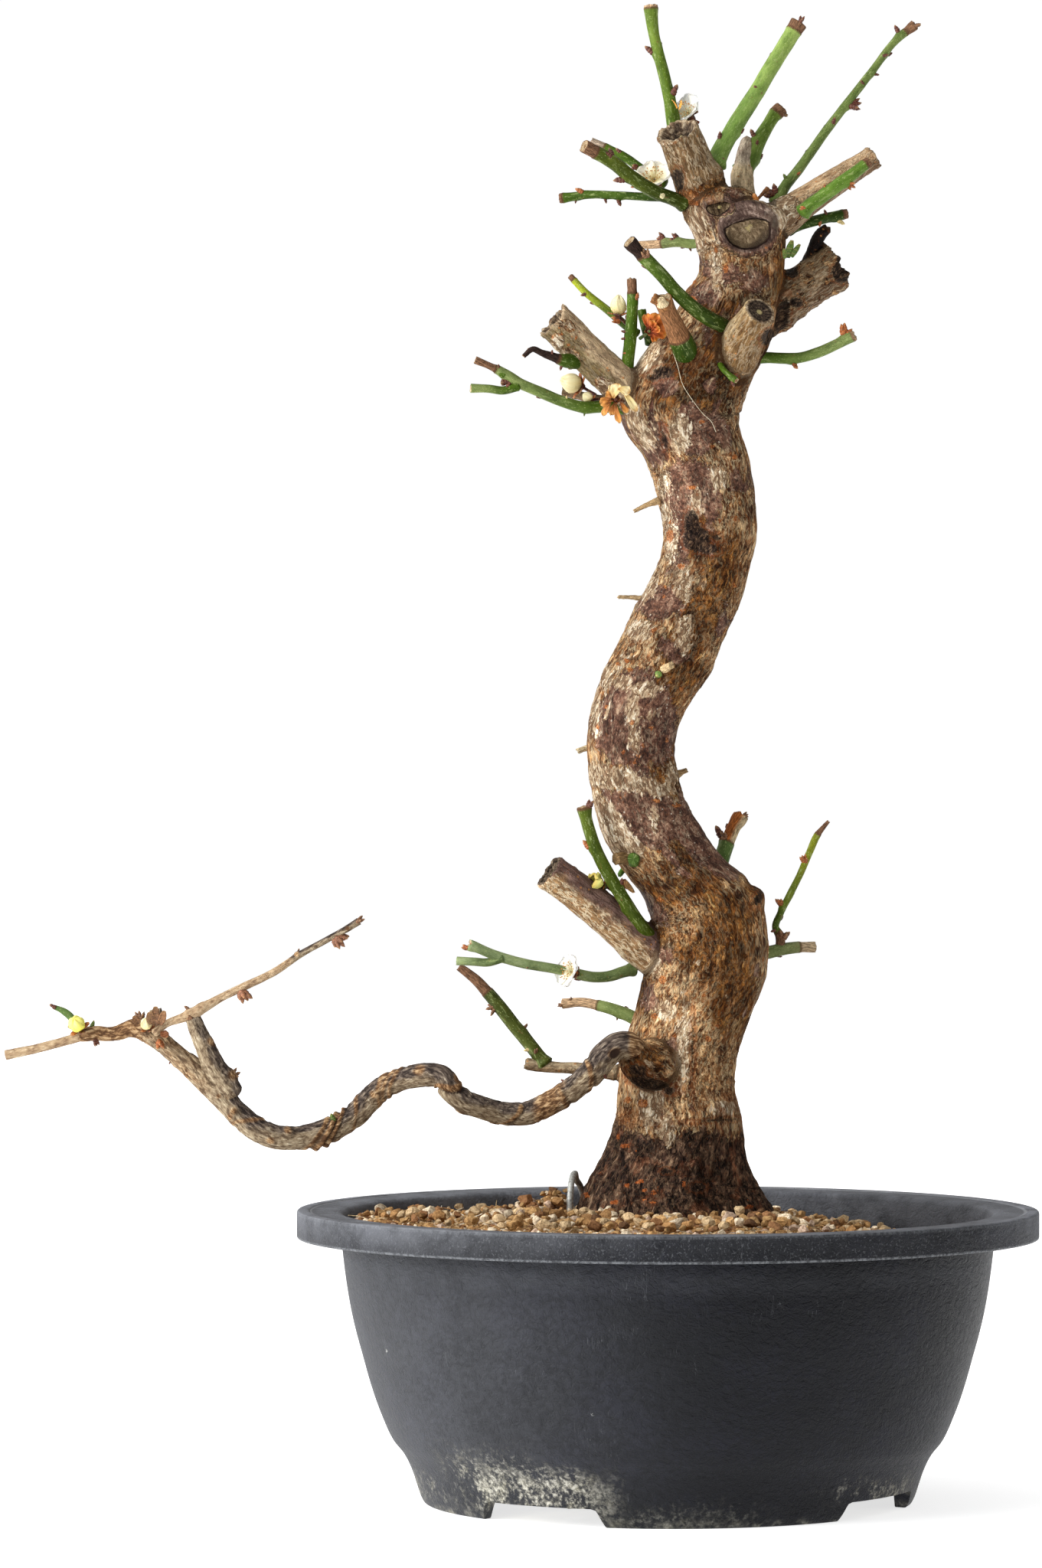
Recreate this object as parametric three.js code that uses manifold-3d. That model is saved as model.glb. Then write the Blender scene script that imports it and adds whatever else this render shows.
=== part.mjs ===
// Japanese apricot (Prunus mume) bonsai in a round plastic training pot.
// Millimetres, +Z up. The origin is on the ground at the middle of the overall box;
// the front, from which the trunk's S-curve shows best, looks towards -Y.

import * as THREE from 'three';
import { mergeVertices } from 'three/addons/utils/BufferGeometryUtils.js';
import Module from 'manifold-3d';

const wasm = await Module();
wasm.setup();

// ---------------------------------------------------------------- driving dimensions

const GAP = 0.35;              // clearance between neighbouring pieces

const POT_X = 59.3;            // the pot's axis, right of the overall middle
const RIM_R = 150;             // 300 mm rim
const RIM_Z = 118;             // height of the pot
const RIM_BAND = 11;           // height of the turned-over rim band
const RIM_BAND_T = 3;          // its thickness
const FLOOR_Z = 7.5;           // underside of the floor, which is also the height of the foot gaps
const FLOOR_T = 3;
const FOOT_R_IN = 93.6;        // inside of the foot ring
const POT_SEGMENTS = 36;

const FOOT_ANGLE = 13;         // first foot, from the front, towards the right (degrees)
const GAP_HALF_TOP = 25.9;     // half width of a foot gap at the floor
const GAP_HALF_BOTTOM = 28.6;  // and at the ground

const DRAIN_R = 16;            // central drain hole
const SIDE_DRAIN_R = 7;        // four outer drain holes
const SIDE_DRAIN_PITCH = 62;   // their distance from the axis
const SCREEN_T = 1.2;

const SOIL_BASE = 10.8;
const WIRE_R = 1.3;            // tie wire, 2.6 mm

// Outer wall of the pot from the foot to the band, then the band, then the inner wall: [radius, z].
const POT_PROFILE = [
  [DRAIN_R, FLOOR_Z], [FOOT_R_IN, FLOOR_Z], [FOOT_R_IN, 0], [98.6, 0], [100.1, 3], [103.2, 12.6],
  [106.9, 20.3], [110.9, 24.7], [117.6, 39.9], [123.3, 59.1], [128.3, 78.7], [131.5, 101],
  [132.9, RIM_Z - 3], [RIM_R - RIM_BAND_T, RIM_Z - 3], [RIM_R - RIM_BAND_T, RIM_Z - RIM_BAND],
  [RIM_R, RIM_Z - RIM_BAND], [RIM_R, RIM_Z - 0.9], [RIM_R - 0.9, RIM_Z],
  [134, RIM_Z], [131.4, RIM_Z - 1.2], [130.2, RIM_Z - 4], [128.4, 101], [125.3, 78.7], [120.3, 59.1],
  [114.6, 40], [107.6, 24.6], [103.4, 18.5], [100, FLOOR_Z + FLOOR_T], [DRAIN_R, FLOOR_Z + FLOOR_T],
];

// Inner wall again, for the soil that lies against it.
const SOIL_WALL = [
  [100, SOIL_BASE], [103.4, 18.5], [107.6, 24.6], [114.6, 40], [120.3, 59.1], [125.3, 78.7], [127.6, 93],
];

// Trunk: horizontal oval rings [z, centre x, centre y, half width, half depth], crown to root mass.
const TRUNK = [
  [532.6, 80.3, -2.0, 7.5, 7.0],
  [530.3, 80.3, -2.0, 12.6, 11.8],
  [526.6, 80.9, -2.0, 15.0, 13.5],
  [522.2, 82.6, -2.0, 17.4, 15.5],
  [517.3, 85.9, -1.0, 18.5, 16.9],
  [511.2, 88.9, 0.0, 18.3, 17.4],
  [503.9, 89.6, 1.0, 17.7, 17.3],
  [496.5, 89.3, 2.0, 17.4, 16.8],
  [489.7, 86.0, 2.0, 19.4, 18.1],
  [482.1, 83.7, 1.0, 20.5, 18.3],
  [474.7, 80.2, 1.0, 22.7, 19.9],
  [466.9, 75.7, 1.0, 24.4, 21.0],
  [459.2, 71.1, 2.0, 25.3, 22.0],
  [451.5, 67.1, 3.0, 25.3, 23.3],
  [444.4, 64.5, 4.0, 25.5, 24.8],
  [437.0, 64.7, 5.0, 24.1, 23.3],
  [422.2, 71.6, 7.0, 21.3, 19.7],
  [407.3, 75.1, 7.0, 19.9, 19.2],
  [392.4, 76.9, 7.0, 19.1, 18.7],
  [377.4, 73.7, 5.0, 18.8, 17.6],
  [362.4, 67.4, 3.0, 21.0, 18.8],
  [347.4, 60.5, -1.0, 21.2, 18.9],
  [332.4, 53.4, -5.0, 21.4, 19.0],
  [317.5, 46.6, -8.0, 18.6, 17.4],
  [302.7, 44.4, -9.0, 17.6, 17.3],
  [287.8, 46.9, -8.0, 18.2, 17.3],
  [273.0, 52.3, -6.0, 20.3, 17.8],
  [258.1, 61.8, -4.0, 22.6, 18.0],
  [243.2, 73.8, -2.0, 23.7, 20.8],
  [228.3, 76.8, -1.0, 23.3, 22.8],
  [213.3, 74.6, 0.0, 24.8, 23.7],
  [198.5, 70.1, 0.0, 24.0, 22.4],
  [183.6, 65.0, 0.0, 23.6, 22.5],
  [168.7, 63.1, 0.0, 23.6, 23.1],
  [153.8, 63.8, 0.0, 25.8, 25.2],
  [138.9, 61.9, 0.0, 29.5, 24.7],
  [131.4, 60.2, 0.0, 32.7, 27.5],
  [124.0, 60.0, 0.0, 36.3, 30.5],
  [116.2, 60.5, 0.0, 39.6, 33.4],
  [108.0, 60.5, 0.0, 39.5, 33.0],
  [98.0, 60.5, 0.0, 38.0, 32.0],
  [88.0, 60.5, 0.0, 32.0, 29.0],
  [79.0, 60.5, 0.0, 20.0, 20.0],
];

// Woody limbs and stubs of the same grown piece: [name, [[x, y, z, radius], ...]].
const WOOD = [
  ["wound_crown", [[91.3, -2.0, 515.1, 10.85], [90.9, -12.0, 514.8, 10.81], [90.8, -17.0, 514.7, 10.17], [90.7, -19.5, 514.4, 8.93]]],
  ["stub_crown_left", [[76.8, 0.0, 522.4, 11.17], [73.6, -3.0, 529.6, 10.23], [69.4, -8.0, 538.4, 9.28], [65.6, -14.0, 547.6, 8.64], [63.0, -18.0, 553.4, 8.47]]],
  ["stub_crown_back", [[94.6, 4.0, 520.0, 6.22], [92.3, 8.0, 528.7, 5.29], [90.2, 11.0, 537.1, 4.67], [90.0, 13.0, 543.5, 4.05], [91.3, 14.0, 548.6, 3.74], [92.2, 14.0, 552.1, 2.81]]],
  ["stub_crown_right", [[96.0, 0.0, 514.9, 9.31], [104.7, -1.0, 518.9, 7.75], [114.6, -2.0, 525.6, 6.51], [127.0, -2.0, 534.0, 5.43], [136.9, -1.0, 540.6, 4.96], [143.2, 0.0, 544.7, 4.65]]],
  ["stub_right_big", [[91.5, 4.0, 476.5, 10.57], [102.5, 7.0, 483.8, 10.27], [112.0, 10.0, 490.3, 9.66], [120.8, 12.0, 496.1, 9.35], [128.4, 14.0, 500.6, 9.05]]],
  ["stub_front_cut", [[83.4, -6.0, 456.8, 8.05], [86.3, -12.0, 463.9, 10.19], [89.7, -20.0, 470.1, 8.62], [93.1, -28.0, 475.9, 7.06], [95.7, -33.0, 479.6, 6.43]]],
  ["stub_left_big", [[59.4, 0.0, 440.5, 9.31], [47.9, -3.0, 450.2, 8.68], [37.0, -6.0, 460.6, 7.74], [26.1, -9.0, 469.9, 7.42], [17.8, -11.0, 476.9, 7.72], [12.8, -12.0, 480.8, 7.72]]],
  ["stub_low_left", [[63.4, -2.0, 216.5, 10.54], [51.9, -5.0, 224.0, 9.6], [40.7, -9.0, 233.4, 8.97], [29.2, -12.0, 242.7, 8.34], [19.0, -15.0, 250.8, 7.87], [11.2, -17.0, 256.4, 7.71]]],
  ["stub_mid_left_small", [[56.4, 4.0, 172.2, 4.35], [46.5, 5.0, 172.8, 4.04], [35.6, 6.0, 173.4, 3.11], [21.6, 7.0, 174.6, 2.49], [10.7, 8.0, 175.4, 2.49], [1.4, 9.0, 176.6, 2.49]]],
  ["stub_hidden_left", [[47.9, 0.0, 440.5, 3.41], [38.6, 1.0, 443.6, 2.79], [27.8, 4.0, 446.9, 2.33], [16.7, 8.0, 450.3, 2.18]]],
  ["stub_dead_black", [[115.8, 12.0, 499.8, 3.12], [118.3, 12.0, 506.0, 2.81], [121.5, 13.0, 513.6, 2.5], [125.3, 14.0, 517.1, 2.03]]],
  ["branch_long", [[61.7, -8.0, 176.5, 11.13], [54.6, -21.0, 178.3, 10.15], [48.9, -28.0, 182.0, 7.36], [43.6, -33.0, 185.3, 5.51], [38.4, -36.0, 185.7, 5.35], [33.8, -36.0, 182.0, 5.51], [29.5, -34.0, 176.1, 5.36], [23.8, -31.0, 170.8, 4.9], [17.3, -28.0, 165.7, 4.91], [9.7, -26.0, 161.3, 4.91], [2.3, -25.0, 158.2, 4.76], [-6.3, -26.0, 158.2, 4.61], [-15.5, -29.0, 160.6, 4.6], [-22.8, -32.0, 163.5, 4.6], [-27.7, -33.0, 167.5, 4.59], [-31.7, -32.0, 173.0, 4.6], [-38.5, -29.0, 173.7, 4.75], [-45.9, -25.0, 172.3, 4.61], [-54.0, -22.0, 169.1, 4.77], [-60.8, -20.0, 163.5, 4.93], [-66.3, -20.0, 157.6, 4.93], [-73.1, -21.0, 153.1, 4.92], [-81.0, -23.0, 149.8, 5.23], [-89.2, -25.0, 148.4, 4.76], [-98.4, -27.0, 148.8, 4.91], [-106.6, -28.0, 152.5, 4.91], [-113.1, -27.0, 157.7, 4.76], [-119.3, -26.0, 164.4, 4.91], [-126.1, -25.0, 170.5, 4.61], [-132.9, -24.0, 176.9, 4.15], [-140.4, -23.0, 183.3, 4.0], [-146.3, -22.0, 188.2, 4.15], [-150.9, -22.0, 191.3, 4.61], [-156.4, -22.0, 191.9, 3.38], [-163.2, -22.0, 190.0, 2.92], [-172.4, -22.0, 190.0, 2.92], [-177.3, -22.0, 189.4, 2.61]]],
  ["branch_tip", [[-174.9, -22.0, 189.4, 2.0], [-183.2, -22.0, 187.0, 1.85], [-194.0, -21.0, 184.1, 1.85], [-207.2, -20.0, 181.3, 2.0]]],
  ["branch_limb", [[-115.3, -27.0, 166.3, 4.3], [-119.8, -28.0, 172.5, 4.6], [-123.5, -29.0, 178.7, 4.45], [-127.1, -29.0, 186.0, 3.83], [-129.6, -29.0, 191.8, 3.53], [-131.4, -29.0, 196.4, 3.22]]],
  ["twig_long", [[-142.0, -27.0, 194.2, 1.53], [-136.3, -29.0, 196.4, 1.84], [-131.4, -30.0, 198.3, 2.45], [-127.1, -30.0, 200.8, 2.15], [-121.3, -30.0, 204.1, 1.69], [-110.5, -31.0, 209.4, 1.62], [-99.1, -32.0, 214.9, 1.53], [-88.0, -33.0, 222.3, 1.35], [-77.3, -34.0, 228.2, 1.29], [-69.0, -35.0, 232.8, 1.38], [-64.7, -35.0, 235.5, 1.53]]],
  ["stub_tip_top", [[-146.6, -22.0, 189.4, 2.77], [-145.9, -23.0, 195.6, 2.46], [-146.8, -23.0, 199.9, 2.46]]],
];

// Main roots, from the root mass out into the soil: [direction in degrees from +X, length].
const ROOTS = [[180, 60], [-118, 66], [-58, 70], [0, 62], [60, 66], [118, 68]];

// Green one-year shoots, base first: [name, [[x, y, z, radius], ...]].
const SHOOTS = [
  ["shoot_top_left", [[62.6, 2.0, 553.9, 2.95], [61.7, 6.0, 560.6, 2.86], [60.5, 8.0, 567.9, 2.55], [58.1, 10.0, 579.1, 2.37], [55.9, 11.0, 587.6, 2.27], [54.1, 12.0, 595.8, 2.24], [53.2, 13.0, 602.8, 2.56], [52.9, 13.0, 607.5, 2.65]]],
  ["shoot_top_thick", [[78.6, -2.0, 541.4, 4.03], [81.1, 0.0, 547.2, 3.72], [84.3, 1.0, 552.9, 3.41], [89.3, 3.0, 561.2, 3.42], [95.0, 5.0, 570.1, 3.3], [101.3, 7.0, 580.9, 3.2], [107.6, 9.0, 591.1, 3.21], [112.9, 10.0, 599.9, 3.43]]],
  ["shoot_crown_back", [[90.3, 13.0, 539.8, 4.05], [93.8, 14.0, 546.1, 3.74], [96.9, 15.0, 552.5, 3.12], [100.7, 17.0, 558.9, 2.66], [103.6, 18.0, 563.4, 2.66], [106.1, 19.0, 566.0, 2.5]]],
  ["shoot_top_right_long", [[103.6, 4.0, 525.9, 2.8], [106.2, 6.0, 531.3, 2.33], [113.5, 9.0, 541.0, 2.06], [124.0, 13.0, 556.0, 1.87], [134.5, 17.0, 569.9, 1.72], [145.0, 20.0, 583.6, 1.56], [152.6, 22.0, 593.6, 1.56], [160.8, 24.0, 600.7, 1.88]]],
  ["shoot_right_front", [[113.4, -14.0, 520.5, 2.93], [115.9, -14.0, 523.0, 2.84], [121.4, -14.0, 527.0, 2.72], [127.6, -13.5, 531.6, 2.65], [133.9, -12.0, 536.4, 2.47], [140.4, -10.5, 541.5, 2.22]]],
  ["shoot_upper_left_thick", [[65.8, -7.0, 524.8, 2.94], [61.7, -10.0, 526.4, 2.84], [55.1, -14.0, 528.5, 2.84], [44.8, -20.0, 534.1, 2.77], [35.5, -26.0, 540.6, 2.83], [25.3, -32.0, 545.5, 2.76]]],
  ["shoot_upper_left_behind", [[58.3, 4.0, 533.9, 2.02], [49.6, 7.0, 539.8, 1.87], [43.4, 9.0, 544.4, 1.87], [36.9, 10.0, 547.9, 1.87], [28.8, 12.0, 551.9, 1.87]]],
  ["shoot_upper_left_thin", [[63.7, 8.0, 528.7, 2.02], [51.6, 12.0, 529.4, 1.71], [39.2, 15.0, 530.3, 1.65], [29.2, 18.0, 530.9, 1.66], [16.1, 22.0, 529.7, 1.88]]],
  ["shoot_front_curved", [[83.8, -14.0, 473.6, 2.93], [80.5, -20.0, 475.0, 3.02], [75.4, -25.0, 477.1, 3.07], [69.8, -29.0, 480.5, 2.94], [62.9, -33.0, 486.3, 2.76], [54.9, -38.0, 494.8, 2.69], [48.1, -42.0, 501.1, 2.75], [43.1, -45.0, 506.1, 2.44]]],
  ["shoot_front_dead_tip", [[67.8, -12.0, 460.8, 4.94], [65.7, -19.0, 465.5, 4.93], [62.5, -25.0, 471.9, 4.61], [59.3, -31.0, 478.2, 3.98], [56.7, -36.0, 483.9, 3.67]]],
  ["shoot_left_yellow", [[47.1, 4.0, 473.0, 1.55], [42.1, 6.0, 476.9, 1.56], [36.3, 9.0, 482.1, 1.49], [31.3, 11.0, 486.3, 1.34], [26.7, 14.0, 490.3, 1.31], [20.2, 18.0, 497.5, 1.25]]],
  ["shoot_left_upright", [[42.6, -5.0, 456.3, 2.79], [43.2, -6.0, 461.2, 2.54], [44.1, -7.0, 469.1, 2.48], [44.7, -8.0, 477.1, 2.35], [45.0, -9.0, 484.5, 2.23], [44.7, -10.0, 494.0, 1.92]]],
  ["shoot_left_short_back", [[52.7, 6.0, 469.4, 2.02], [50.6, 8.0, 475.8, 1.87], [49.0, 9.0, 483.0, 1.71]]],
  ["shoot_left_forked", [[41.7, -3.0, 442.8, 2.63], [33.3, -7.0, 442.8, 2.48], [25.5, -10.0, 442.4, 2.35], [16.5, -13.0, 444.6, 2.25], [7.6, -16.0, 448.2, 2.16], [-0.2, -18.0, 451.4, 2.09], [-5.4, -20.0, 454.7, 2.0], [-10.0, -21.0, 457.1, 1.85]]],
  ["shoot_left_withered", [[33.9, -8.0, 457.3, 3.09], [27.0, -13.0, 459.5, 3.09], [22.0, -16.0, 460.2, 2.47], [16.8, -18.0, 461.0, 1.85], [12.8, -20.0, 461.8, 2.0], [8.2, -22.0, 463.2, 1.69], [4.8, -24.0, 464.6, 1.38], [1.1, -25.0, 462.0, 0.98]]],
  ["shoot_back_grey", [[76.1, 8.0, 510.1, 2.02], [71.2, 11.0, 510.3, 1.87], [62.2, 14.0, 510.9, 1.87], [55.4, 17.0, 510.5, 1.97], [46.1, 20.0, 510.5, 1.56]]],
  ["shoot_right_dark", [[108.6, 4.0, 515.3, 2.33], [113.4, 7.0, 517.4, 2.18], [121.3, 10.0, 519.9, 2.18], [132.8, 14.0, 522.7, 1.87]]],
  ["shoot_right_curved", [[94.6, 2.0, 463.0, 2.48], [99.2, 1.0, 463.2, 2.33], [105.9, -1.0, 462.8, 2.23], [113.0, -3.0, 462.9, 2.17], [120.6, -5.0, 465.0, 2.17], [127.3, -7.0, 467.9, 2.17], [134.6, -9.0, 471.5, 2.1]]],
  ["shoot_front_sprout", [[80.0, -17.0, 459.8, 2.0], [81.7, -22.0, 456.4, 1.85], [84.1, -24.0, 454.1, 1.69], [86.4, -26.0, 452.1, 1.54]]],
  ["shoot_low_upright", [[53.0, -8.0, 227.2, 3.25], [48.6, -13.0, 232.3, 3.09], [45.5, -15.0, 237.2, 2.78], [42.4, -16.0, 242.2, 2.71], [35.9, -18.0, 252.7, 2.62], [30.6, -20.0, 262.9, 2.52], [26.6, -22.0, 274.6, 2.46], [25.1, -23.0, 281.1, 2.61]]],
  ["shoot_low_forked", [[45.1, -4.0, 215.3, 2.48], [40.7, -8.0, 214.2, 2.32], [36.0, -11.0, 212.8, 2.22], [29.2, -14.0, 212.5, 2.16], [21.4, -17.0, 214.2, 2.1], [14.3, -19.0, 215.8, 2.0], [0.5, -23.0, 218.4, 2.0], [-10.0, -26.0, 221.5, 2.0], [-20.4, -29.0, 225.9, 1.99]]],
  ["shoot_low_short", [[51.1, 2.0, 192.2, 2.95], [45.9, 5.0, 195.2, 2.74], [38.8, 8.0, 198.2, 2.49], [31.6, 11.0, 200.2, 2.27], [24.2, 13.0, 201.4, 2.12], [17.0, 15.0, 200.7, 2.03]]],
  ["shoot_low_hook", [[9.8, 8.0, 176.4, 3.11], [6.4, 9.0, 180.7, 2.8], [2.3, 10.0, 185.9, 2.8], [-2.6, 11.0, 191.8, 2.8], [-7.9, 12.0, 198.6, 2.81], [-12.6, 13.0, 204.2, 2.65], [-18.3, 14.0, 210.4, 2.34], [-25.1, 15.0, 215.7, 1.87]]],
  ["shoot_right_back", [[77.7, 8.0, 251.1, 4.36], [81.5, 11.0, 259.8, 3.43], [84.1, 14.0, 266.6, 3.12], [86.6, 16.0, 272.2, 3.12], [89.5, 18.0, 276.9, 2.81]]],
  ["shoot_right_stub", [[94.6, 4.0, 220.7, 2.8], [100.3, 6.0, 221.9, 2.64], [106.3, 8.0, 223.1, 2.49], [112.9, 10.0, 223.9, 2.34], [119.6, 12.0, 223.9, 2.34]]],
  ["shoot_right_thin", [[105.4, 8.0, 223.7, 1.71], [105.1, 8.0, 228.7, 1.87], [103.5, 8.0, 231.8, 1.49], [105.9, 7.0, 238.7, 1.37], [109.3, 6.0, 245.5, 1.43], [113.6, 5.0, 254.2, 1.37], [117.3, 4.0, 263.0, 1.43], [120.4, 3.0, 269.8, 1.4]]],
  ["sprout_branch_tip", [[-178.4, -24.0, 192.0, 1.54], [-181.0, -22.0, 196.8, 1.54], [-184.2, -21.0, 199.2, 1.38], [-187.9, -20.0, 200.7, 1.23]]],
];

// Side arms of the forked shoots.
const FORKS = [
  ["shoot_left_forked", [[-1.2, -19.0, 450.2, 1.9], [-7.5, -20.0, 448.5, 1.7], [-12.5, -21.0, 449.1, 1.7], [-20.1, -22.0, 449.3, 1.7]]],
  ["shoot_left_forked", [[-6.6, -20.4, 454.8, 1.9], [-8.8, -21.0, 456.5, 1.7], [-12.5, -22.0, 458.2, 1.55], [-18.3, -23.0, 460.6, 1.55]]],
  ["shoot_low_forked", [[-7.2, -26.0, 220.6, 1.9], [-13.7, -25.0, 218.7, 1.7], [-18.6, -25.0, 219.0, 1.7], [-25.7, -24.0, 219.3, 1.6]]],
];

// Blossoms and large buds: [name, form, centre, facing, radius].
const BLOSSOMS = [
  ["flower_crown", "open", [66.3, 13.0, 564.1], [0.6, 0.55, 0.25], 8.6],
  ["flower_upper_left", "open", [53.5, -3.0, 536.1], [-0.25, -0.35, 0.9], 7.6],
  ["flower_left_pale", "half", [20.9, -3.0, 452.7], [-0.75, -0.3, 0.35], 5.2],
  ["flower_low_left", "open", [18.9, -26.0, 217.2], [-0.85, -0.45, -0.15], 8.4],
  ["flower_behind_shoot", "half", [31.5, 2.0, 250.2], [-0.5, 0.1, 0.4], 5.4],
  ["flower_withered", "wilt", [38.7, -16.0, 448.8], [0.1, -0.7, -0.6], 6.6],
  ["flower_dried", "wilt", [51.8, -6.0, 476.0], [0.1, -0.3, 0.9], 5.6],
  ["bud_left_upper", "bud", [39.8, -2.0, 483.1], [0.0, -0.15, 1.0], 4.4],
  ["bud_left_small", "bud", [27.4, -6.0, 447.2], [-0.5, -0.5, -0.2], 2.6],
  ["bud_branch_tip", "bud", [-177.8, -28.0, 194.6], [-0.3, -0.8, 0.5], 4.2],
  ["bud_branch_pale", "bud", [-149.8, -29.0, 194.6], [-0.1, -0.9, 0.25], 3.2],
  ["bud_upper_left_small", "bud", [56.9, -17.0, 527.0], [-0.2, -0.9, -0.1], 1.9],
];

// Tie wire: one staple over the left root shoulder, its legs through two drain holes.
const WIRE = [
  [18.8, -64.8, 5.2], [24.6, -55.5, 5.2], [26.1, -53.1, 5.9], [26.4, -52.6, 8.4], [26.4, -52.6, 18],
  [24.6, -42, 46], [21.8, -27, 76], [19.9, -17.5, 100], [19.5, -15.2, 114], [19.8, -14.4, 124],
  [20.3, -13, 129.4], [21.0, -10, 132.2], [21.8, -5.5, 132.8], [22.1, -0.5, 131.6], [22.5, 4.2, 129.6],
  [24.0, 9, 127], [25.2, 14, 123], [26.4, 19, 117], [26.2, 20.8, 108], [23.4, 23, 92], [17.6, 27.4, 68],
  [10.5, 31.4, 40], [6.7, 32.9, 18], [6.7, 32.9, 8.4], [6.2, 33.2, 5.9], [3.8, 34.7, 5.2], [-5.2, 40.3, 5.2],
];

// ---------------------------------------------------------------- helpers

function toSolid(geometry) {
  const g = geometry.clone();
  g.deleteAttribute('normal');
  g.deleteAttribute('uv');
  const merged = mergeVertices(g, 1e-4);
  return new wasm.Manifold(new wasm.Mesh({
    numProp: 3,
    vertProperties: new Float32Array(merged.attributes.position.array),
    triVerts: new Uint32Array(merged.index.array),
  }));
}

function toGeometry(solid) {
  const mesh = solid.getMesh();
  const g = new THREE.BufferGeometry();
  g.setAttribute('position', new THREE.BufferAttribute(new Float32Array(mesh.vertProperties), 3));
  g.setIndex(new THREE.BufferAttribute(new Uint32Array(mesh.triVerts), 1));
  g.computeVertexNormals();
  return g;
}

// Closed skin through rings of equal point count, with a fan at each end.
function loft(rings, endA = null, endB = null) {
  const n = rings[0].length;
  const pos = [];
  const idx = [];
  for (const ring of rings) for (const p of ring) pos.push(p.x, p.y, p.z);
  const mid = (ring) => ring.reduce((s, p) => s.add(p), new THREE.Vector3()).multiplyScalar(1 / n);
  const a = endA || mid(rings[0]);
  const b = endB || mid(rings[rings.length - 1]);
  const ia = pos.length / 3;
  pos.push(a.x, a.y, a.z, b.x, b.y, b.z);
  for (let j = 0; j < n; j++) {
    const k = (j + 1) % n;
    idx.push(ia, k, j);
    for (let i = 0; i + 1 < rings.length; i++) {
      const p = i * n, q = (i + 1) * n;
      idx.push(p + j, p + k, q + k, p + j, q + k, q + j);
    }
    const q = (rings.length - 1) * n;
    idx.push(ia + 1, q + j, q + k);
  }
  const g = new THREE.BufferGeometry();
  g.setAttribute('position', new THREE.Float32BufferAttribute(pos, 3));
  g.setIndex(idx);
  return g;
}

// Solid of round section along points [x, y, z, radius], with frames carried without twist.
function sweep(points, sides, grow = 0) {
  const P = points.map((p) => new THREE.Vector3(p[0], p[1], p[2]));
  const T = P.map((p, i) => P[Math.min(i + 1, P.length - 1)].clone().sub(P[Math.max(i - 1, 0)]).normalize());
  const up = Math.abs(T[0].z) > 0.8 ? new THREE.Vector3(1, 0, 0) : new THREE.Vector3(0, 0, 1);
  let normal = up.sub(T[0].clone().multiplyScalar(up.dot(T[0]))).normalize();
  const rings = [];
  for (let i = 0; i < P.length; i++) {
    normal = normal.clone().sub(T[i].clone().multiplyScalar(normal.dot(T[i]))).normalize();
    const side = T[i].clone().cross(normal);
    const r = points[i][3] + grow;
    const c = P[i].clone();
    if (grow && i === 0) c.addScaledVector(T[i], -grow);
    if (grow && i === P.length - 1) c.addScaledVector(T[i], grow);
    const ring = [];
    for (let j = 0; j < sides; j++) {
      const a = (2 * Math.PI * j) / sides;
      ring.push(c.clone().addScaledVector(normal, r * Math.cos(a)).addScaledVector(side, r * Math.sin(a)));
    }
    rings.push(ring);
  }
  return toSolid(loft(rings));
}

function lathe(profile, closed) {
  const pts = profile.map(([r, z]) => new THREE.Vector2(r, z));
  if (closed) pts.push(pts[0].clone());
  const g = new THREE.LatheGeometry(pts, POT_SEGMENTS);
  g.rotateX(Math.PI / 2);
  g.translate(POT_X, 0, 0);
  return g;
}

const largest = (solid) => solid.decompose().reduce((a, b) => (b.volume() > a.volume() ? b : a));
const union = (list) => list.reduce((a, b) => a.add(b));
const overlaps = (a, b) => {
  const p = a.boundingBox(), q = b.boundingBox();
  return [0, 1, 2].every((i) => p.min[i] <= q.max[i] && q.min[i] <= p.max[i]);
};

const group = new THREE.Group();
const pieces = [];                    // [solid, the same solid grown by the clearance]

function put(name, solid, color, roughness, metalness = 0) {
  const material = new THREE.MeshStandardMaterial({ color, roughness, metalness });
  const mesh = new THREE.Mesh(toGeometry(solid), material);
  mesh.name = name;
  group.add(mesh);
}

// ---------------------------------------------------------------- the grown wood

function trunkSolid(grow) {
  const sides = 16;
  const rings = TRUNK.slice().reverse().map(([z, cx, cy, rx, ry], i, all) => {
    const zz = z + (i === 0 ? -grow : i === all.length - 1 ? grow : 0);
    const ring = [];
    for (let j = 0; j < sides; j++) {
      const a = (2 * Math.PI * (j + 0.5)) / sides;
      ring.push(new THREE.Vector3(cx + (rx + grow) * Math.cos(a), cy + (ry + grow) * Math.sin(a), zz));
    }
    return ring;
  });
  return toSolid(loft(rings));
}

function rootPath([deg, length]) {
  const a = THREE.MathUtils.degToRad(deg);
  const at = (r, z, radius) => [POT_X + 1 + r * Math.cos(a), r * Math.sin(a), z, radius];
  return [at(14, 97, 10), at(34, 93, 8), at(34 + length * 0.3, 83, 6), at(34 + length * 0.55, 68, 4.4), at(34 + length * 0.72, 50, 3)];
}

function woodSolid(grow) {
  const limbs = WOOD.map(([, path]) => sweep(path, path[0][3] > 2.6 ? 8 : 6, grow));
  const roots = ROOTS.map((r) => sweep(rootPath(r), 6, grow));
  return union([trunkSolid(grow), ...limbs, ...roots]);
}

const wood = woodSolid(0);
const woodGrown = woodSolid(GAP);
put('trunk', wood, 0x7d6148, 0.85);
pieces.push([wood, woodGrown]);

// ---------------------------------------------------------------- shoots and blossoms

function clear(solid) {
  let out = solid;
  for (const [, grown] of pieces) if (overlaps(out, grown)) out = out.subtract(grown);
  return largest(out);
}

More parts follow.
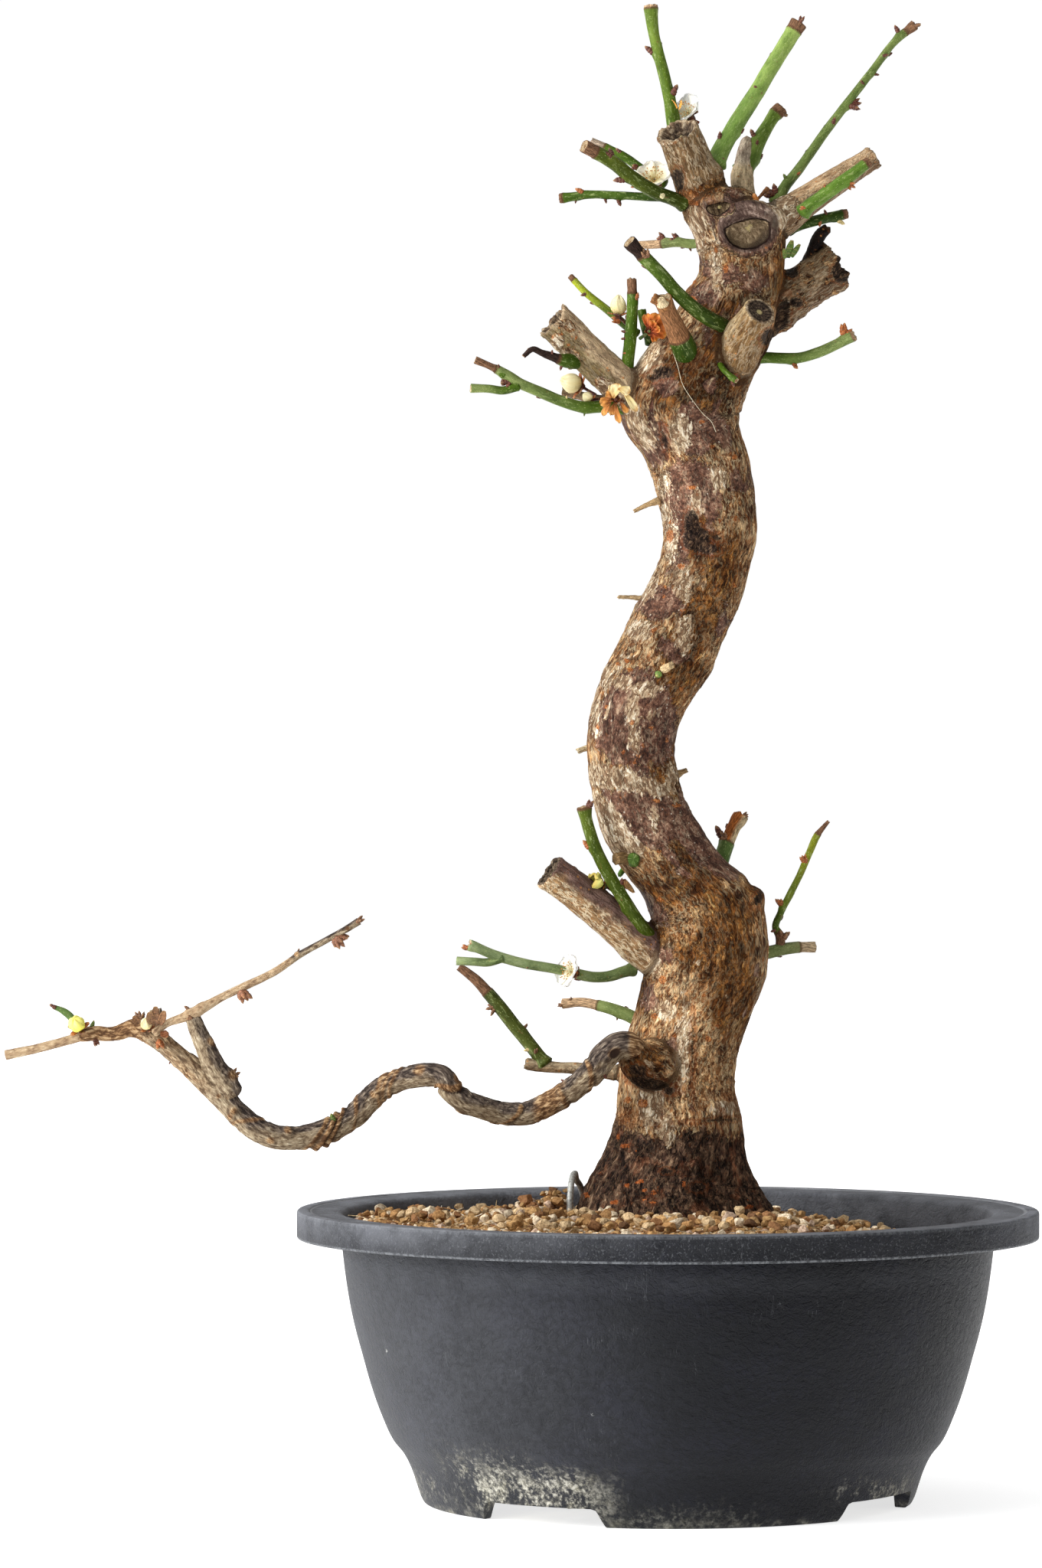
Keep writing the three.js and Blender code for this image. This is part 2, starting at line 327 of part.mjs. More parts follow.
for (const [name, path] of SHOOTS) {
  const sides = path[0][3] > 3.5 ? 8 : 6;
  const build = (grow) => union([sweep(path, sides, grow),
    ...FORKS.filter(([n]) => n === name).map(([, arm]) => sweep(arm, 6, grow))]);
  const solid = clear(build(0));
  pieces.push([solid, build(GAP)]);
  put(name, solid, 0x4f7a3a, 0.5);
}

function blossomSolid(form, centre, facing, R) {
  const axis = new THREE.Vector3(...facing).normalize();
  const frame = new THREE.Quaternion().setFromUnitVectors(new THREE.Vector3(0, 0, 1), axis);
  const c = new THREE.Vector3(...centre);
  const sides = form === 'open' ? 15 : form === 'bud' ? 8 : 10;
  const lobes = form === 'bud' ? 0 : 0.16;
  const rings = {
    open: [[0.34, -0.22], [0.98, 0.16], [0.8, 0.32]],
    half: [[0.55, -0.5], [1.0, 0.15], [0.72, 0.72]],
    wilt: [[0.5, -0.45], [0.95, 0.1], [0.6, 0.8]],
    bud: [[0.55, -0.8], [0.95, -0.25], [0.95, 0.3], [0.5, 0.8]],
  }[form];
  const ends = { open: [-0.34, 0.1], half: [-0.7, 0.35], wilt: [-0.7, 0.4], bud: [-1, 1] }[form];
  const at = (x, y, z) => new THREE.Vector3(x * R, y * R, z * R).applyQuaternion(frame).add(c);
  const skin = rings.map(([r, z]) => Array.from({ length: sides }, (_, j) => {
    const a = (2 * Math.PI * j) / sides;
    const k = r * (1 - lobes + lobes * Math.abs(Math.cos(2.5 * a)));
    return at(k * Math.cos(a), k * Math.sin(a), z);
  }));
  return toSolid(loft(skin, at(0, 0, ends[0]), at(0, 0, ends[1])));
}

for (const [name, form, centre, facing, R] of BLOSSOMS) {
  const solid = clear(blossomSolid(form, centre, facing, R));
  pieces.push([solid, blossomSolid(form, centre, facing, R + GAP)]);
  put(name, solid, form === 'wilt' ? 0xb9702a : 0xf2ecd2, 0.6);
}

// ---------------------------------------------------------------- tie wire

const wirePath = (grow) => sweep(WIRE.map((p) => [...p, WIRE_R]), 8, grow);
put('tie_wire', wirePath(0), 0xa9aaa8, 0.45, 0.9);
pieces.push([wirePath(0), wirePath(GAP)]);

// ---------------------------------------------------------------- pot

function drainPlaces() {
  return [0, 1, 2, 3].map((k) => {
    const a = THREE.MathUtils.degToRad(FOOT_ANGLE - 45 + 90 * k);
    return [POT_X + SIDE_DRAIN_PITCH * Math.sin(a), -SIDE_DRAIN_PITCH * Math.cos(a), a];
  });
}

function potSolid() {
  let pot = toSolid(lathe(POT_PROFILE, true));
  if (pot.volume() < 0) throw new Error('pot profile runs the wrong way');
  for (const [x, y] of drainPlaces()) {
    const hole = new THREE.CylinderGeometry(SIDE_DRAIN_R, SIDE_DRAIN_R, 12, 16);
    hole.rotateX(Math.PI / 2);
    hole.translate(x, y, FLOOR_Z + FLOOR_T / 2);
    pot = pot.subtract(toSolid(hole));
  }
  for (let k = 0; k < 4; k++) {
    const shape = new THREE.Shape([
      new THREE.Vector2(-GAP_HALF_BOTTOM, -1), new THREE.Vector2(GAP_HALF_BOTTOM, -1),
      new THREE.Vector2(GAP_HALF_TOP, FLOOR_Z), new THREE.Vector2(-GAP_HALF_TOP, FLOOR_Z)]);
    const cut = new THREE.ExtrudeGeometry(shape, { depth: 60, bevelEnabled: false });
    cut.rotateX(Math.PI / 2);                        // outline stands up, depth runs to -Y
    cut.translate(0, -55, 0);
    cut.rotateZ(THREE.MathUtils.degToRad(FOOT_ANGLE - 45 + 90 * k));
    cut.translate(POT_X, 0, 0);
    pot = pot.subtract(toSolid(cut));
  }
  return pot;
}
put('pot', potSolid(), 0x3d3f45, 0.7);

// ---------------------------------------------------------------- drainage screens

function screen(x, y, turn, size, openings) {
  const bar = 2.2;
  const step = (size - bar) / openings;
  let plate = toSolid(new THREE.BoxGeometry(size, size, SCREEN_T));
  for (let i = 0; i < openings; i++) for (let j = 0; j < openings; j++) {
    const opening = new THREE.BoxGeometry(step - bar, step - bar, 4);
    opening.translate((i - (openings - 1) / 2) * step, (j - (openings - 1) / 2) * step, 0);
    plate = plate.subtract(toSolid(opening));
  }
  return plate.transform(new THREE.Matrix4().makeRotationZ(turn)
    .setPosition(x, y, FLOOR_Z + FLOOR_T + 0.3 + SCREEN_T / 2).toArray());
}

function screenSpace(x, y, turn, size) {
  const box = new THREE.BoxGeometry(size + 2 * GAP, size + 2 * GAP, 4);
  box.rotateZ(turn);
  box.translate(x, y, FLOOR_Z + FLOOR_T + 0.3 + SCREEN_T + GAP - 2);
  return toSolid(box);
}

const screenSpaces = [screenSpace(POT_X, 0, 0.2, 44)];
put('screen_centre', screen(POT_X, 0, 0.2, 44, 5), 0x1c1d1f, 0.6);
drainPlaces().forEach(([x, y, a], k) => {
  put('screen_' + 'abcd'[k], screen(x, y, a, 22, 3), 0x1c1d1f, 0.6);
  screenSpaces.push(screenSpace(x, y, a, 22));
});

// ---------------------------------------------------------------- soil

// Height of the soil surface: level with the rim at the left and front, lower at the right,
// and heaped up by the left root shoulder.
function soilHeight(x, y) {
  const dx = x - POT_X;
  let z = 115.2 - 3.5 * THREE.MathUtils.smoothstep(y, 20, 110);
  z -= 6 * THREE.MathUtils.smoothstep(dx, 30, 85) + 8 * THREE.MathUtils.smoothstep(dx, 75, 125);
  z += 9 * Math.exp(-((dx + 45) ** 2 + (y + 4) ** 2) / (2 * 10 ** 2));
  return z;
}

function soilSolid() {
  const grow = -GAP;
  const rows = SOIL_WALL.map(([r, z]) => [r + grow, z]);
  const rings = rows.map(([r, z]) => Array.from({ length: POT_SEGMENTS }, (_, j) => {
    const a = (2 * Math.PI * j) / POT_SEGMENTS;
    return new THREE.Vector3(POT_X + r * Math.cos(a), r * Math.sin(a), z);
  }));
  // the wall carries on to the surface at each place, then rings run in over the surface
  const wallRadius = (z) => 127.6 + (z - 93) * 0.1 + grow;
  for (const f of [1, 0.86, 0.66, 0.46, 0.25]) {
    rings.push(Array.from({ length: POT_SEGMENTS }, (_, j) => {
      const a = (2 * Math.PI * j) / POT_SEGMENTS;
      const edge = wallRadius(soilHeight(POT_X + 127 * Math.cos(a), 127 * Math.sin(a)));
      const x = POT_X + edge * f * Math.cos(a), y = edge * f * Math.sin(a);
      return new THREE.Vector3(x, y, soilHeight(x, y));
    }));
  }
  let soil = toSolid(loft(rings, new THREE.Vector3(POT_X, 0, SOIL_BASE), new THREE.Vector3(POT_X, 0, soilHeight(POT_X, 0))));
  soil = soil.subtract(woodGrown).subtract(wirePath(GAP));
  for (const s of screenSpaces) soil = soil.subtract(s);
  return largest(soil);
}
put('soil', soilSolid(), 0xb08a58, 0.95);

export default group;
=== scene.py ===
import bpy
import math
import numpy as np
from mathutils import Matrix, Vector


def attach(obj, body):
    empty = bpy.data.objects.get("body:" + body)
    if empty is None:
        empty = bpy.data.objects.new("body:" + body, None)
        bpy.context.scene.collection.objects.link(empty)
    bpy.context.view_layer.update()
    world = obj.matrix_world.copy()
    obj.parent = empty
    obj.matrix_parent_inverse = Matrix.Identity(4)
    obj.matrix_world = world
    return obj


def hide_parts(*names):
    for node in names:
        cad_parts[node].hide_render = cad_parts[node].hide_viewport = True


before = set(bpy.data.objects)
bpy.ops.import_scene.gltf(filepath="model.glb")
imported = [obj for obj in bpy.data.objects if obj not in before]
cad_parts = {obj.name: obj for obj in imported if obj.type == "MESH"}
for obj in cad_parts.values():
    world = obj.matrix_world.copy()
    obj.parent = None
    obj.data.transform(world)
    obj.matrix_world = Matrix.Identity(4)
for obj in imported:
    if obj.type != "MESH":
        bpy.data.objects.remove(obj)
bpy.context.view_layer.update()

MM = 0.001

# The photograph's viewing geometry, in millimetres: a level camera on the Y axis.
# EYE is its distance in front of y = 0, EYE_Z its height and FOCAL its focal length in picture
# pixels of a 1361 x 2048 frame. Places on the front are given in those pixels.
EYE, EYE_Z, FOCAL, MID_X, MID_Y = 2531.0, 290.3, 8157.0, 680.5, 1024.0


def to_px(v):
    """Picture coordinates of points in millimetres."""
    k = FOCAL / (EYE + v[:, 1])
    return MID_X + k * v[:, 0], MID_Y + k * (EYE_Z - v[:, 2])


def at(px, py, y, r=None):
    """The point in millimetres behind a picture place, at depth y; r is in picture pixels."""
    s = (EYE + y) / FOCAL
    p = [(px - MID_X) * s, y, EYE_Z - (py - MID_Y) * s]
    return p + [r * s] if r is not None else p


# ------------------------------------------------------------------ numbers

_rng = np.random.default_rng(11)
_PERM = np.tile(_rng.permutation(256), 2)
_GRAD = _rng.normal(size=(256, 3))
_GRAD /= np.linalg.norm(_GRAD, axis=1)[:, None]


def noise(p):
    """Gradient noise, about -1 to 1, at points p (n, 3)."""
    p = np.asarray(p, float)
    i = np.floor(p).astype(np.int64)
    f = p - i
    i &= 255
    u = f * f * f * (f * (f * 6 - 15) + 10)
    X, Y, Z = i.T
    fx, fy, fz = f.T

    def corner(dx, dy, dz):
        h = _PERM[(_PERM[(_PERM[(X + dx) & 255] + Y + dy) & 255] + Z + dz) & 255]
        g = _GRAD[h]
        return g[:, 0] * (fx - dx) + g[:, 1] * (fy - dy) + g[:, 2] * (fz - dz)

    def mix(a, b, t):
        return a + (b - a) * t

    x00 = mix(corner(0, 0, 0), corner(1, 0, 0), u[:, 0])
    x10 = mix(corner(0, 1, 0), corner(1, 1, 0), u[:, 0])
    x01 = mix(corner(0, 0, 1), corner(1, 0, 1), u[:, 0])
    x11 = mix(corner(0, 1, 1), corner(1, 1, 1), u[:, 0])
    return 1.75 * mix(mix(x00, x10, u[:, 1]), mix(x01, x11, u[:, 1]), u[:, 2])


def fbm(p, octaves=3, gain=0.5):
    s, a, t = 0.0, 1.0, 0.0
    for k in range(octaves):
        s = s + a * noise(np.asarray(p) * 2.03 ** k + 17.1 * k)
        t += a
        a *= gain
    return s / t


def cells(p):
    """Nearest and second nearest distance to scattered points, one to a unit cell."""
    p = np.asarray(p, float)
    base = np.floor(p).astype(np.int64)
    d1 = np.full(len(p), 9.0)
    d2 = np.full(len(p), 9.0)
    for dx in (-1, 0, 1):
        for dy in (-1, 0, 1):
            for dz in (-1, 0, 1):
                c = base + (dx, dy, dz)
                k = c & 255
                h = _PERM[(_PERM[(_PERM[k[:, 0]] + k[:, 1]) & 255] + k[:, 2]) & 255]
                q = c + 0.5 + 0.42 * _GRAD[h]
                d = np.linalg.norm(q - p, axis=1)
                d2 = np.where(d < d1, d1, np.minimum(d2, d))
                d1 = np.minimum(d1, d)
    return d1, d2


def smooth(x, lo, hi):
    t = np.clip((np.asarray(x, float) - lo) / (hi - lo), 0, 1)
    return t * t * (3 - 2 * t)


def unit(v):
    v = np.asarray(v, float)
    return v / np.maximum(np.linalg.norm(v, axis=-1, keepdims=True), 1e-9)


# ------------------------------------------------------------------ curves

def through(pts, u):
    """Smooth curve through the rows of pts at parameters u, 0 to len(pts) - 1."""
    pts = np.asarray(pts, float)
    n = len(pts)
    d = np.maximum(np.linalg.norm(np.diff(pts[:, :3], axis=0), axis=1), 1e-6)
    sec = (pts[1:] - pts[:-1]) / d[:, None]
    m = np.empty_like(pts)
    m[0], m[-1] = sec[0], sec[-1]
    if n > 2:
        m[1:-1] = (sec[:-1] * d[1:, None] + sec[1:] * d[:-1, None]) / (d[1:] + d[:-1])[:, None]
    i = np.clip(np.floor(u).astype(int), 0, n - 2)
    t = (u - i)[:, None]
    h = d[i][:, None]
    a, b, ma, mb = pts[i], pts[i + 1], m[i] * h, m[i + 1] * h
    return ((2 * t ** 3 - 3 * t ** 2 + 1) * a + (t ** 3 - 2 * t ** 2 + t) * ma
            + (3 * t ** 2 - 2 * t ** 3) * b + (t ** 3 - t ** 2) * mb)


class Limb:
    """A centre line with radius, resampled evenly, with frames carried along it without twist.
    N starts towards the front (-Y); an angle of 0 round the limb is on N's side."""

    def __init__(self, pts, step=1.0):
        pts = np.asarray(pts, float)
        fine = through(pts, np.linspace(0, len(pts) - 1, (len(pts) - 1) * 24 + 1))
        s = np.concatenate([[0], np.cumsum(np.linalg.norm(np.diff(fine[:, :3], axis=0), axis=1))])
        n = max(4, int(round(s[-1] / step)) + 1)
        self.S = np.linspace(0, s[-1], n)
        q = np.stack([np.interp(self.S, s, fine[:, k]) for k in range(4)], 1)
        self.P, self.R, self.L = q[:, :3], q[:, 3], s[-1]
        self.T = unit(np.gradient(self.P, axis=0))
        ref = np.array([0.0, -1.0, 0.0])
        if abs(self.T[0] @ ref) > 0.9:
            ref = np.array([0.0, 0.0, 1.0])
        self.N = np.empty_like(self.T)
        nrm = ref
        for i, t in enumerate(self.T):
            nrm = unit(nrm - t * (nrm @ t))
            self.N[i] = nrm
        self.B = np.cross(self.T, self.N)

    def local(self, v, chunk=6000):
        """Along, across (two ways), distance and radius, of points v, from the nearest place."""
        out = np.empty((len(v), 5))
        for c in range(0, len(v), chunk):
            q = v[c:c + chunk]
            d2 = (q ** 2).sum(1)[:, None] - 2 * q @ self.P.T + (self.P ** 2).sum(1)[None]
            i = d2.argmin(1)
            dv = q - self.P[i]
            along = (dv * self.T[i]).sum(1)
            end = (i == 0) | (i == len(self.P) - 1)
            half = 0.5 * (self.S[1] - self.S[0])
            al = np.where(end, along, np.clip(along, -half, half))
            a, b = (dv * self.N[i]).sum(1), (dv * self.B[i]).sum(1)
            out[c:c + chunk] = np.stack([self.S[i] + al, a, b, np.hypot(a, b), self.R[i]], 1)
        return out

    def point(self, s):
        """Centre, tangent, N, B and radius at a distance s along."""
        g = [np.array([np.interp(s, self.S, m[:, k]) for k in range(3)]) for m in (self.P, self.T, self.N, self.B)]
        return g[0], unit(g[1]), unit(g[2]), unit(g[3]), float(np.interp(s, self.S, self.R))


# ------------------------------------------------------------------ mesh building

class Geo:
    """Faces of several closed skins, gathered for one mesh, with values on their points."""

    def __init__(self):
        self.v, self.q, self.t, self.qm, self.tm, self.at, self.n = [], [], [], [], [], [], 0

    def add(self, v, q=None, t=None, mat=0, **values):
        v = np.asarray(v, float)
        q = np.zeros((0, 4), int) if q is None else np.asarray(q, int).reshape(-1, 4)
        t = np.zeros((0, 3), int) if t is None else np.asarray(t, int).reshape(-1, 3)
        self.v.append(v)
        self.q.append(q + self.n)
        self.t.append(t + self.n)
        self.qm.append(np.broadcast_to(mat, len(q)) if np.ndim(mat) == 0 else np.asarray(mat)[:len(q)])
        self.tm.append(np.broadcast_to(mat, len(t)) if np.ndim(mat) == 0 else np.asarray(mat)[len(q):])
        self.at.append((len(v), values))
        self.n += len(v)
        return self

    def arrays(self):
        v, q, t = np.concatenate(self.v), np.concatenate(self.q), np.concatenate(self.t)
        out = {}
        for k in sorted({k for _, vals in self.at for k in vals}):
            wide = any(np.shape(vals.get(k, 0.0))[-1:] == (3,) for _, vals in self.at)
            rows = [np.broadcast_to(np.asarray(vals.get(k, 0.0), float), (n, 3) if wide else (n,)) for n, vals in self.at]
            out[k] = np.concatenate(rows)
        return v, q, t, np.concatenate(self.qm), np.concatenate(self.tm), out


def mesh_object(name, geo, materials, sharp=None):
    v, q, t, qm, tm, values = geo.arrays()
    me = bpy.data.meshes.new(name)
    me.vertices.add(len(v))
    me.vertices.foreach_set("co", (v * MM).astype(np.float32).ravel())
    loops = np.concatenate([q.ravel(), t.ravel()]).astype(np.int32)
    me.loops.add(len(loops))
    me.loops.foreach_set("vertex_index", loops)
    starts = np.concatenate([np.arange(len(q)) * 4, 4 * len(q) + np.arange(len(t)) * 3]).astype(np.int32)
    me.polygons.add(len(starts))
    me.polygons.foreach_set("loop_start", starts)
    me.polygons.foreach_set("material_index", np.concatenate([qm, tm]).astype(np.int32))
    me.polygons.foreach_set("use_smooth", np.ones(len(starts), bool))
    for k, x in values.items():
        if x.ndim == 2:
            a = me.attributes.new(k, "FLOAT_VECTOR", "POINT")
            a.data.foreach_set("vector", x.astype(np.float32).ravel())
        else:
            a = me.attributes.new(k, "FLOAT", "POINT")
            a.data.foreach_set("value", x.astype(np.float32))
    me.update(calc_edges=True)
    me.validate()
    if sharp is not None:
        me.set_sharp_from_angle(angle=math.radians(sharp))
    for m in materials:
        me.materials.append(m)
    ob = bpy.data.objects.new(name, me)
    bpy.context.scene.collection.objects.link(ob)
    return ob


def skin(rings, start=None, end=None):
    """Points and faces of a closed skin through rings (m, k, 3), with a fan at each end."""
    m, k = rings.shape[:2]
    v = rings.reshape(-1, 3)
    a = rings[0].mean(0) if start is None else np.asarray(start, float)
    b = rings[-1].mean(0) if end is None else np.asarray(end, float)
    v = np.concatenate([v, a[None], b[None]])
    j = np.arange(k)
    jn = (j + 1) % k
    i = np.arange(m - 1)[:, None] * k
    q = np.stack([i + j, i + jn, i + k + jn, i + k + j], -1).reshape(-1, 4)
    t = np.concatenate([np.stack([np.full(k, m * k), jn, j], 1),
                        np.stack([np.full(k, m * k + 1), (m - 1) * k + j, (m - 1) * k + jn], 1)])
    return v, q, t


def tube(limb, sides, radius=None, start_cap=((0.75, -0.25), (0.4, -0.4)), end_cap=((0.93, 0.0), (0.6, 0.05), (0.25, 0.0)),
         tip=None, end_shift=None):
    """Rings of a limb. radius(S, A, R) gives the radius at each place; the caps are rings of
    (share of the end radius, distance beyond the end as a share of it). Also returns each
    ring point's distance along, angle, and share of the radius (1 on the bark)."""
    A = np.arange(sides) * 2 * np.pi / sides
    S, R = limb.S, limb.R
    rr = np.repeat(R[:, None], sides, 1) if radius is None else radius(S[:, None], A[None], R[:, None])
    d = limb.N[:, None] * np.cos(A)[None, :, None] + limb.B[:, None] * np.sin(A)[None, :, None]
    rings = limb.P[:, None] + rr[..., None] * d
    along = np.repeat(S[:, None], sides, 1)
    share = np.ones_like(along)
    pre, post = [], []
    for f, o in start_cap:
        pre.append(limb.P[0] + f * rr[0][:, None] * d[0] + limb.T[0] * o * R[0])
    for f, o in end_cap:
        post.append(limb.P[-1] + f * rr[-1][:, None] * d[-1] + limb.T[-1] * o * R[-1])
    if end_shift is not None:      # ragged end: push the last rings' points along the limb
        sh = end_shift(A)
        rings[-1] += sh[:, None] * limb.T[-1]
        for k2, (f, o) in enumerate(end_cap):
            post[k2] = post[k2] + (sh * (0.4 + 0.6 * f))[:, None] * limb.T[-1]
    allr = np.concatenate([np.array(pre[::-1]).reshape(-1, sides, 3), rings, np.array(post).reshape(-1, sides, 3)])
    along = np.concatenate([np.zeros((len(pre), sides)), along, np.full((len(post), sides), limb.L)])
    share = np.concatenate([np.array([[f] * sides for f, _ in start_cap[::-1]]).reshape(-1, sides), share,
                            np.array([[f] * sides for f, _ in end_cap]).reshape(-1, sides)])
    end = None if tip is None else limb.P[-1] + limb.T[-1] * tip * R[-1]
    if end is None and len(post):
        end = post[-1].mean(0)
    v, q, t = skin(allr, None, end)
    along = np.concatenate([along.ravel(), [0, limb.L]])
    share = np.concatenate([share.ravel(), [0, 0]])
    ang = np.concatenate([np.tile(A, len(allr)), [0, 0]])
    return v, q, t, along, ang, share


def normals(v, q, t=None):
    n = np.zeros_like(v)
    if len(q):
        fn = np.cross(v[q[:, 2]] - v[q[:, 0]], v[q[:, 3]] - v[q[:, 1]])
        for k in range(4):
            for c in range(3):
                n[:, c] += np.bincount(q[:, k], fn[:, c], len(v))
    if t is not None and len(t):
        fn = np.cross(v[t[:, 1]] - v[t[:, 0]], v[t[:, 2]] - v[t[:, 0]])
        for k in range(3):
            for c in range(3):
                n[:, c] += np.bincount(t[:, k], fn[:, c], len(v))
    return unit(n)


def relax(v, q, rounds, amount=0.5):
    """Moves each point towards its neighbours' mean."""
    e = np.concatenate([q[:, [0, 1]], q[:, [1, 2]], q[:, [2, 3]], q[:, [3, 0]]])
    e = np.unique(np.sort(e, 1), axis=0)
    cnt = np.bincount(e.ravel(), minlength=len(v)).astype(float)
    cnt[cnt == 0] = 1
    for r in range(rounds):
        for lam in ((amount, -amount * 1.04) if rounds > 1 else (amount,)):
            s = np.stack([np.bincount(e[:, 0], v[e[:, 1], c], len(v)) + np.bincount(e[:, 1], v[e[:, 0], c], len(v)) for c in range(3)], 1)
            v = v + lam * (s / cnt[:, None] - v)
    return v


def blur(x, q, rounds):
    e = np.concatenate([q[:, [0, 1]], q[:, [1, 2]], q[:, [2, 3]], q[:, [3, 0]]])
    e = np.unique(np.sort(e, 1), axis=0)
    cnt = np.bincount(e.ravel(), minlength=len(x)).astype(float)
    for r in range(rounds):
        s = np.bincount(e[:, 0], x[e[:, 1]], len(x)) + np.bincount(e[:, 1], x[e[:, 0]], len(x))
        x = 0.5 * x + 0.5 * s / np.maximum(cnt, 1)
    return x


def voxel_union(parts, size):
    """One closed skin round all the given closed skins, on a grid of that size (mm)."""
    g = Geo()
    for v, q, t in parts:
        g.add(v, q, t)
    ob = mesh_object("union_tmp", g, [])
    mod = ob.modifiers.new("grid", "REMESH")
    mod.mode = "VOXEL"
    mod.voxel_size = size * MM
    mod.adaptivity = 0.0
    dg = bpy.context.evaluated_depsgraph_get()
    ev = ob.evaluated_get(dg)
    me = ev.to_mesh()
    v = np.empty(len(me.vertices) * 3, np.float32)
    me.vertices.foreach_get("co", v)
    li = np.empty(len(me.loops), np.int32)
    me.loops.foreach_get("vertex_index", li)
    tot = np.empty(len(me.polygons), np.int32)
    me.polygons.foreach_get("loop_total", tot)
    assert (tot == 4).all()
    v, q = v.reshape(-1, 3).astype(float) / MM, li.reshape(-1, 4).astype(int)
    ev.to_mesh_clear()
    src = ob.data
    bpy.data.objects.remove(ob)
    bpy.data.meshes.remove(src)
    return v, q
# ------------------------------------------------------------------ the object's lines, in millimetres

TRUNK = [
  [532.6, 80.3, -2.0, 7.5, 7.0],
  [530.3, 80.3, -2.0, 12.6, 11.8],
  [526.6, 80.9, -2.0, 15.0, 13.5],
  [522.2, 82.6, -2.0, 17.4, 15.5],
  [517.3, 85.9, -1.0, 18.5, 16.9],
  [511.2, 88.9, 0.0, 18.3, 17.4],
  [503.9, 89.6, 1.0, 17.7, 17.3],
  [496.5, 89.3, 2.0, 17.4, 16.8],
  [489.7, 86.0, 2.0, 19.4, 18.1],
  [482.1, 83.7, 1.0, 20.5, 18.3],
  [474.7, 80.2, 1.0, 22.7, 19.9],
  [466.9, 75.7, 1.0, 24.4, 21.0],
  [459.2, 71.1, 2.0, 25.3, 22.0],
  [451.5, 67.1, 3.0, 25.3, 23.3],
  [444.4, 64.5, 4.0, 25.5, 24.8],
  [437.0, 64.7, 5.0, 24.1, 23.3],
  [422.2, 71.6, 7.0, 21.3, 19.7],
  [407.3, 75.1, 7.0, 19.9, 19.2],
  [392.4, 76.9, 7.0, 19.1, 18.7],
  [377.4, 73.7, 5.0, 18.8, 17.6],
  [362.4, 67.4, 3.0, 21.0, 18.8],
  [347.4, 60.5, -1.0, 21.2, 18.9],
  [332.4, 53.4, -5.0, 21.4, 19.0],
  [317.5, 46.6, -8.0, 18.6, 17.4],
  [302.7, 44.4, -9.0, 17.6, 17.3],
  [287.8, 46.9, -8.0, 18.2, 17.3],
  [273.0, 52.3, -6.0, 20.3, 17.8],
  [258.1, 61.8, -4.0, 22.6, 18.0],
  [243.2, 73.8, -2.0, 23.7, 20.8],
  [228.3, 76.8, -1.0, 23.3, 22.8],
  [213.3, 74.6, 0.0, 24.8, 23.7],
  [198.5, 70.1, 0.0, 24.0, 22.4],
  [183.6, 65.0, 0.0, 23.6, 22.5],
  [168.7, 63.1, 0.0, 23.6, 23.1],
  [153.8, 63.8, 0.0, 25.8, 25.2],
  [138.9, 61.9, 0.0, 29.5, 24.7],
  [131.4, 60.2, 0.0, 32.7, 27.5],
  [124.0, 60.0, 0.0, 36.3, 30.5],
  [116.2, 60.5, 0.0, 39.6, 33.4],
  [108.0, 60.5, 0.0, 39.5, 33.0],
  [98.0, 60.5, 0.0, 38.0, 32.0],
  [88.0, 60.5, 0.0, 32.0, 29.0],
  [79.0, 60.5, 0.0, 20.0, 20.0],
]

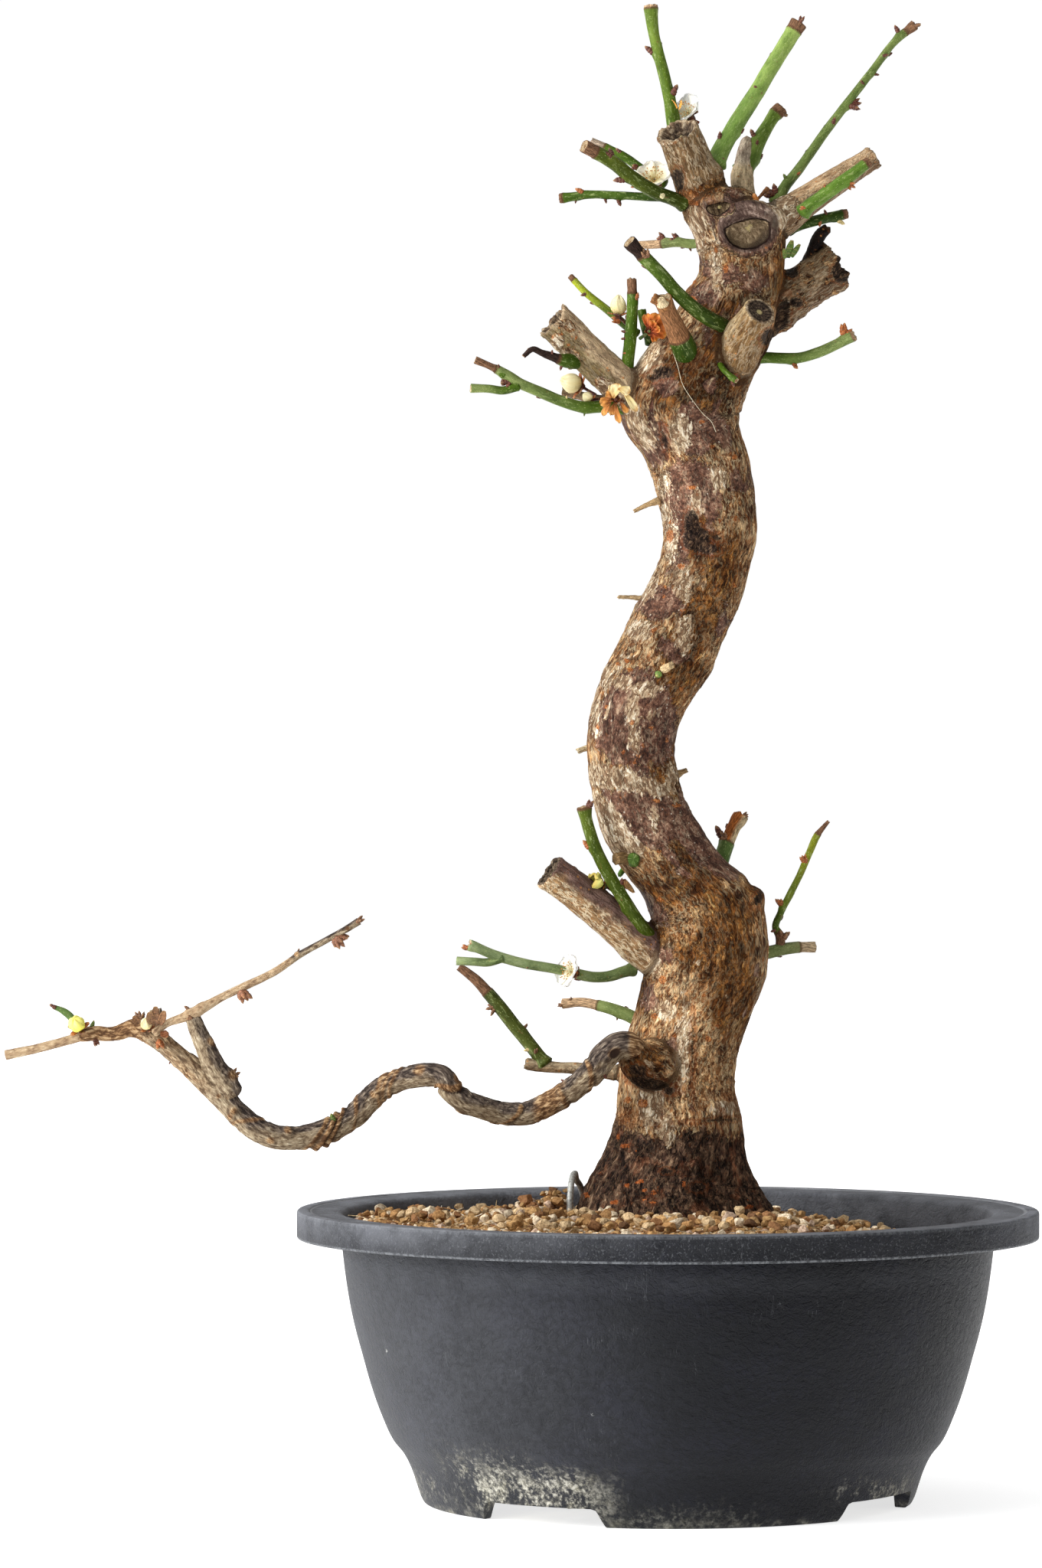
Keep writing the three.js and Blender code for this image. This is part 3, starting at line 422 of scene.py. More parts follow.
WOOD = [
  ["wound_crown", [[91.3, -2.0, 515.1, 10.85], [90.9, -12.0, 514.8, 10.81], [90.8, -17.0, 514.7, 10.17], [90.7, -19.5, 514.4, 8.93]]],
  ["stub_crown_left", [[76.8, 0.0, 522.4, 11.17], [73.6, -3.0, 529.6, 10.23], [69.4, -8.0, 538.4, 9.28], [65.6, -14.0, 547.6, 8.64], [63.0, -18.0, 553.4, 8.47]]],
  ["stub_crown_back", [[92.0, 4.0, 520.0, 5.8], [90.4, 8.0, 528.7, 5.2], [90.0, 11.0, 537.1, 4.7], [90.5, 12.5, 543.0, 3.7], [91.3, 13.5, 548.6, 3.3], [91.9, 14.0, 552.1, 2.5]]],
  ["stub_crown_right", [[96.0, 0.0, 514.9, 9.31], [104.7, -1.0, 518.9, 7.75], [114.6, -2.0, 525.6, 6.51], [127.0, -2.0, 534.0, 5.43], [136.9, -1.0, 540.6, 4.96], [143.2, 0.0, 544.7, 4.65]]],
  ["stub_right_big", [[91.5, 4.0, 476.5, 10.57], [102.5, 7.0, 483.8, 10.27], [112.0, 10.0, 490.3, 9.66], [120.8, 12.0, 496.1, 9.35], [128.4, 14.0, 500.6, 9.05]]],
  ["stub_front_cut", [[83.4, -6.0, 456.8, 8.05], [86.3, -12.0, 463.9, 10.19], [89.7, -20.0, 470.1, 8.62], [93.1, -28.0, 475.9, 7.06], [95.7, -33.0, 479.6, 6.43]]],
  ["stub_left_big", [[59.4, 0.0, 440.5, 9.31], [47.9, -3.0, 450.2, 8.68], [37.0, -6.0, 460.6, 7.74], [26.1, -9.0, 469.9, 7.42], [17.8, -11.0, 476.9, 7.72], [12.8, -12.0, 480.8, 7.72]]],
  ["stub_low_left", [[63.4, -2.0, 216.5, 10.54], [51.9, -5.0, 224.0, 9.6], [40.7, -9.0, 233.4, 8.97], [29.2, -12.0, 242.7, 8.34], [19.0, -15.0, 250.8, 7.87], [11.2, -17.0, 256.4, 7.71]]],
  ["stub_mid_left_small", [[56.4, 4.0, 172.2, 4.35], [46.5, 5.0, 172.8, 4.04], [35.6, 6.0, 173.4, 3.11], [21.6, 7.0, 174.6, 2.49], [10.7, 8.0, 175.4, 2.49], [1.4, 9.0, 176.6, 2.49]]],
  ["stub_hidden_left", [[47.9, 0.0, 440.5, 3.41], [38.6, 1.0, 443.6, 2.79], [27.8, 4.0, 446.9, 2.33], [16.7, 8.0, 450.3, 2.18]]],
  ["stub_dead_black", [[115.8, 12.0, 499.8, 3.12], [118.3, 12.0, 506.0, 2.81], [121.5, 13.0, 513.6, 2.5], [125.3, 14.0, 517.1, 2.03]]],
  ["branch_long", [[61.7, -8.0, 176.5, 11.13], [54.6, -21.0, 178.3, 10.15], [48.9, -28.0, 182.0, 7.36], [43.6, -33.0, 185.3, 5.51], [38.4, -36.0, 185.7, 5.35], [33.8, -36.0, 182.0, 5.51], [29.5, -34.0, 176.1, 5.36], [23.8, -31.0, 170.8, 4.9], [17.3, -28.0, 165.7, 4.91], [9.7, -26.0, 161.3, 4.91], [2.3, -25.0, 158.2, 4.76], [-6.3, -26.0, 158.2, 4.61], [-15.5, -29.0, 160.6, 4.6], [-22.8, -32.0, 163.5, 4.6], [-27.7, -33.0, 167.5, 4.59], [-31.7, -32.0, 173.0, 4.6], [-38.5, -29.0, 173.7, 4.75], [-45.9, -25.0, 172.3, 4.61], [-54.0, -22.0, 169.1, 4.77], [-60.8, -20.0, 163.5, 4.93], [-66.3, -20.0, 157.6, 4.93], [-73.1, -21.0, 153.1, 4.92], [-81.0, -23.0, 149.8, 5.23], [-89.2, -25.0, 148.4, 4.76], [-98.4, -27.0, 148.8, 4.91], [-106.6, -28.0, 152.5, 4.91], [-113.1, -27.0, 157.7, 4.76], [-119.3, -26.0, 164.4, 4.91], [-126.1, -25.0, 170.5, 4.61], [-132.9, -24.0, 176.9, 4.15], [-140.4, -23.0, 183.3, 4.0], [-146.3, -22.0, 188.2, 4.15], [-150.9, -22.0, 191.3, 4.61], [-156.4, -22.0, 191.9, 3.38], [-163.2, -22.0, 190.0, 2.92], [-172.4, -22.0, 190.0, 2.92], [-177.3, -22.0, 189.4, 2.61]]],
  ["branch_tip", [[-174.9, -22.0, 189.4, 2.0], [-183.2, -22.0, 187.0, 1.85], [-194.0, -21.0, 184.1, 1.85], [-207.2, -20.0, 181.3, 2.0]]],
  ["branch_limb", [[-115.3, -27.0, 166.3, 4.3], [-119.8, -28.0, 172.5, 4.6], [-123.5, -29.0, 178.7, 4.45], [-127.1, -29.0, 186.0, 3.83], [-129.6, -29.0, 191.8, 3.53], [-131.4, -29.0, 196.4, 3.22]]],
  ["twig_long", [[-142.0, -27.0, 194.2, 1.53], [-136.3, -29.0, 196.4, 1.84], [-131.4, -30.0, 198.3, 2.45], [-127.1, -30.0, 200.8, 2.15], [-121.3, -30.0, 204.1, 1.69], [-110.5, -31.0, 209.4, 1.62], [-99.1, -32.0, 214.9, 1.53], [-88.0, -33.0, 222.3, 1.35], [-77.3, -34.0, 228.2, 1.29], [-69.0, -35.0, 232.8, 1.38], [-64.7, -35.0, 235.5, 1.53]]],
  ["stub_tip_top", [[-146.6, -22.0, 189.4, 2.77], [-145.9, -23.0, 195.6, 2.46], [-146.8, -23.0, 199.9, 2.46]]],
]

SHOOTS = [
  ["shoot_top_left", [[62.6, 2.0, 553.9, 2.95], [61.7, 6.0, 560.6, 2.86], [60.5, 8.0, 567.9, 2.55], [58.1, 10.0, 579.1, 2.37], [55.9, 11.0, 587.6, 2.27], [54.1, 12.0, 595.8, 2.24], [53.2, 13.0, 602.8, 2.56], [52.9, 13.0, 607.5, 2.65]]],
  ["shoot_top_thick", [[78.6, -2.0, 541.4, 4.03], [81.1, 0.0, 547.2, 3.72], [84.3, 1.0, 552.9, 3.41], [89.3, 3.0, 561.2, 3.42], [95.0, 5.0, 570.1, 3.3], [101.3, 7.0, 580.9, 3.2], [107.6, 9.0, 591.1, 3.21], [112.9, 10.0, 599.9, 3.43]]],
  ["shoot_crown_back", [[90.3, 13.0, 539.8, 4.05], [93.8, 14.0, 546.1, 3.74], [96.9, 15.0, 552.5, 3.12], [100.7, 17.0, 558.9, 2.66], [103.6, 18.0, 563.4, 2.66], [106.1, 19.0, 566.0, 2.5]]],
  ["shoot_top_right_long", [[103.6, 4.0, 525.9, 2.8], [106.2, 6.0, 531.3, 2.33], [113.5, 9.0, 541.0, 2.06], [124.0, 13.0, 556.0, 1.87], [134.5, 17.0, 569.9, 1.72], [145.0, 20.0, 583.6, 1.56], [152.6, 22.0, 593.6, 1.56], [160.8, 24.0, 600.7, 1.88]]],
  ["shoot_right_front", [[113.4, -14.0, 520.5, 2.93], [115.9, -14.0, 523.0, 2.84], [121.4, -14.0, 527.0, 2.72], [127.6, -13.5, 531.6, 2.65], [133.9, -12.0, 536.4, 2.47], [140.4, -10.5, 541.5, 2.22]]],
  ["shoot_upper_left_thick", [[65.8, -7.0, 524.8, 2.94], [61.7, -10.0, 526.4, 2.84], [55.1, -14.0, 528.5, 2.84], [44.8, -20.0, 534.1, 2.77], [35.5, -26.0, 540.6, 2.83], [25.3, -32.0, 545.5, 2.76]]],
  ["shoot_upper_left_behind", [[58.3, 4.0, 533.9, 2.02], [49.6, 7.0, 539.8, 1.87], [43.4, 9.0, 544.4, 1.87], [36.9, 10.0, 547.9, 1.87], [28.8, 12.0, 551.9, 1.87]]],
  ["shoot_upper_left_thin", [[63.7, 8.0, 528.7, 2.02], [51.6, 12.0, 529.4, 1.71], [39.2, 15.0, 530.3, 1.65], [29.2, 18.0, 530.9, 1.66], [16.1, 22.0, 529.7, 1.88]]],
  ["shoot_front_curved", [[83.8, -14.0, 473.6, 2.93], [80.5, -20.0, 475.0, 3.02], [75.4, -25.0, 477.1, 3.07], [69.8, -29.0, 480.5, 2.94], [62.9, -33.0, 486.3, 2.76], [54.9, -38.0, 494.8, 2.69], [48.1, -42.0, 501.1, 2.75], [43.1, -45.0, 506.1, 2.44]]],
  ["shoot_front_dead_tip", [[67.8, -12.0, 460.8, 4.94], [65.7, -19.0, 465.5, 4.93], [62.5, -25.0, 471.9, 4.61], [59.3, -31.0, 478.2, 3.98], [56.7, -36.0, 483.9, 3.67]]],
  ["shoot_left_yellow", [[47.1, 4.0, 473.0, 1.55], [42.1, 6.0, 476.9, 1.56], [36.3, 9.0, 482.1, 1.49], [31.3, 11.0, 486.3, 1.34], [26.7, 14.0, 490.3, 1.31], [20.2, 18.0, 497.5, 1.25]]],
  ["shoot_left_upright", [[42.6, -5.0, 456.3, 2.79], [43.2, -6.0, 461.2, 2.54], [44.1, -7.0, 469.1, 2.48], [44.7, -8.0, 477.1, 2.35], [45.0, -9.0, 484.5, 2.23], [44.7, -10.0, 494.0, 1.92]]],
  ["shoot_left_short_back", [[52.7, 6.0, 469.4, 2.02], [50.6, 8.0, 475.8, 1.87], [49.0, 9.0, 483.0, 1.71]]],
  ["shoot_left_forked", [[41.7, -3.0, 442.8, 2.63], [33.3, -7.0, 442.8, 2.48], [25.5, -10.0, 442.4, 2.35], [16.5, -13.0, 444.6, 2.25], [7.6, -16.0, 448.2, 2.16], [-0.2, -18.0, 451.4, 2.09], [-5.4, -20.0, 454.7, 2.0], [-10.0, -21.0, 457.1, 1.85]]],
  ["shoot_left_withered", [[33.9, -8.0, 457.3, 3.09], [27.0, -13.0, 459.5, 3.09], [22.0, -16.0, 460.2, 2.47], [16.8, -18.0, 461.0, 1.85], [12.8, -20.0, 461.8, 2.0], [8.2, -22.0, 463.2, 1.69], [4.8, -24.0, 464.6, 1.38], [1.1, -25.0, 462.0, 0.98]]],
  ["shoot_back_grey", [[76.1, 8.0, 510.1, 2.02], [71.2, 11.0, 510.3, 1.87], [62.2, 14.0, 510.9, 1.87], [55.4, 17.0, 510.5, 1.97], [46.1, 20.0, 510.5, 1.56]]],
  ["shoot_right_dark", [[108.6, 4.0, 515.3, 2.33], [113.4, 7.0, 517.4, 2.18], [121.3, 10.0, 519.9, 2.18], [132.8, 14.0, 522.7, 1.87]]],
  ["shoot_right_curved", [[94.6, 2.0, 463.0, 2.48], [99.2, 1.0, 463.2, 2.33], [105.9, -1.0, 462.8, 2.23], [113.0, -3.0, 462.9, 2.17], [120.6, -5.0, 465.0, 2.17], [127.3, -7.0, 467.9, 2.17], [134.6, -9.0, 471.5, 2.1]]],
  ["shoot_front_sprout", [[80.0, -17.0, 459.8, 2.0], [81.7, -22.0, 456.4, 1.85], [84.1, -24.0, 454.1, 1.69], [86.4, -26.0, 452.1, 1.54]]],
  ["shoot_low_upright", [[53.0, -8.0, 227.2, 3.25], [48.6, -13.0, 232.3, 3.09], [45.5, -15.0, 237.2, 2.78], [42.4, -16.0, 242.2, 2.71], [35.9, -18.0, 252.7, 2.62], [30.6, -20.0, 262.9, 2.52], [26.6, -22.0, 274.6, 2.46], [25.1, -23.0, 281.1, 2.61]]],
  ["shoot_low_forked", [[45.1, -4.0, 215.3, 2.48], [40.7, -8.0, 214.2, 2.32], [36.0, -11.0, 212.8, 2.22], [29.2, -14.0, 212.5, 2.16], [21.4, -17.0, 214.2, 2.1], [14.3, -19.0, 215.8, 2.0], [0.5, -23.0, 218.4, 2.0], [-10.0, -26.0, 221.5, 2.0], [-20.4, -29.0, 225.9, 1.99]]],
  ["shoot_low_short", [[51.1, 2.0, 192.2, 2.95], [45.9, 5.0, 195.2, 2.74], [38.8, 8.0, 198.2, 2.49], [31.6, 11.0, 200.2, 2.27], [24.2, 13.0, 201.4, 2.12], [17.0, 15.0, 200.7, 2.03]]],
  ["shoot_low_hook", [[9.8, 8.0, 176.4, 3.11], [6.4, 9.0, 180.7, 2.8], [2.3, 10.0, 185.9, 2.8], [-2.6, 11.0, 191.8, 2.8], [-7.9, 12.0, 198.6, 2.81], [-12.6, 13.0, 204.2, 2.65], [-18.3, 14.0, 210.4, 2.34], [-25.1, 15.0, 215.7, 1.87]]],
  ["shoot_right_back", [[77.7, 8.0, 251.1, 4.36], [81.5, 11.0, 259.8, 3.43], [84.1, 14.0, 266.6, 3.12], [86.6, 16.0, 272.2, 3.12], [89.5, 18.0, 276.9, 2.81]]],
  ["shoot_right_stub", [[94.6, 4.0, 220.7, 2.8], [100.3, 6.0, 221.9, 2.64], [106.3, 8.0, 223.1, 2.49], [112.9, 10.0, 223.9, 2.34], [119.6, 12.0, 223.9, 2.34]]],
  ["shoot_right_thin", [[105.4, 8.0, 223.7, 1.71], [105.1, 8.0, 228.7, 1.87], [103.5, 8.0, 231.8, 1.49], [105.9, 7.0, 238.7, 1.37], [109.3, 6.0, 245.5, 1.43], [113.6, 5.0, 254.2, 1.37], [117.3, 4.0, 263.0, 1.43], [120.4, 3.0, 269.8, 1.4]]],
  ["sprout_branch_tip", [[-178.4, -24.0, 192.0, 1.54], [-181.0, -22.0, 196.8, 1.54], [-184.2, -21.0, 199.2, 1.38], [-187.9, -20.0, 200.7, 1.23]]],
]

FORKS = [
  ["shoot_left_forked", [[-1.2, -19.0, 450.2, 1.9], [-7.5, -20.0, 448.5, 1.7], [-12.5, -21.0, 449.1, 1.7], [-20.1, -22.0, 449.3, 1.7]]],
  ["shoot_left_forked", [[-6.6, -20.4, 454.8, 1.9], [-8.8, -21.0, 456.5, 1.7], [-12.5, -22.0, 458.2, 1.55], [-18.3, -23.0, 460.6, 1.55]]],
  ["shoot_low_forked", [[-7.2, -26.0, 220.6, 1.9], [-13.7, -25.0, 218.7, 1.7], [-18.6, -25.0, 219.0, 1.7], [-25.7, -24.0, 219.3, 1.6]]],
]

BLOSSOMS = [
  ["flower_crown", "open", [66.3, 13.0, 564.1], [0.6, 0.55, 0.25], 8.6],
  ["flower_upper_left", "open", [53.5, -3.0, 536.1], [-0.25, -0.35, 0.9], 7.6],
  ["flower_left_pale", "half", [20.9, -3.0, 452.7], [-0.75, -0.3, 0.35], 5.2],
  ["flower_low_left", "open", [18.9, -26.0, 217.2], [-0.85, -0.45, -0.15], 8.4],
  ["flower_behind_shoot", "half", [31.5, 2.0, 250.2], [-0.5, 0.1, 0.4], 5.4],
  ["flower_withered", "wilt", [38.7, -16.0, 448.8], [0.1, -0.7, -0.6], 6.6],
  ["flower_dried", "wilt", [51.8, -6.0, 476.0], [0.1, -0.3, 0.9], 5.6],
  ["bud_left_upper", "bud", [39.8, -2.0, 483.1], [0.0, -0.15, 1.0], 4.4],
  ["bud_left_small", "bud", [27.4, -6.0, 447.2], [-0.5, -0.5, -0.2], 2.6],
  ["bud_branch_tip", "bud", [-177.8, -28.0, 194.6], [-0.3, -0.8, 0.5], 4.2],
  ["bud_branch_pale", "bud", [-149.8, -29.0, 194.6], [-0.1, -0.9, 0.25], 3.2],
  ["bud_upper_left_small", "bud", [56.9, -17.0, 527.0], [-0.2, -0.9, -0.1], 1.9],
]

WIRE = [
  [18.8, -64.8, 5.2], [24.6, -55.5, 5.2], [26.1, -53.1, 5.9], [26.4, -52.6, 8.4], [26.4, -52.6, 18],
  [24.6, -42, 46], [21.8, -27, 76], [19.9, -17.5, 100], [19.5, -15.2, 114], [19.8, -14.4, 124],
  [20.3, -13, 129.4], [21.0, -10, 132.2], [21.8, -5.5, 132.8], [22.1, -0.5, 131.6], [22.5, 4.2, 129.6],
  [24.0, 9, 127], [25.2, 14, 123], [26.4, 19, 117], [26.2, 20.8, 108], [23.4, 23, 92], [17.6, 27.4, 68],
  [10.5, 31.4, 40], [6.7, 32.9, 18], [6.7, 32.9, 8.4], [6.2, 33.2, 5.9], [3.8, 34.7, 5.2], [-5.2, 40.3, 5.2],
]

POT_X, RIM_R, RIM_Z, FLOOR_Z, FLOOR_T = 59.3, 150.0, 118.0, 7.5, 3.0
FOOT_ANGLE, GAP_HALF_TOP, GAP_HALF_BOTTOM = 13.0, 25.9, 28.6
DRAIN_R, SIDE_DRAIN_R, SIDE_DRAIN_PITCH = 16.0, 7.0, 62.0
# ------------------------------------------------------------------ materials

def rgb(r, g, b):
    """A colour given in display values, 0 to 255, as scene linear."""
    return tuple((c / 255 / 12.92) if c / 255 <= 0.04045 else ((c / 255 + 0.055) / 1.055) ** 2.4 for c in (r, g, b)) + (1.0,)


class Shade:
    """A material's node tree, built with short calls. Sockets and plain values mix freely."""

    def __init__(self, name, view=(0.5, 0.5, 0.5)):
        self.m = bpy.data.materials.new(name)
        self.m.use_nodes = True
        self.m.diffuse_color = (*view, 1)
        self.t = self.m.node_tree
        self.t.nodes.clear()
        self.n = 0

    def node(self, kind, ins=None, **props):
        nd = self.t.nodes.new(kind)
        nd.location = (220 * (self.n % 12), -260 * (self.n // 12))
        self.n += 1
        for k, v in props.items():
            setattr(nd, k, v)
        for k, v in (ins or {}).items():
            self.set(nd.inputs[k], v)
        return nd

    def set(self, socket, v):
        if isinstance(v, bpy.types.NodeSocket):
            self.t.links.new(v, socket)
        else:
            socket.default_value = v

    def attr(self, name, vector=False):
        nd = self.node("ShaderNodeAttribute", attribute_type="GEOMETRY", attribute_name=name)
        return nd.outputs["Vector" if vector else "Fac"]

    def where(self):
        """Place in millimetres, fixed in the object."""
        return self.vmul(self.node("ShaderNodeTexCoord").outputs["Object"], (1000, 1000, 1000))

    def vmul(self, v, k):
        return self.node("ShaderNodeVectorMath", {0: v, 1: k}, operation="MULTIPLY").outputs[0]

    def vadd(self, a, b):
        return self.node("ShaderNodeVectorMath", {0: a, 1: b}, operation="ADD").outputs[0]

    def vlen(self, a):
        return self.node("ShaderNodeVectorMath", {0: a}, operation="LENGTH").outputs["Value"]

    def split(self, v):
        nd = self.node("ShaderNodeSeparateXYZ", {0: v})
        return nd.outputs[0], nd.outputs[1], nd.outputs[2]

    def join(self, x, y, z):
        return self.node("ShaderNodeCombineXYZ", {0: x, 1: y, 2: z}).outputs[0]

    def math(self, op, a, b=0.0, c=0.0, clamp=False):
        return self.node("ShaderNodeMath", {0: a, 1: b, 2: c}, operation=op, use_clamp=clamp).outputs[0]

    def noise(self, v, scale=1.0, detail=2.0, rough=0.5, distort=0.0, colour=False):
        nd = self.node("ShaderNodeTexNoise", {"Vector": v, "Scale": scale, "Detail": detail, "Roughness": rough,
                                              "Distortion": distort}, noise_dimensions="3D")
        return nd.outputs["Color" if colour else "Fac"]

    def warp(self, v, amount, scale, detail=1.0):
        """v pushed about by noise, by up to about half of amount."""
        c = self.noise(v, scale, detail, colour=True)
        c = self.vadd(c, (-0.5, -0.5, -0.5))
        return self.vadd(v, self.vmul(c, (amount, amount, amount)))

    def voronoi(self, v, scale=1.0, feature="F1", rand=1.0, out="Distance"):
        return self.node("ShaderNodeTexVoronoi", {"Vector": v, "Scale": scale, "Randomness": rand}, feature=feature,
                         voronoi_dimensions="3D").outputs[out]

    def map(self, x, lo, hi, a=0.0, b=1.0, smooth_=True):
        nd = self.node("ShaderNodeMapRange", interpolation_type="SMOOTHSTEP" if smooth_ else "LINEAR")
        self.set(nd.inputs[0], x)
        for i, v in enumerate((lo, hi, a, b)):
            self.set(nd.inputs[i + 1], v)
        return nd.outputs[0]

    def ramp(self, x, stops, interp="LINEAR"):
        nd = self.node("ShaderNodeValToRGB", {0: x})
        cr = nd.color_ramp
        cr.interpolation = interp
        while len(cr.elements) < len(stops):
            cr.elements.new(0.5)
        for e, (p, c) in zip(cr.elements, sorted(stops, key=lambda s: s[0])):
            e.position, e.color = p, c
        return nd.outputs[0]

    def mix(self, f, a, b, blend="MIX"):
        nd = self.node("ShaderNodeMix", data_type="RGBA", blend_type=blend, clamp_factor=True)
        for s, v in ((nd.inputs["Factor"], f),):
            self.set(s, v)
        sa = [s for s in nd.inputs if s.name == "A" and s.type == "RGBA"][0]
        sb = [s for s in nd.inputs if s.name == "B" and s.type == "RGBA"][0]
        self.set(sa, a)
        self.set(sb, b)
        return [s for s in nd.outputs if s.type == "RGBA"][0]

    def fmix(self, f, a, b):
        nd = self.node("ShaderNodeMix", data_type="FLOAT", clamp_factor=True)
        self.set(nd.inputs["Factor"], f)
        sa = [s for s in nd.inputs if s.name == "A" and s.type == "VALUE"][0]
        sb = [s for s in nd.inputs if s.name == "B" and s.type == "VALUE"][0]
        self.set(sa, a)
        self.set(sb, b)
        return [s for s in nd.outputs if s.type == "VALUE"][0]

    def scale_rgb(self, c, k):
        """Colour times a number socket."""
        return self.mix(1.0, c, self.join(k, k, k), "MULTIPLY")

    def bump(self, height, distance_mm, strength=1.0, normal=None):
        nd = self.node("ShaderNodeBump", {"Height": height, "Distance": distance_mm * MM, "Strength": strength})
        if normal is not None:
            self.set(nd.inputs["Normal"], normal)
        return nd.outputs[0]

    def done(self, **ins):
        p = self.node("ShaderNodeBsdfPrincipled", ins)
        out = self.node("ShaderNodeOutputMaterial")
        self.t.links.new(p.outputs[0], out.inputs[0])
        return self.m


def lines(s, v, width):
    """Thin curling lines, where a noise passes its middle value."""
    n = s.noise(v, 1.0, 2.0, 0.55)
    return s.map(s.math("ABSOLUTE", s.math("SUBTRACT", n, 0.5)), width, width * 0.15)


def around(s, n, gain):
    """A noise, moved to lie round zero."""
    return s.math("MULTIPLY", s.math("SUBTRACT", n, 0.5), gain)


def bark_colour(s, g, crev, tone):
    """Flaky, fibrous bark: its colour, fine height, warped coordinates, and its pale and dark lines, partly fibres and
    partly painted highlights and shadows at the flake edges.
    g runs along the limb in millimetres, crev is the depth of the modelled crevices, which darkens their colour as
    painted shade, tone a slow change."""
    w = s.warp(g, 2.8, 0.3, 2.0)
    fine = s.noise(s.vmul(w, (0.85, 0.85, 0.33)), 1.0, 3.0, 0.68)
    mid = s.noise(s.vmul(w, (0.32, 0.32, 0.125)), 1.0, 4.0, 0.62)
    low = s.noise(s.vmul(s.vadd(w, (21.0, 4.0, 9.0)), (0.19, 0.19, 0.09)), 1.0, 4.0, 0.66)
    slow = s.noise(s.vmul(s.vadd(g, (3.0, 18.0, 2.0)), (0.10, 0.10, 0.06)), 1.0, 2.0, 0.5)
    # pale outer flakes with sharp edges over the brown layer
    f = s.math("ADD", mid, around(s, fine, 0.26))
    f = s.math("ADD", f, s.math("MULTIPLY", s.math("SUBTRACT", tone, 0.5), 0.14))
    f = s.math("ADD", f, around(s, slow, 0.22))
    # fewer pale flakes in the crevices: painted shade
    f = s.math("SUBTRACT", f, s.math("MULTIPLY", crev, 0.05))
    f = s.math("SUBTRACT", f, s.math("MULTIPLY", s.attr("umber"), 0.10))
    flake = s.map(f, 0.515, 0.575)
    # a dark rim round each flake: painted shadow at its edge
    rim = s.math("MULTIPLY", s.map(s.math("ABSOLUTE", s.math("SUBTRACT", f, 0.50)), 0.018, 0.004), 0.45)
    gate = s.map(s.noise(s.vmul(s.vadd(w, (9.0, 4.0, 1.0)), (0.33, 0.33, 0.2)), 1.0, 2.0, 0.6), 0.42, 0.56)
    lit = s.math("MULTIPLY", lines(s, s.vmul(w, (0.36, 0.36, 0.14)), 0.07), gate)
    lit2 = s.math("MULTIPLY", lines(s, s.vmul(s.vadd(w, (7.0, 3.0, 5.0)), (0.6, 0.6, 0.24)), 0.065), s.math("SUBTRACT", 1.0, gate))
    lit = s.math("MAXIMUM", lit, s.math("MULTIPLY", lit2, 0.8))
    gate_d = s.map(s.noise(s.vmul(s.vadd(w, (2.0, 14.0, 8.0)), (0.22, 0.22, 0.15)), 1.0, 3.0, 0.6), 0.40, 0.58)
    dark_fibre_and_shadow = s.math("MULTIPLY", lines(s, s.vmul(s.vadd(w, (0.7, 0.4, 1.4)), (0.36, 0.36, 0.15)), 0.065), gate_d)
    h = s.math("ADD", s.math("MULTIPLY", fine, 0.5), s.math("MULTIPLY", low, 0.2))
    h = s.math("ADD", h, s.math("MULTIPLY", flake, 0.10))
    h = s.math("ADD", h, s.math("MULTIPLY", lit, 0.12))
    h = s.math("SUBTRACT", h, s.math("MULTIPLY", dark_fibre_and_shadow, 0.18))
    under = s.ramp(s.math("ADD", s.math("MULTIPLY", fine, 0.5), s.math("MULTIPLY", low, 0.5)),
                   [(0.39, rgb(56, 36, 25)), (0.45, rgb(90, 60, 39)), (0.50, rgb(124, 86, 56)), (0.555, rgb(154, 112, 74)), (0.62, rgb(190, 150, 106))])
    over = s.ramp(s.math("ADD", s.math("MULTIPLY", fine, 0.6), s.math("MULTIPLY", low, 0.4)),
                  [(0.41, rgb(134, 96, 64)), (0.475, rgb(170, 130, 90)), (0.54, rgb(200, 164, 120)), (0.62, rgb(232, 208, 168))])
    col = s.mix(s.math("MULTIPLY", flake, 0.9), under, over)
    big = s.noise(g, 0.06, 3.0, 0.55)
    warm = s.noise(s.vadd(g, (31.0, 7.0, 3.0)), 0.13, 2.0, 0.5)
    col = s.mix(s.map(big, 0.52, 0.66, 0, 0.7), col, s.mix(1.0, col, rgb(214, 192, 184), "MULTIPLY"))
    col = s.mix(s.map(warm, 0.50, 0.68, 0, 0.4), col, s.mix(1.0, col, rgb(250, 214, 160), "MULTIPLY"))
    col = s.mix(s.attr("umber"), col, s.mix(1.0, col, rgb(204, 188, 152), "MULTIPLY"))
    # dark and pale flecks, thickest on the umber bark
    flk = s.noise(s.vmul(s.vadd(w, (5.0, 11.0, 3.0)), (0.60, 0.60, 0.32)), 1.0, 3.0, 0.68)
    fleck = s.ramp(flk, [(0.40, (0.36, 0.31, 0.26, 1)), (0.455, (0.80, 0.78, 0.74, 1)), (0.53, (1.10, 1.10, 1.10, 1)), (0.60, (1.85, 1.78, 1.62, 1))])
    col = s.mix(s.fmix(s.attr("umber"), 0.45, 0.9), col, s.mix(1.0, col, fleck, "MULTIPLY"))
    # painted shade: bark darkened where shade falls under the stubs
    deep = s.map(s.math("ADD", s.attr("deep"), around(s, fine, 6.0)), -1.0, 1.2)
    col = s.mix(s.math("MULTIPLY", deep, 0.8), col, s.mix(1.0, col, rgb(112, 98, 82), "MULTIPLY"))
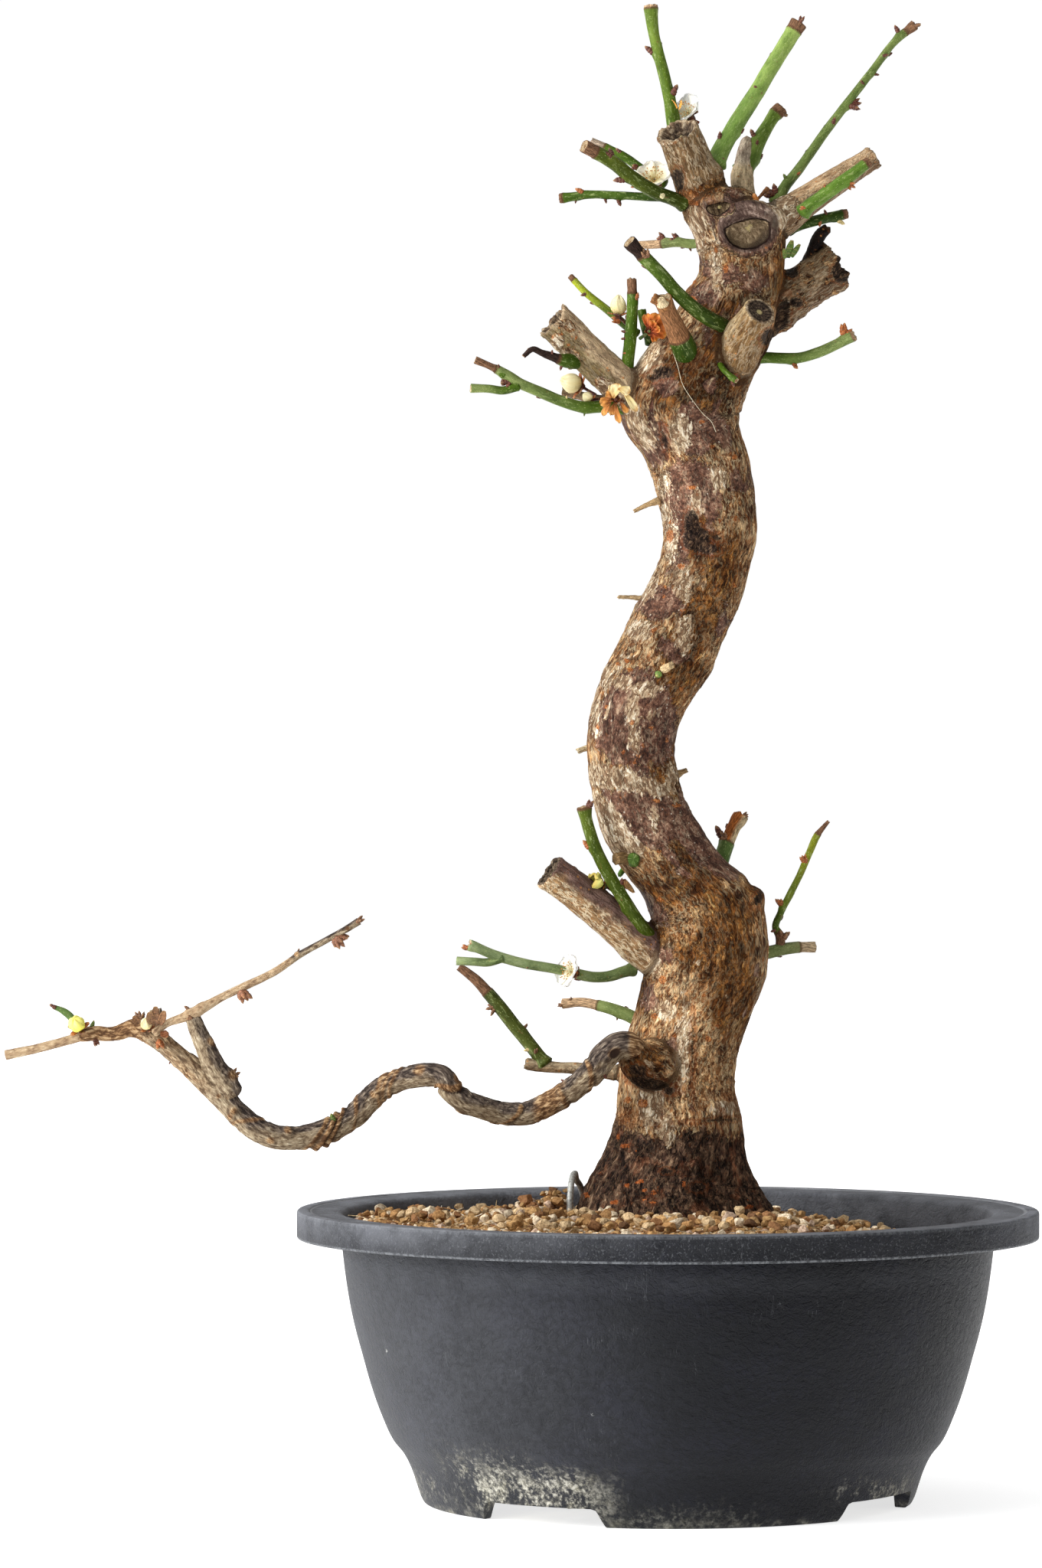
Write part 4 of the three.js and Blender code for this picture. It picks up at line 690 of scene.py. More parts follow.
    # dark lines and flake rims, partly dark fibres and partly painted shadow; pale lines, partly pale fibres and partly
    # painted highlight
    col = s.mix(s.math("MULTIPLY", s.math("MAXIMUM", dark_fibre_and_shadow, rim), 0.58), col, rgb(48, 32, 23))
    col = s.mix(s.math("MULTIPLY", lit, s.fmix(s.attr("umber"), 0.45, 0.12)), col, rgb(230, 206, 162))
    red_c = s.mix(1.0, col, rgb(250, 190, 140), "MULTIPLY")
    col = s.mix(s.map(s.math("ADD", s.attr("ruddy"), around(s, fine, 5.0)), -0.6, 1.2, 0, 0.45), col, s.mix(0.3, red_c, rgb(124, 76, 44)))
    return col, h, w, lit, dark_fibre_and_shadow


def make_bark():
    s = Shade("bark", (0.36, 0.26, 0.17))
    g = s.attr("ga", True)
    crev, tone = s.attr("crev"), s.attr("tone")
    col, h, w, lit, dark_fibre_and_shadow = bark_colour(s, g, crev, tone)
    frag = s.noise(s.vmul(w, (1.0, 1.0, 0.55)), 1.0, 3.0, 0.65)
    wide = s.noise(s.vmul(w, (0.24, 0.24, 0.14)), 1.0, 3.0, 0.6)
    edge = s.math("ADD", around(s, frag, 5.5), around(s, wide, 8.0))
    # smooth young skin, purple brown with pale dots and short cross lines
    plum = s.map(s.math("ADD", s.attr("plum"), edge), -0.5, 0.6)
    speck = s.noise(s.vmul(g, (0.7, 0.7, 0.75)), 1.0, 4.0, 0.7)
    cloud = s.noise(s.vmul(w, (0.2, 0.2, 0.14)), 1.0, 2.0, 0.5)
    skin_c = s.ramp(s.math("ADD", s.math("MULTIPLY", speck, 0.62), s.math("MULTIPLY", cloud, 0.38)),
                    [(0.39, rgb(46, 29, 24)), (0.46, rgb(74, 49, 40)), (0.52, rgb(100, 69, 56)), (0.58, rgb(130, 96, 78)), (0.66, rgb(180, 148, 122))])
    dots = s.voronoi(g, 0.30)
    skin_c = s.mix(s.map(dots, 0.15, 0.09, 0, 0.85), skin_c, rgb(190, 176, 158))
    skin_c = s.mix(s.math("MULTIPLY", dark_fibre_and_shadow, 0.6), skin_c, rgb(34, 22, 20))
    skin_c = s.mix(s.math("MULTIPLY", lit, s.map(wide, 0.46, 0.60, 0.0, 0.4)), skin_c, rgb(196, 172, 144))
    col = s.mix(s.math("MULTIPLY", plum, 0.96), col, skin_c)
    # cream, peeled places
    edge_c = s.math("ADD", around(s, frag, 5.0), around(s, s.noise(s.vmul(w, (0.42, 0.42, 0.2)), 1.0, 3.0, 0.6), 7.0))
    cream = s.map(s.math("ADD", s.attr("cream"), edge_c), 0.0, 0.8)
    pale = s.ramp(h, [(0.30, rgb(120, 96, 74)), (0.38, rgb(170, 146, 116)), (0.45, rgb(202, 182, 152)), (0.54, rgb(230, 218, 196))])
    pale = s.mix(s.math("MULTIPLY", dark_fibre_and_shadow, 0.6), pale, rgb(116, 88, 64))
    col = s.mix(s.math("MULTIPLY", cream, 0.93), col, pale)
    # smooth skin of the pruned stubs: fine fibres along the limb, pale wavy streaks, small cork dots
    young = s.map(s.math("ADD", s.attr("young"), around(s, frag, 1.2)), 0.35, 0.65)
    run = s.noise(s.vmul(s.warp(g, 1.2, 0.3), (0.9, 0.9, 0.14)), 1.0, 3.0, 0.65)
    blot = s.noise(s.vmul(w, (0.3, 0.3, 0.2)), 1.0, 3.0, 0.65)
    yt = s.math("ADD", s.math("MULTIPLY", run, 0.55), s.math("MULTIPLY", blot, 0.45))
    young_c = s.mix(1.0, s.attr("tint", True), s.ramp(yt, [(0.39, (0.52, 0.47, 0.44, 1)), (0.5, (0.93, 0.91, 0.89, 1)), (0.61, (1.5, 1.5, 1.48, 1))]), "MULTIPLY")
    wavy = s.math("MULTIPLY", lines(s, s.vmul(s.warp(g, 2.0, 0.4, 2.0), (0.5, 0.5, 0.10)), 0.07), s.attr("streak"))
    young_c = s.mix(s.math("MULTIPLY", wavy, 0.8), young_c, rgb(232, 214, 180))
    cork = s.voronoi(s.vadd(g, (3.0, 8.0, 1.0)), 0.27)
    young_c = s.mix(s.map(cork, 0.17, 0.10, 0, 0.85), young_c, rgb(172, 118, 70))
    young_c = s.mix(s.math("MULTIPLY", dark_fibre_and_shadow, 0.35), young_c, rgb(66, 50, 40))
    col = s.mix(young, col, young_c)
    # cork dots and scars in orange
    edge3 = around(s, s.noise(g, 0.9, 3.0, 0.65), 2.0)
    rust = s.map(s.math("ADD", s.attr("rust"), edge3), -0.05, 0.3)
    rust_c = s.ramp(s.noise(g, 1.5, 3.0, 0.65), [(0.36, rgb(84, 44, 24)), (0.46, rgb(136, 74, 36)), (0.55, rgb(176, 106, 54)), (0.66, rgb(212, 150, 92))])
    col = s.mix(s.math("MULTIPLY", rust, 0.85), col, rust_c)
    # wet, dark foot of the trunk
    plate = s.noise(s.vmul(w, (0.30, 0.30, 0.15)), 1.0, 3.0, 0.6)
    edge4 = s.math("ADD", around(s, plate, 16.0), around(s, frag, 8.0))
    foot = s.map(s.math("ADD", s.attr("foot"), edge4), -0.4, 0.9)
    ft = s.math("ADD", s.math("MULTIPLY", fine_of(s, w), 0.45), s.math("MULTIPLY", plate, 0.55))
    # the foot darker in the crevices: painted shade
    foot_c = s.ramp(s.math("SUBTRACT", ft, s.math("MULTIPLY", crev, 0.06)),
                    [(0.40, rgb(19, 14, 12)), (0.46, rgb(45, 33, 28)), (0.515, rgb(78, 58, 47)), (0.57, rgb(118, 92, 73)), (0.64, rgb(178, 150, 120))])
    warmf = s.noise(s.vadd(g, (5.0, 9.0, 2.0)), 0.12, 3.0, 0.6)
    foot_c = s.mix(s.map(warmf, 0.52, 0.66, 0, 0.5), foot_c, s.mix(0.6, s.mix(1.0, foot_c, (2.2, 1.25, 0.9, 1), "MULTIPLY"), rgb(120, 68, 40)))
    foot_c = s.mix(s.math("MULTIPLY", lit, 0.3), foot_c, rgb(150, 122, 96))
    foot_c = s.mix(s.math("MULTIPLY", dark_fibre_and_shadow, 0.6), foot_c, rgb(12, 8, 7))
    # painted shade on the foot as well
    foot_c = s.mix(s.math("MULTIPLY", s.map(s.attr("deep"), -1.0, 1.2), 0.6), foot_c, s.mix(1.0, foot_c, rgb(120, 112, 108), "MULTIPLY"))
    foot_c = s.mix(s.math("MULTIPLY", s.map(rust, 0.2, 0.8), 0.85), foot_c, s.mix(0.4, rust_c, rgb(190, 92, 40)))
    col = s.mix(foot, col, foot_c)
    # painted highlight: bark made paler where more light falls on it
    gain = s.map(s.math("ADD", s.attr("light"), around(s, wide, 1.6)), 0.15, 0.85)
    col = s.mix(s.math("MULTIPLY", gain, 0.85), col, s.mix(1.0, col, (1.52, 1.50, 1.47, 1), "MULTIPLY"))
    # rot and char, and painted shade in the crevice under the burl
    hole_v = s.math("ADD", s.attr("hole"), s.math("ADD", edge3, around(s, frag, 2.5)))
    hole = s.map(hole_v, -0.35, 0.35)
    margin = s.map(s.math("ABSOLUTE", s.math("ADD", hole_v, 0.7)), 0.6, 0.15, 0, 0.55)
    col = s.mix(margin, col, s.mix(0.5, s.mix(1.0, col, rgb(230, 160, 110), "MULTIPLY"), rgb(132, 76, 42)))
    hole_c = s.ramp(s.math("ADD", s.math("MULTIPLY", frag, 0.6), s.math("MULTIPLY", fine_of(s, w), 0.4)), [(0.40, rgb(12, 9, 8)), (0.47, rgb(30, 22, 18)), (0.53, rgb(54, 40, 32)), (0.61, rgb(110, 86, 64))])
    col = s.mix(s.math("MULTIPLY", hole, 0.94), col, hole_c)
    # sawn ends: rings round a pith, with fine cracks running out
    cut = s.map(s.attr("cut"), 0.35, 0.65)
    cg = s.attr("face", True)
    cw = s.warp(cg, 1.6, 0.35, 2.0)
    r = s.vlen(s.vmul(cw, (1.0, 1.0, 0.0)))
    rings = s.math("SINE", s.math("MULTIPLY", r, 3.6))
    x, y, dry = s.split(cg)
    ang = s.math("ARCTAN2", x, y)
    spokes = s.noise(s.join(s.math("MULTIPLY", ang, 3.2), s.math("MULTIPLY", r, 0.12), 4.0), 1.0, 3.0, 0.65)
    grainy = s.noise(cg, 0.9, 4.0, 0.7)
    cv = s.math("ADD", s.math("MULTIPLY", rings, 0.025), s.math("ADD", s.math("MULTIPLY", spokes, 0.4), s.math("MULTIPLY", grainy, 0.6)))
    dark_c = s.ramp(cv, [(0.36, rgb(22, 17, 15)), (0.47, rgb(56, 45, 38)), (0.56, rgb(92, 77, 63)), (0.66, rgb(150, 132, 108))])
    pale_c = s.ramp(cv, [(0.36, rgb(70, 52, 40)), (0.46, rgb(138, 112, 86)), (0.56, rgb(196, 174, 142)), (0.66, rgb(228, 214, 188))])
    cut_c = s.mix(s.map(dry, 0.0, 1.0, 0.0, 1.0, False), dark_c, pale_c)
    pith = s.map(s.vlen(s.vmul(cg, (1.0, 1.0, 0.0))), 1.5, 0.7)
    cut_c = s.mix(s.math("MULTIPLY", pith, 0.8), cut_c, rgb(196, 178, 126))
    col = s.mix(cut, col, cut_c)
    # healed wounds: a sunken disc, a dark seam, and smooth skin folded over it from above
    sx, sy, on = s.split(s.warp(s.attr("scar", True), 0.10, 2.2, 2.0))
    rr = s.math("SQRT", s.math("ADD", s.math("MULTIPLY", sx, sx), s.math("MULTIPLY", sy, sy)))
    off = s.math("SUBTRACT", sx, 0.43)
    fold = s.math("SUBTRACT", 0.5, s.math("MULTIPLY", s.math("MULTIPLY", off, off), 0.21))
    gap = s.math("SUBTRACT", fold, sy)
    below, inside = s.map(gap, -0.03, 0.03), s.map(rr, 1.04, 0.98)
    zone = s.map(on, 0.4, 0.6)
    disc = s.math("MULTIPLY", s.math("MULTIPLY", below, inside), zone)
    seam = s.math("MAXIMUM", s.math("MULTIPLY", s.map(s.math("ABSOLUTE", gap), 0.065, 0.015), inside), s.math("MULTIPLY", s.map(s.math("ABSOLUTE", s.math("SUBTRACT", rr, 1.0)), 0.07, 0.02), below))
    seam = s.math("MULTIPLY", seam, zone)
    up_y = s.math("SUBTRACT", sy, 0.12)
    rr2 = s.math("SQRT", s.math("ADD", s.math("MULTIPLY", sx, sx), s.math("MULTIPLY", up_y, up_y)))
    lip = s.math("MULTIPLY", s.map(rr2, 1.34, 1.20), zone)
    arc = s.noise(s.join(s.math("MULTIPLY", s.math("ARCTAN2", sx, sy), 1.1), s.math("MULTIPLY", rr, 5.0), 2.0), 1.0, 4.0, 0.66)
    lip_c = s.ramp(s.math("ADD", s.math("MULTIPLY", arc, 0.6), s.math("MULTIPLY", frag, 0.4)),
                   [(0.38, rgb(42, 31, 28)), (0.46, rgb(68, 52, 46)), (0.53, rgb(96, 78, 69)), (0.61, rgb(152, 132, 119))])
    second = s.map(on, 0.85, 0.95)
    # painted shade: the lip darker towards its lower right
    lip_c = s.mix(s.map(s.math("SUBTRACT", sx, s.math("MULTIPLY", sy, 0.4)), 0.55, 1.15, 0, 0.6), lip_c, s.mix(1.0, lip_c, rgb(130, 124, 120), "MULTIPLY"))
    lip = s.math("MULTIPLY", lip, s.fmix(second, 0.5, 1.0))
    col = s.mix(s.math("MULTIPLY", lip, 0.92), col, lip_c)
    rays = s.noise(s.join(s.math("MULTIPLY", s.math("ARCTAN2", sx, sy), 3.0), s.math("MULTIPLY", rr, 1.0), 6.0), 1.0, 3.0, 0.65)
    disc_c = s.ramp(s.math("ADD", s.math("MULTIPLY", rays, 0.2), s.math("ADD", s.math("MULTIPLY", wide, 0.35), s.math("MULTIPLY", frag, 0.45))),
                    [(0.38, rgb(72, 57, 44)), (0.46, rgb(118, 98, 75)), (0.54, rgb(156, 133, 103)), (0.62, rgb(206, 184, 148))])
    disc_c = s.mix(s.math("MULTIPLY", s.math("SUBTRACT", 1.0, second), 0.75), disc_c, s.mix(1.0, disc_c, rgb(140, 134, 124), "MULTIPLY"))
    shade = s.map(s.math("ADD", sx, s.math("MULTIPLY", sy, -1.0)), 0.55, 1.15, 0.0, 0.75)
    disc_c = s.mix(shade, disc_c, rgb(44, 34, 30))
    eye = s.vlen(s.join(s.math("ADD", sx, -0.03), s.math("ADD", sy, -0.1), 0.0))
    disc_c = s.mix(s.math("MULTIPLY", s.map(s.math("ADD", eye, around(s, frag, 0.5)), 0.16, 0.07), 0.9), disc_c, rgb(222, 204, 142))
    col = s.mix(disc, col, disc_c)
    col = s.mix(s.math("MULTIPLY", seam, 0.9), col, rgb(40, 24, 21))
    # heights: fibres lie lower on smooth skin
    rough = s.math("MULTIPLY", s.fmix(plum, 1.0, 0.45), s.fmix(young, 1.0, 0.5))
    rough = s.math("MULTIPLY", rough, s.fmix(cut, 1.0, 0.5))
    rough = s.math("MULTIPLY", rough, s.fmix(lip, 1.0, 0.45))
    relief_h = s.math("ADD", s.math("MULTIPLY", h, rough), s.math("MULTIPLY", s.math("MULTIPLY", cv, cut), 0.4))
    relief_h = s.math("SUBTRACT", relief_h, s.math("MULTIPLY", s.math("ADD", s.math("MULTIPLY", disc, 0.35), s.math("MULTIPLY", seam, 0.4)), 1.0))
    bark_n = s.bump(relief_h, 2.9, 1.0)
    ro = s.fmix(s.math("MAXIMUM", plum, young), 0.88, 0.6)
    return s.done(**{"Base Color": col, "Roughness": ro, "Normal": bark_n, "Specular IOR Level": 0.07})


def fine_of(s, w):
    return s.noise(s.vmul(w, (0.6, 0.6, 0.28)), 1.0, 4.0, 0.68)
# ------------------------------------------------------------------ the grown wood

WOOD_LINES = {name: np.array(path) for name, path in WOOD}
BRANCH_PIECE = ("branch_long", "branch_tip", "branch_limb", "twig_long", "stub_tip_top")

# Places on the front of the wood, [x, y, half width, half height, tilt in degrees], in picture pixels.
PLUM = [(904, 638, 32, 34, 0), (884, 700, 12, 34, 0), (862, 786, 22, 18, 0), (856, 587, 12, 18, 0), (905, 560, 22, 20, 0), (826, 948, 50, 50, 0), (842, 1066, 50, 36, 20), (925, 1105, 50, 22, 42), (905, 1052, 16, 26, 0), (893, 641, 26, 38, 0), (860, 581, 13, 17, 0), (854, 787, 17, 18, 0), (890, 728, 8, 15, 0), (877, 789, 12, 14, 0),
        (927, 650, 12, 30, 0), (818, 943, 28, 45, 10), (827, 885, 18, 9, 0), (807, 906, 10, 10, 0), (838, 1065, 38, 32, 0),
        (861, 945, 20, 48, 0), (907, 574, 20, 20, 0), (890, 690, 9, 30, 0), (921, 385, 15, 12, 0), (978, 300, 38, 33, 0),
        (868, 503, 12, 13, 0), (845, 1183, 24, 10, 38), (815, 1165, 26, 8, 38), (868, 1250, 10, 8, 0), (848, 1305, 8, 14, 0),
        (860, 565, 10, 12, 0), (935, 560, 14, 22, -30), (905, 545, 12, 20, -30), (800, 455, 12, 30, -48), (832, 1010, 16, 10, 0),
        (855, 690, 6, 14, 0), (880, 850, 14, 10, 30), (960, 262, 10, 12, -40), (1062, 240, 20, 5, -30), (950, 360, 18, 10, 0), (985, 368, 16, 12, 0), (925, 352, 8, 8, 0)]
CREAM = [(888, 566, 13, 22, 0), (909, 659, 7, 14, 0), (867, 633, 5, 12, 0), (869, 672, 5, 12, 0), (877, 706, 5, 20, 0),
         (849, 765, 5, 18, 20), (892, 761, 12, 20, 0), (837, 824, 17, 12, 0), (894, 826, 10, 20, 0), (937, 624, 8, 14, 0),
         (814, 892, 10, 8, 0), (842, 900, 18, 10, 0), (827, 932, 7, 18, 0), (830, 963, 8, 12, 0), (793, 887, 6, 14, 0),
         (777, 928, 5, 30, 0), (798, 1016, 46, 13, 6), (850, 1028, 26, 9, 12), (797, 1078, 15, 42, -30), (818, 1104, 22, 12, 20), (844, 462, 22, 27, 0), (728, 447, 6, 8, 0), (746, 463, 8, 5, 30), (740, 425, 7, 4, 30), (877, 1010, 8, 12, 0), (854, 1069, 2.5, 8, 0),
         (805, 1084, 15, 34, -30), (893, 1362, 8, 44, 0), (872, 1480, 10, 18, 0), (840, 466, 12, 20, 0), (936, 344, 6, 26, 0),
         (871, 181, 16, 6, -12), (1022, 278, 22, 20, -30), (1000, 262, 14, 8, -30), (915, 320, 8, 12, 0), (912, 300, 10, 30, 0), (884, 170, 9, 6, 0), (800, 515, 9, 22, -46), (838, 560, 10, 26, -30),
         (855, 1262, 6, 10, 0), (850, 1440, 14, 30, 0), (870, 1320, 14, 10, 0), (946, 1448, 14, 8, 0)]
RUST = [(916, 551, 4, 3), (871, 555, 3, 3), (929, 583, 4, 3), (903, 637, 8, 3), (876, 682, 3, 4), (940, 680, 4, 3), (961, 677, 4, 4),
        (869, 766, 3, 3), (892, 797, 4, 3), (867, 779, 3, 3), (854, 824, 5, 4), (959, 765, 4, 3), (959, 597, 4, 4), (808, 868, 4, 3),
        (820, 864, 4, 3), (823, 874, 5, 3), (826, 944, 4, 4), (780, 950, 3, 4), (841, 974, 4, 3), (835, 988, 4, 3), (829, 996, 4, 3),
        (814, 982, 3, 3), (872, 967, 3, 4), (858, 1046, 6, 3), (884, 1052, 6, 3), (816, 1039, 3, 2), (851, 951, 4, 3), (861, 1112, 4, 3),
        (862, 1175, 5, 4), (890, 900, 3, 4), (792, 923, 3, 3), (855, 1327, 5, 4), (882, 1353, 4, 3), (840, 1441, 7, 6), (820, 1437, 5, 5),
        (836, 1544, 7, 3.8), (820, 1549, 4, 3.2), (842, 1555, 5.5, 2.8), (854, 1558, 4, 3), (842, 1568, 4.5, 2.4), (853, 1571, 4, 2.4), (803, 1571, 6, 3.6),
        (893, 1547, 3, 4.5), (977, 1577, 6, 3), (818, 1497, 10, 3), (806, 1484, 3, 5), (766, 1561, 3.5, 4), (907, 338, 3, 5), (911, 352, 4, 5), (936, 327, 3, 5),
        (948, 351, 4, 6), (904, 391, 6, 5), (962, 492, 5, 6), (907, 368, 3, 3), (890, 740, 6, 4), (925, 712, 8, 3), (875, 700, 5, 10),
        (866, 1280, 6, 6), (733, 436, 3, 3), (742, 450, 3, 2.5), (752, 441, 2.5, 3), (728, 424, 2.5, 2), (760, 452, 2.5, 2), (747, 430, 2, 2), (722, 440, 2.5, 2), (920, 1300, 4, 3), (938, 1340, 4, 3), (905, 265, 8, 4), (1000, 322, 4, 3), (925, 1357, 5, 4)]
# Holes, rot and broken wood, and painted shade in the crevice under the burl.
HOLES_AND_SHADE = [(1100, 356, 14, 14, 0), (806, 1121, 3, 3, 0), (845, 1414, 24, 7, 15), (986, 1176, 4, 8, 20), (832, 1398, 12, 8, 10), (903, 686, 10, 19, 0), (909, 704, 18, 16, 0), (924, 716, 15, 7, 10), (937, 702, 6, 3, 30), (884, 237, 9, 16, 5), (1023, 415, 9, 28, 10), (1040, 395, 8, 6, 0), (852, 1412, 26, 5, 20),
         (874, 1425, 6, 5, 0), (941, 1463, 19, 1.5, -4), (941, 1463, 2, 6, 0), (870, 1530, 6, 3, 0), (911, 1551, 9, 5, 0), (868, 575, 3, 12, -10),
         (866, 405, 12, 5, 20), (867, 486, 13, 7, 0), (853, 493, 8, 4, 0), (1035, 355, 8, 8, 0), (1003, 440, 8, 12, 30), (905, 1368, 1.5, 22, 0)]
DENTS = [(907, 700, 13, 22, 0, 1.7), (884, 238, 8, 14, 0, 1.2), (1024, 412, 8, 24, 10, 2.2), (874, 1425, 5, 5, 0, 0.8), (941, 1463, 16, 2, -4, 0.8),
         (941, 273, 14, 9, -10, 1.2), (911, 1551, 6, 4, 0, 0.8), (870, 1530, 4, 3, 0, 0.6), (1034, 355, 6, 7, 0, 1.0), (852, 1413, 24, 4, 20, 0.9),
         (905, 1362, 2, 26, 0, 0.5), (970, 430, 3, 30, 25, 0.7), (868, 575, 3, 12, -10, 0.7)]
BUMPS = [(1087, 330, 10, 11, 0, 1.6), (1070, 352, 9, 10, 0, 1.0), (1100, 372, 8, 8, 0, 1.2), (865, 1298, 11, 9, 0, 1.8), (940, 774, 7, 6, 0, 0.9), (854, 824, 6, 5, 0, 0.8), (808, 868, 5, 4, 0, 0.5), (820, 864, 5, 4, 0, 0.5),
         (836, 1547, 8, 5, 0, 0.8), (822, 1551, 6, 4, 0, 0.6), (844, 1558, 6, 4, 0, 0.6), (818, 1497, 14, 5, 0, 0.6), (930, 712, 12, 6, 20, 0.7),
         (896, 700, 3, 22, 0, 0.6), (889, 1300, 16, 8, 10, 0.8), (941, 1448, 16, 9, 0, 0.7), (911, 1551, 12, 9, 0, 0.8), (870, 1530, 8, 6, 0, 0.6),
         (895, 760, 10, 18, 0, 0.4), (874, 1425, 9, 8, 0, 0.5), (888, 566, 11, 20, 0, 0.45), (964, 1145, 14, 20, 0, 1.0), (992, 1168, 11, 12, 0, 2.2), (988, 1182, 8, 6, 0, 1.2), (820, 1245, 20, 10, 0, 0.6),
         (936, 226, 10, 17, 10, 1.6), (1018, 284, 20, 14, -30, 2.6), (1042, 266, 14, 10, -30, 1.8), (838, 1412, 12, 8, 0, 0.8), (868, 1400, 10, 8, 0, 0.8)]
UMBER = [(822, 918, 24, 22, 0), (852, 926, 18, 20, 0), (846, 972, 14, 20, 0), (940, 745, 26, 44, 0), (912, 800, 30, 36, 20), (890, 850, 30, 34, 20), (868, 900, 26, 36, 10), (862, 955, 20, 36, 0), (866, 1010, 18, 30, 0), (900, 1150, 44, 26, 30), (935, 1200, 50, 40, 0), (905, 1230, 40, 30, 0), (860, 1210, 26, 20, 30), (836, 1290, 16, 34, 0), (842, 1386, 26, 28, 0), (905, 235, 16, 20, -20), (928, 245, 14, 14, 0), (950, 400, 30, 16, 0), (900, 1100, 24, 24, 0),
         (905, 500, 56, 40, 30), (940, 455, 26, 30, 0), (930, 1240, 60, 34, 0), (960, 1300, 30, 60, 0), (870, 1170, 40, 18, 35), (916, 500, 36, 30, 0), (905, 470, 30, 16, 0), (870, 520, 18, 22, -40), (919, 390, 22, 20, 0), (1022, 350, 14, 50, 10),
         (880, 262, 16, 24, 20), (900, 245, 18, 14, 0), (1000, 470, 12, 30, 20), (868, 780, 30, 14, 10), (880, 845, 26, 12, 25),
         (925, 810, 20, 24, 20), (905, 880, 20, 26, 20), (880, 1000, 20, 44, 0), (900, 1110, 26, 30, -30), (958, 1200, 34, 16, -20), (940, 1270, 34, 18, 0),
         (905, 1252, 24, 12, 0), (950, 1330, 26, 24, 0), (838, 1200, 22, 16, 30), (862, 1228, 16, 12, 0), (985, 1160, 16, 16, 0),
         (950, 500, 30, 26, 0), (945, 1185, 26, 14, 20), (955, 490, 18, 40, 20), (935, 1160, 26, 10, 40), (950, 740, 16, 50, 15), (1028, 520, 12, 30, 0), (912, 700, 26, 34, 0)]
RUDDY = [(916, 264, 34, 12, 20), (892, 250, 12, 14, 0), (930, 712, 14, 8, 20), (846, 1552, 20, 6, 0), (880, 1360, 6, 20, 0),
         (906, 470, 18, 14, 0), (902, 372, 8, 20, 10), (820, 1460, 20, 14, 0), (955, 1440, 12, 16, 0), (884, 1545, 8, 22, 0), (922, 1510, 6, 20, 10)]
# Painted shade: bark darkened to nearly black where shade falls under the stubs and in other shaded places.
PAINTED_SHADE = [(862, 492, 22, 12, 20), (985, 388, 34, 8, -5), (840, 1407, 16, 7, 20), (824, 1386, 9, 9, 0), (922, 1540, 15, 36, 0), (905, 478, 34, 16, 10), (935, 498, 24, 26, 0), (900, 515, 26, 12, 0), (950, 530, 10, 22, 0), (868, 845, 14, 10, 0), (900, 812, 12, 14, 0),
        (915, 708, 14, 26, 0), (1040, 400, 14, 34, 15), (893, 236, 10, 14, 0), (1000, 470, 10, 26, 30), (960, 430, 20, 12, 0), (850, 1418, 26, 8, 15)]
# Painted highlights: places where the bark is made paler as if more strongly lit; the second table at half strength.
PAINTED_LIGHT = [(895, 1390, 16, 80, 0), (866, 1310, 22, 34, 0), (868, 1262, 16, 24, 0), (848, 1350, 12, 16, 0),
         (905, 1340, 26, 26, 0), (884, 625, 16, 52, 0), (968, 1530, 18, 44, 20), (846, 460, 16, 22, 0), (885, 260, 10, 26, 0)]
PAINTED_HALF_LIGHT = [(783, 970, 10, 34, 0), (890, 1456, 30, 22, 0), (958, 1380, 8, 70, 0), (976, 1530, 10, 30, 20), (945, 625, 13, 60, 0), (845, 1520, 28, 26, 0), (955, 350, 22, 26, 0), (950, 385, 14, 8, 0), (895, 1205, 22, 36, 20), (935, 1430, 26, 20, 0), (925, 1380, 16, 50, 0), (885, 1530, 12, 30, 0)]
# Upper edge of the dark foot: picture row at picture columns.
FOOT_EDGE = [(740, 1480), (790, 1478), (805, 1464), (820, 1477), (836, 1483), (855, 1483), (866, 1488), (874, 1499), (882, 1490), (890, 1483),
             (900, 1470), (906, 1473), (922, 1472), (938, 1477), (954, 1481), (973, 1480), (1010, 1482)]


def spots(px, py, places, power=1.0):
    """How far inside the nearest of some ovals, in millimetres (negative outside, down to -6)."""
    best = np.full(len(px), -6.0)
    for p in places:
        x, y, rx, ry = p[:4]
        t = math.radians(p[4] if len(p) > 4 else 0)
        near = (abs(px - x) < 3 * max(rx, ry) + 20) & (abs(py - y) < 3 * max(rx, ry) + 20)
        dx, dy = px[near] - x, py[near] - y
        u, w = (dx * math.cos(t) + dy * math.sin(t)) / rx, (-dx * math.sin(t) + dy * math.cos(t)) / ry
        d = (1 - np.hypot(u, w)) * min(rx, ry) * 0.31
        best[near] = np.maximum(best[near], np.maximum(d, -6))
    return best


def relief(px, py, places):
    """Soft oval heights, in millimetres."""
    out = np.zeros(len(px))
    for x, y, rx, ry, tilt, h in places:
        t = math.radians(tilt)
        dx, dy = px - x, py - y
        u, w = (dx * math.cos(t) + dy * math.sin(t)) / rx, (-dx * math.sin(t) + dy * math.cos(t)) / ry
        out += h * np.exp(-(u * u + w * w) ** 1.3)
    return out


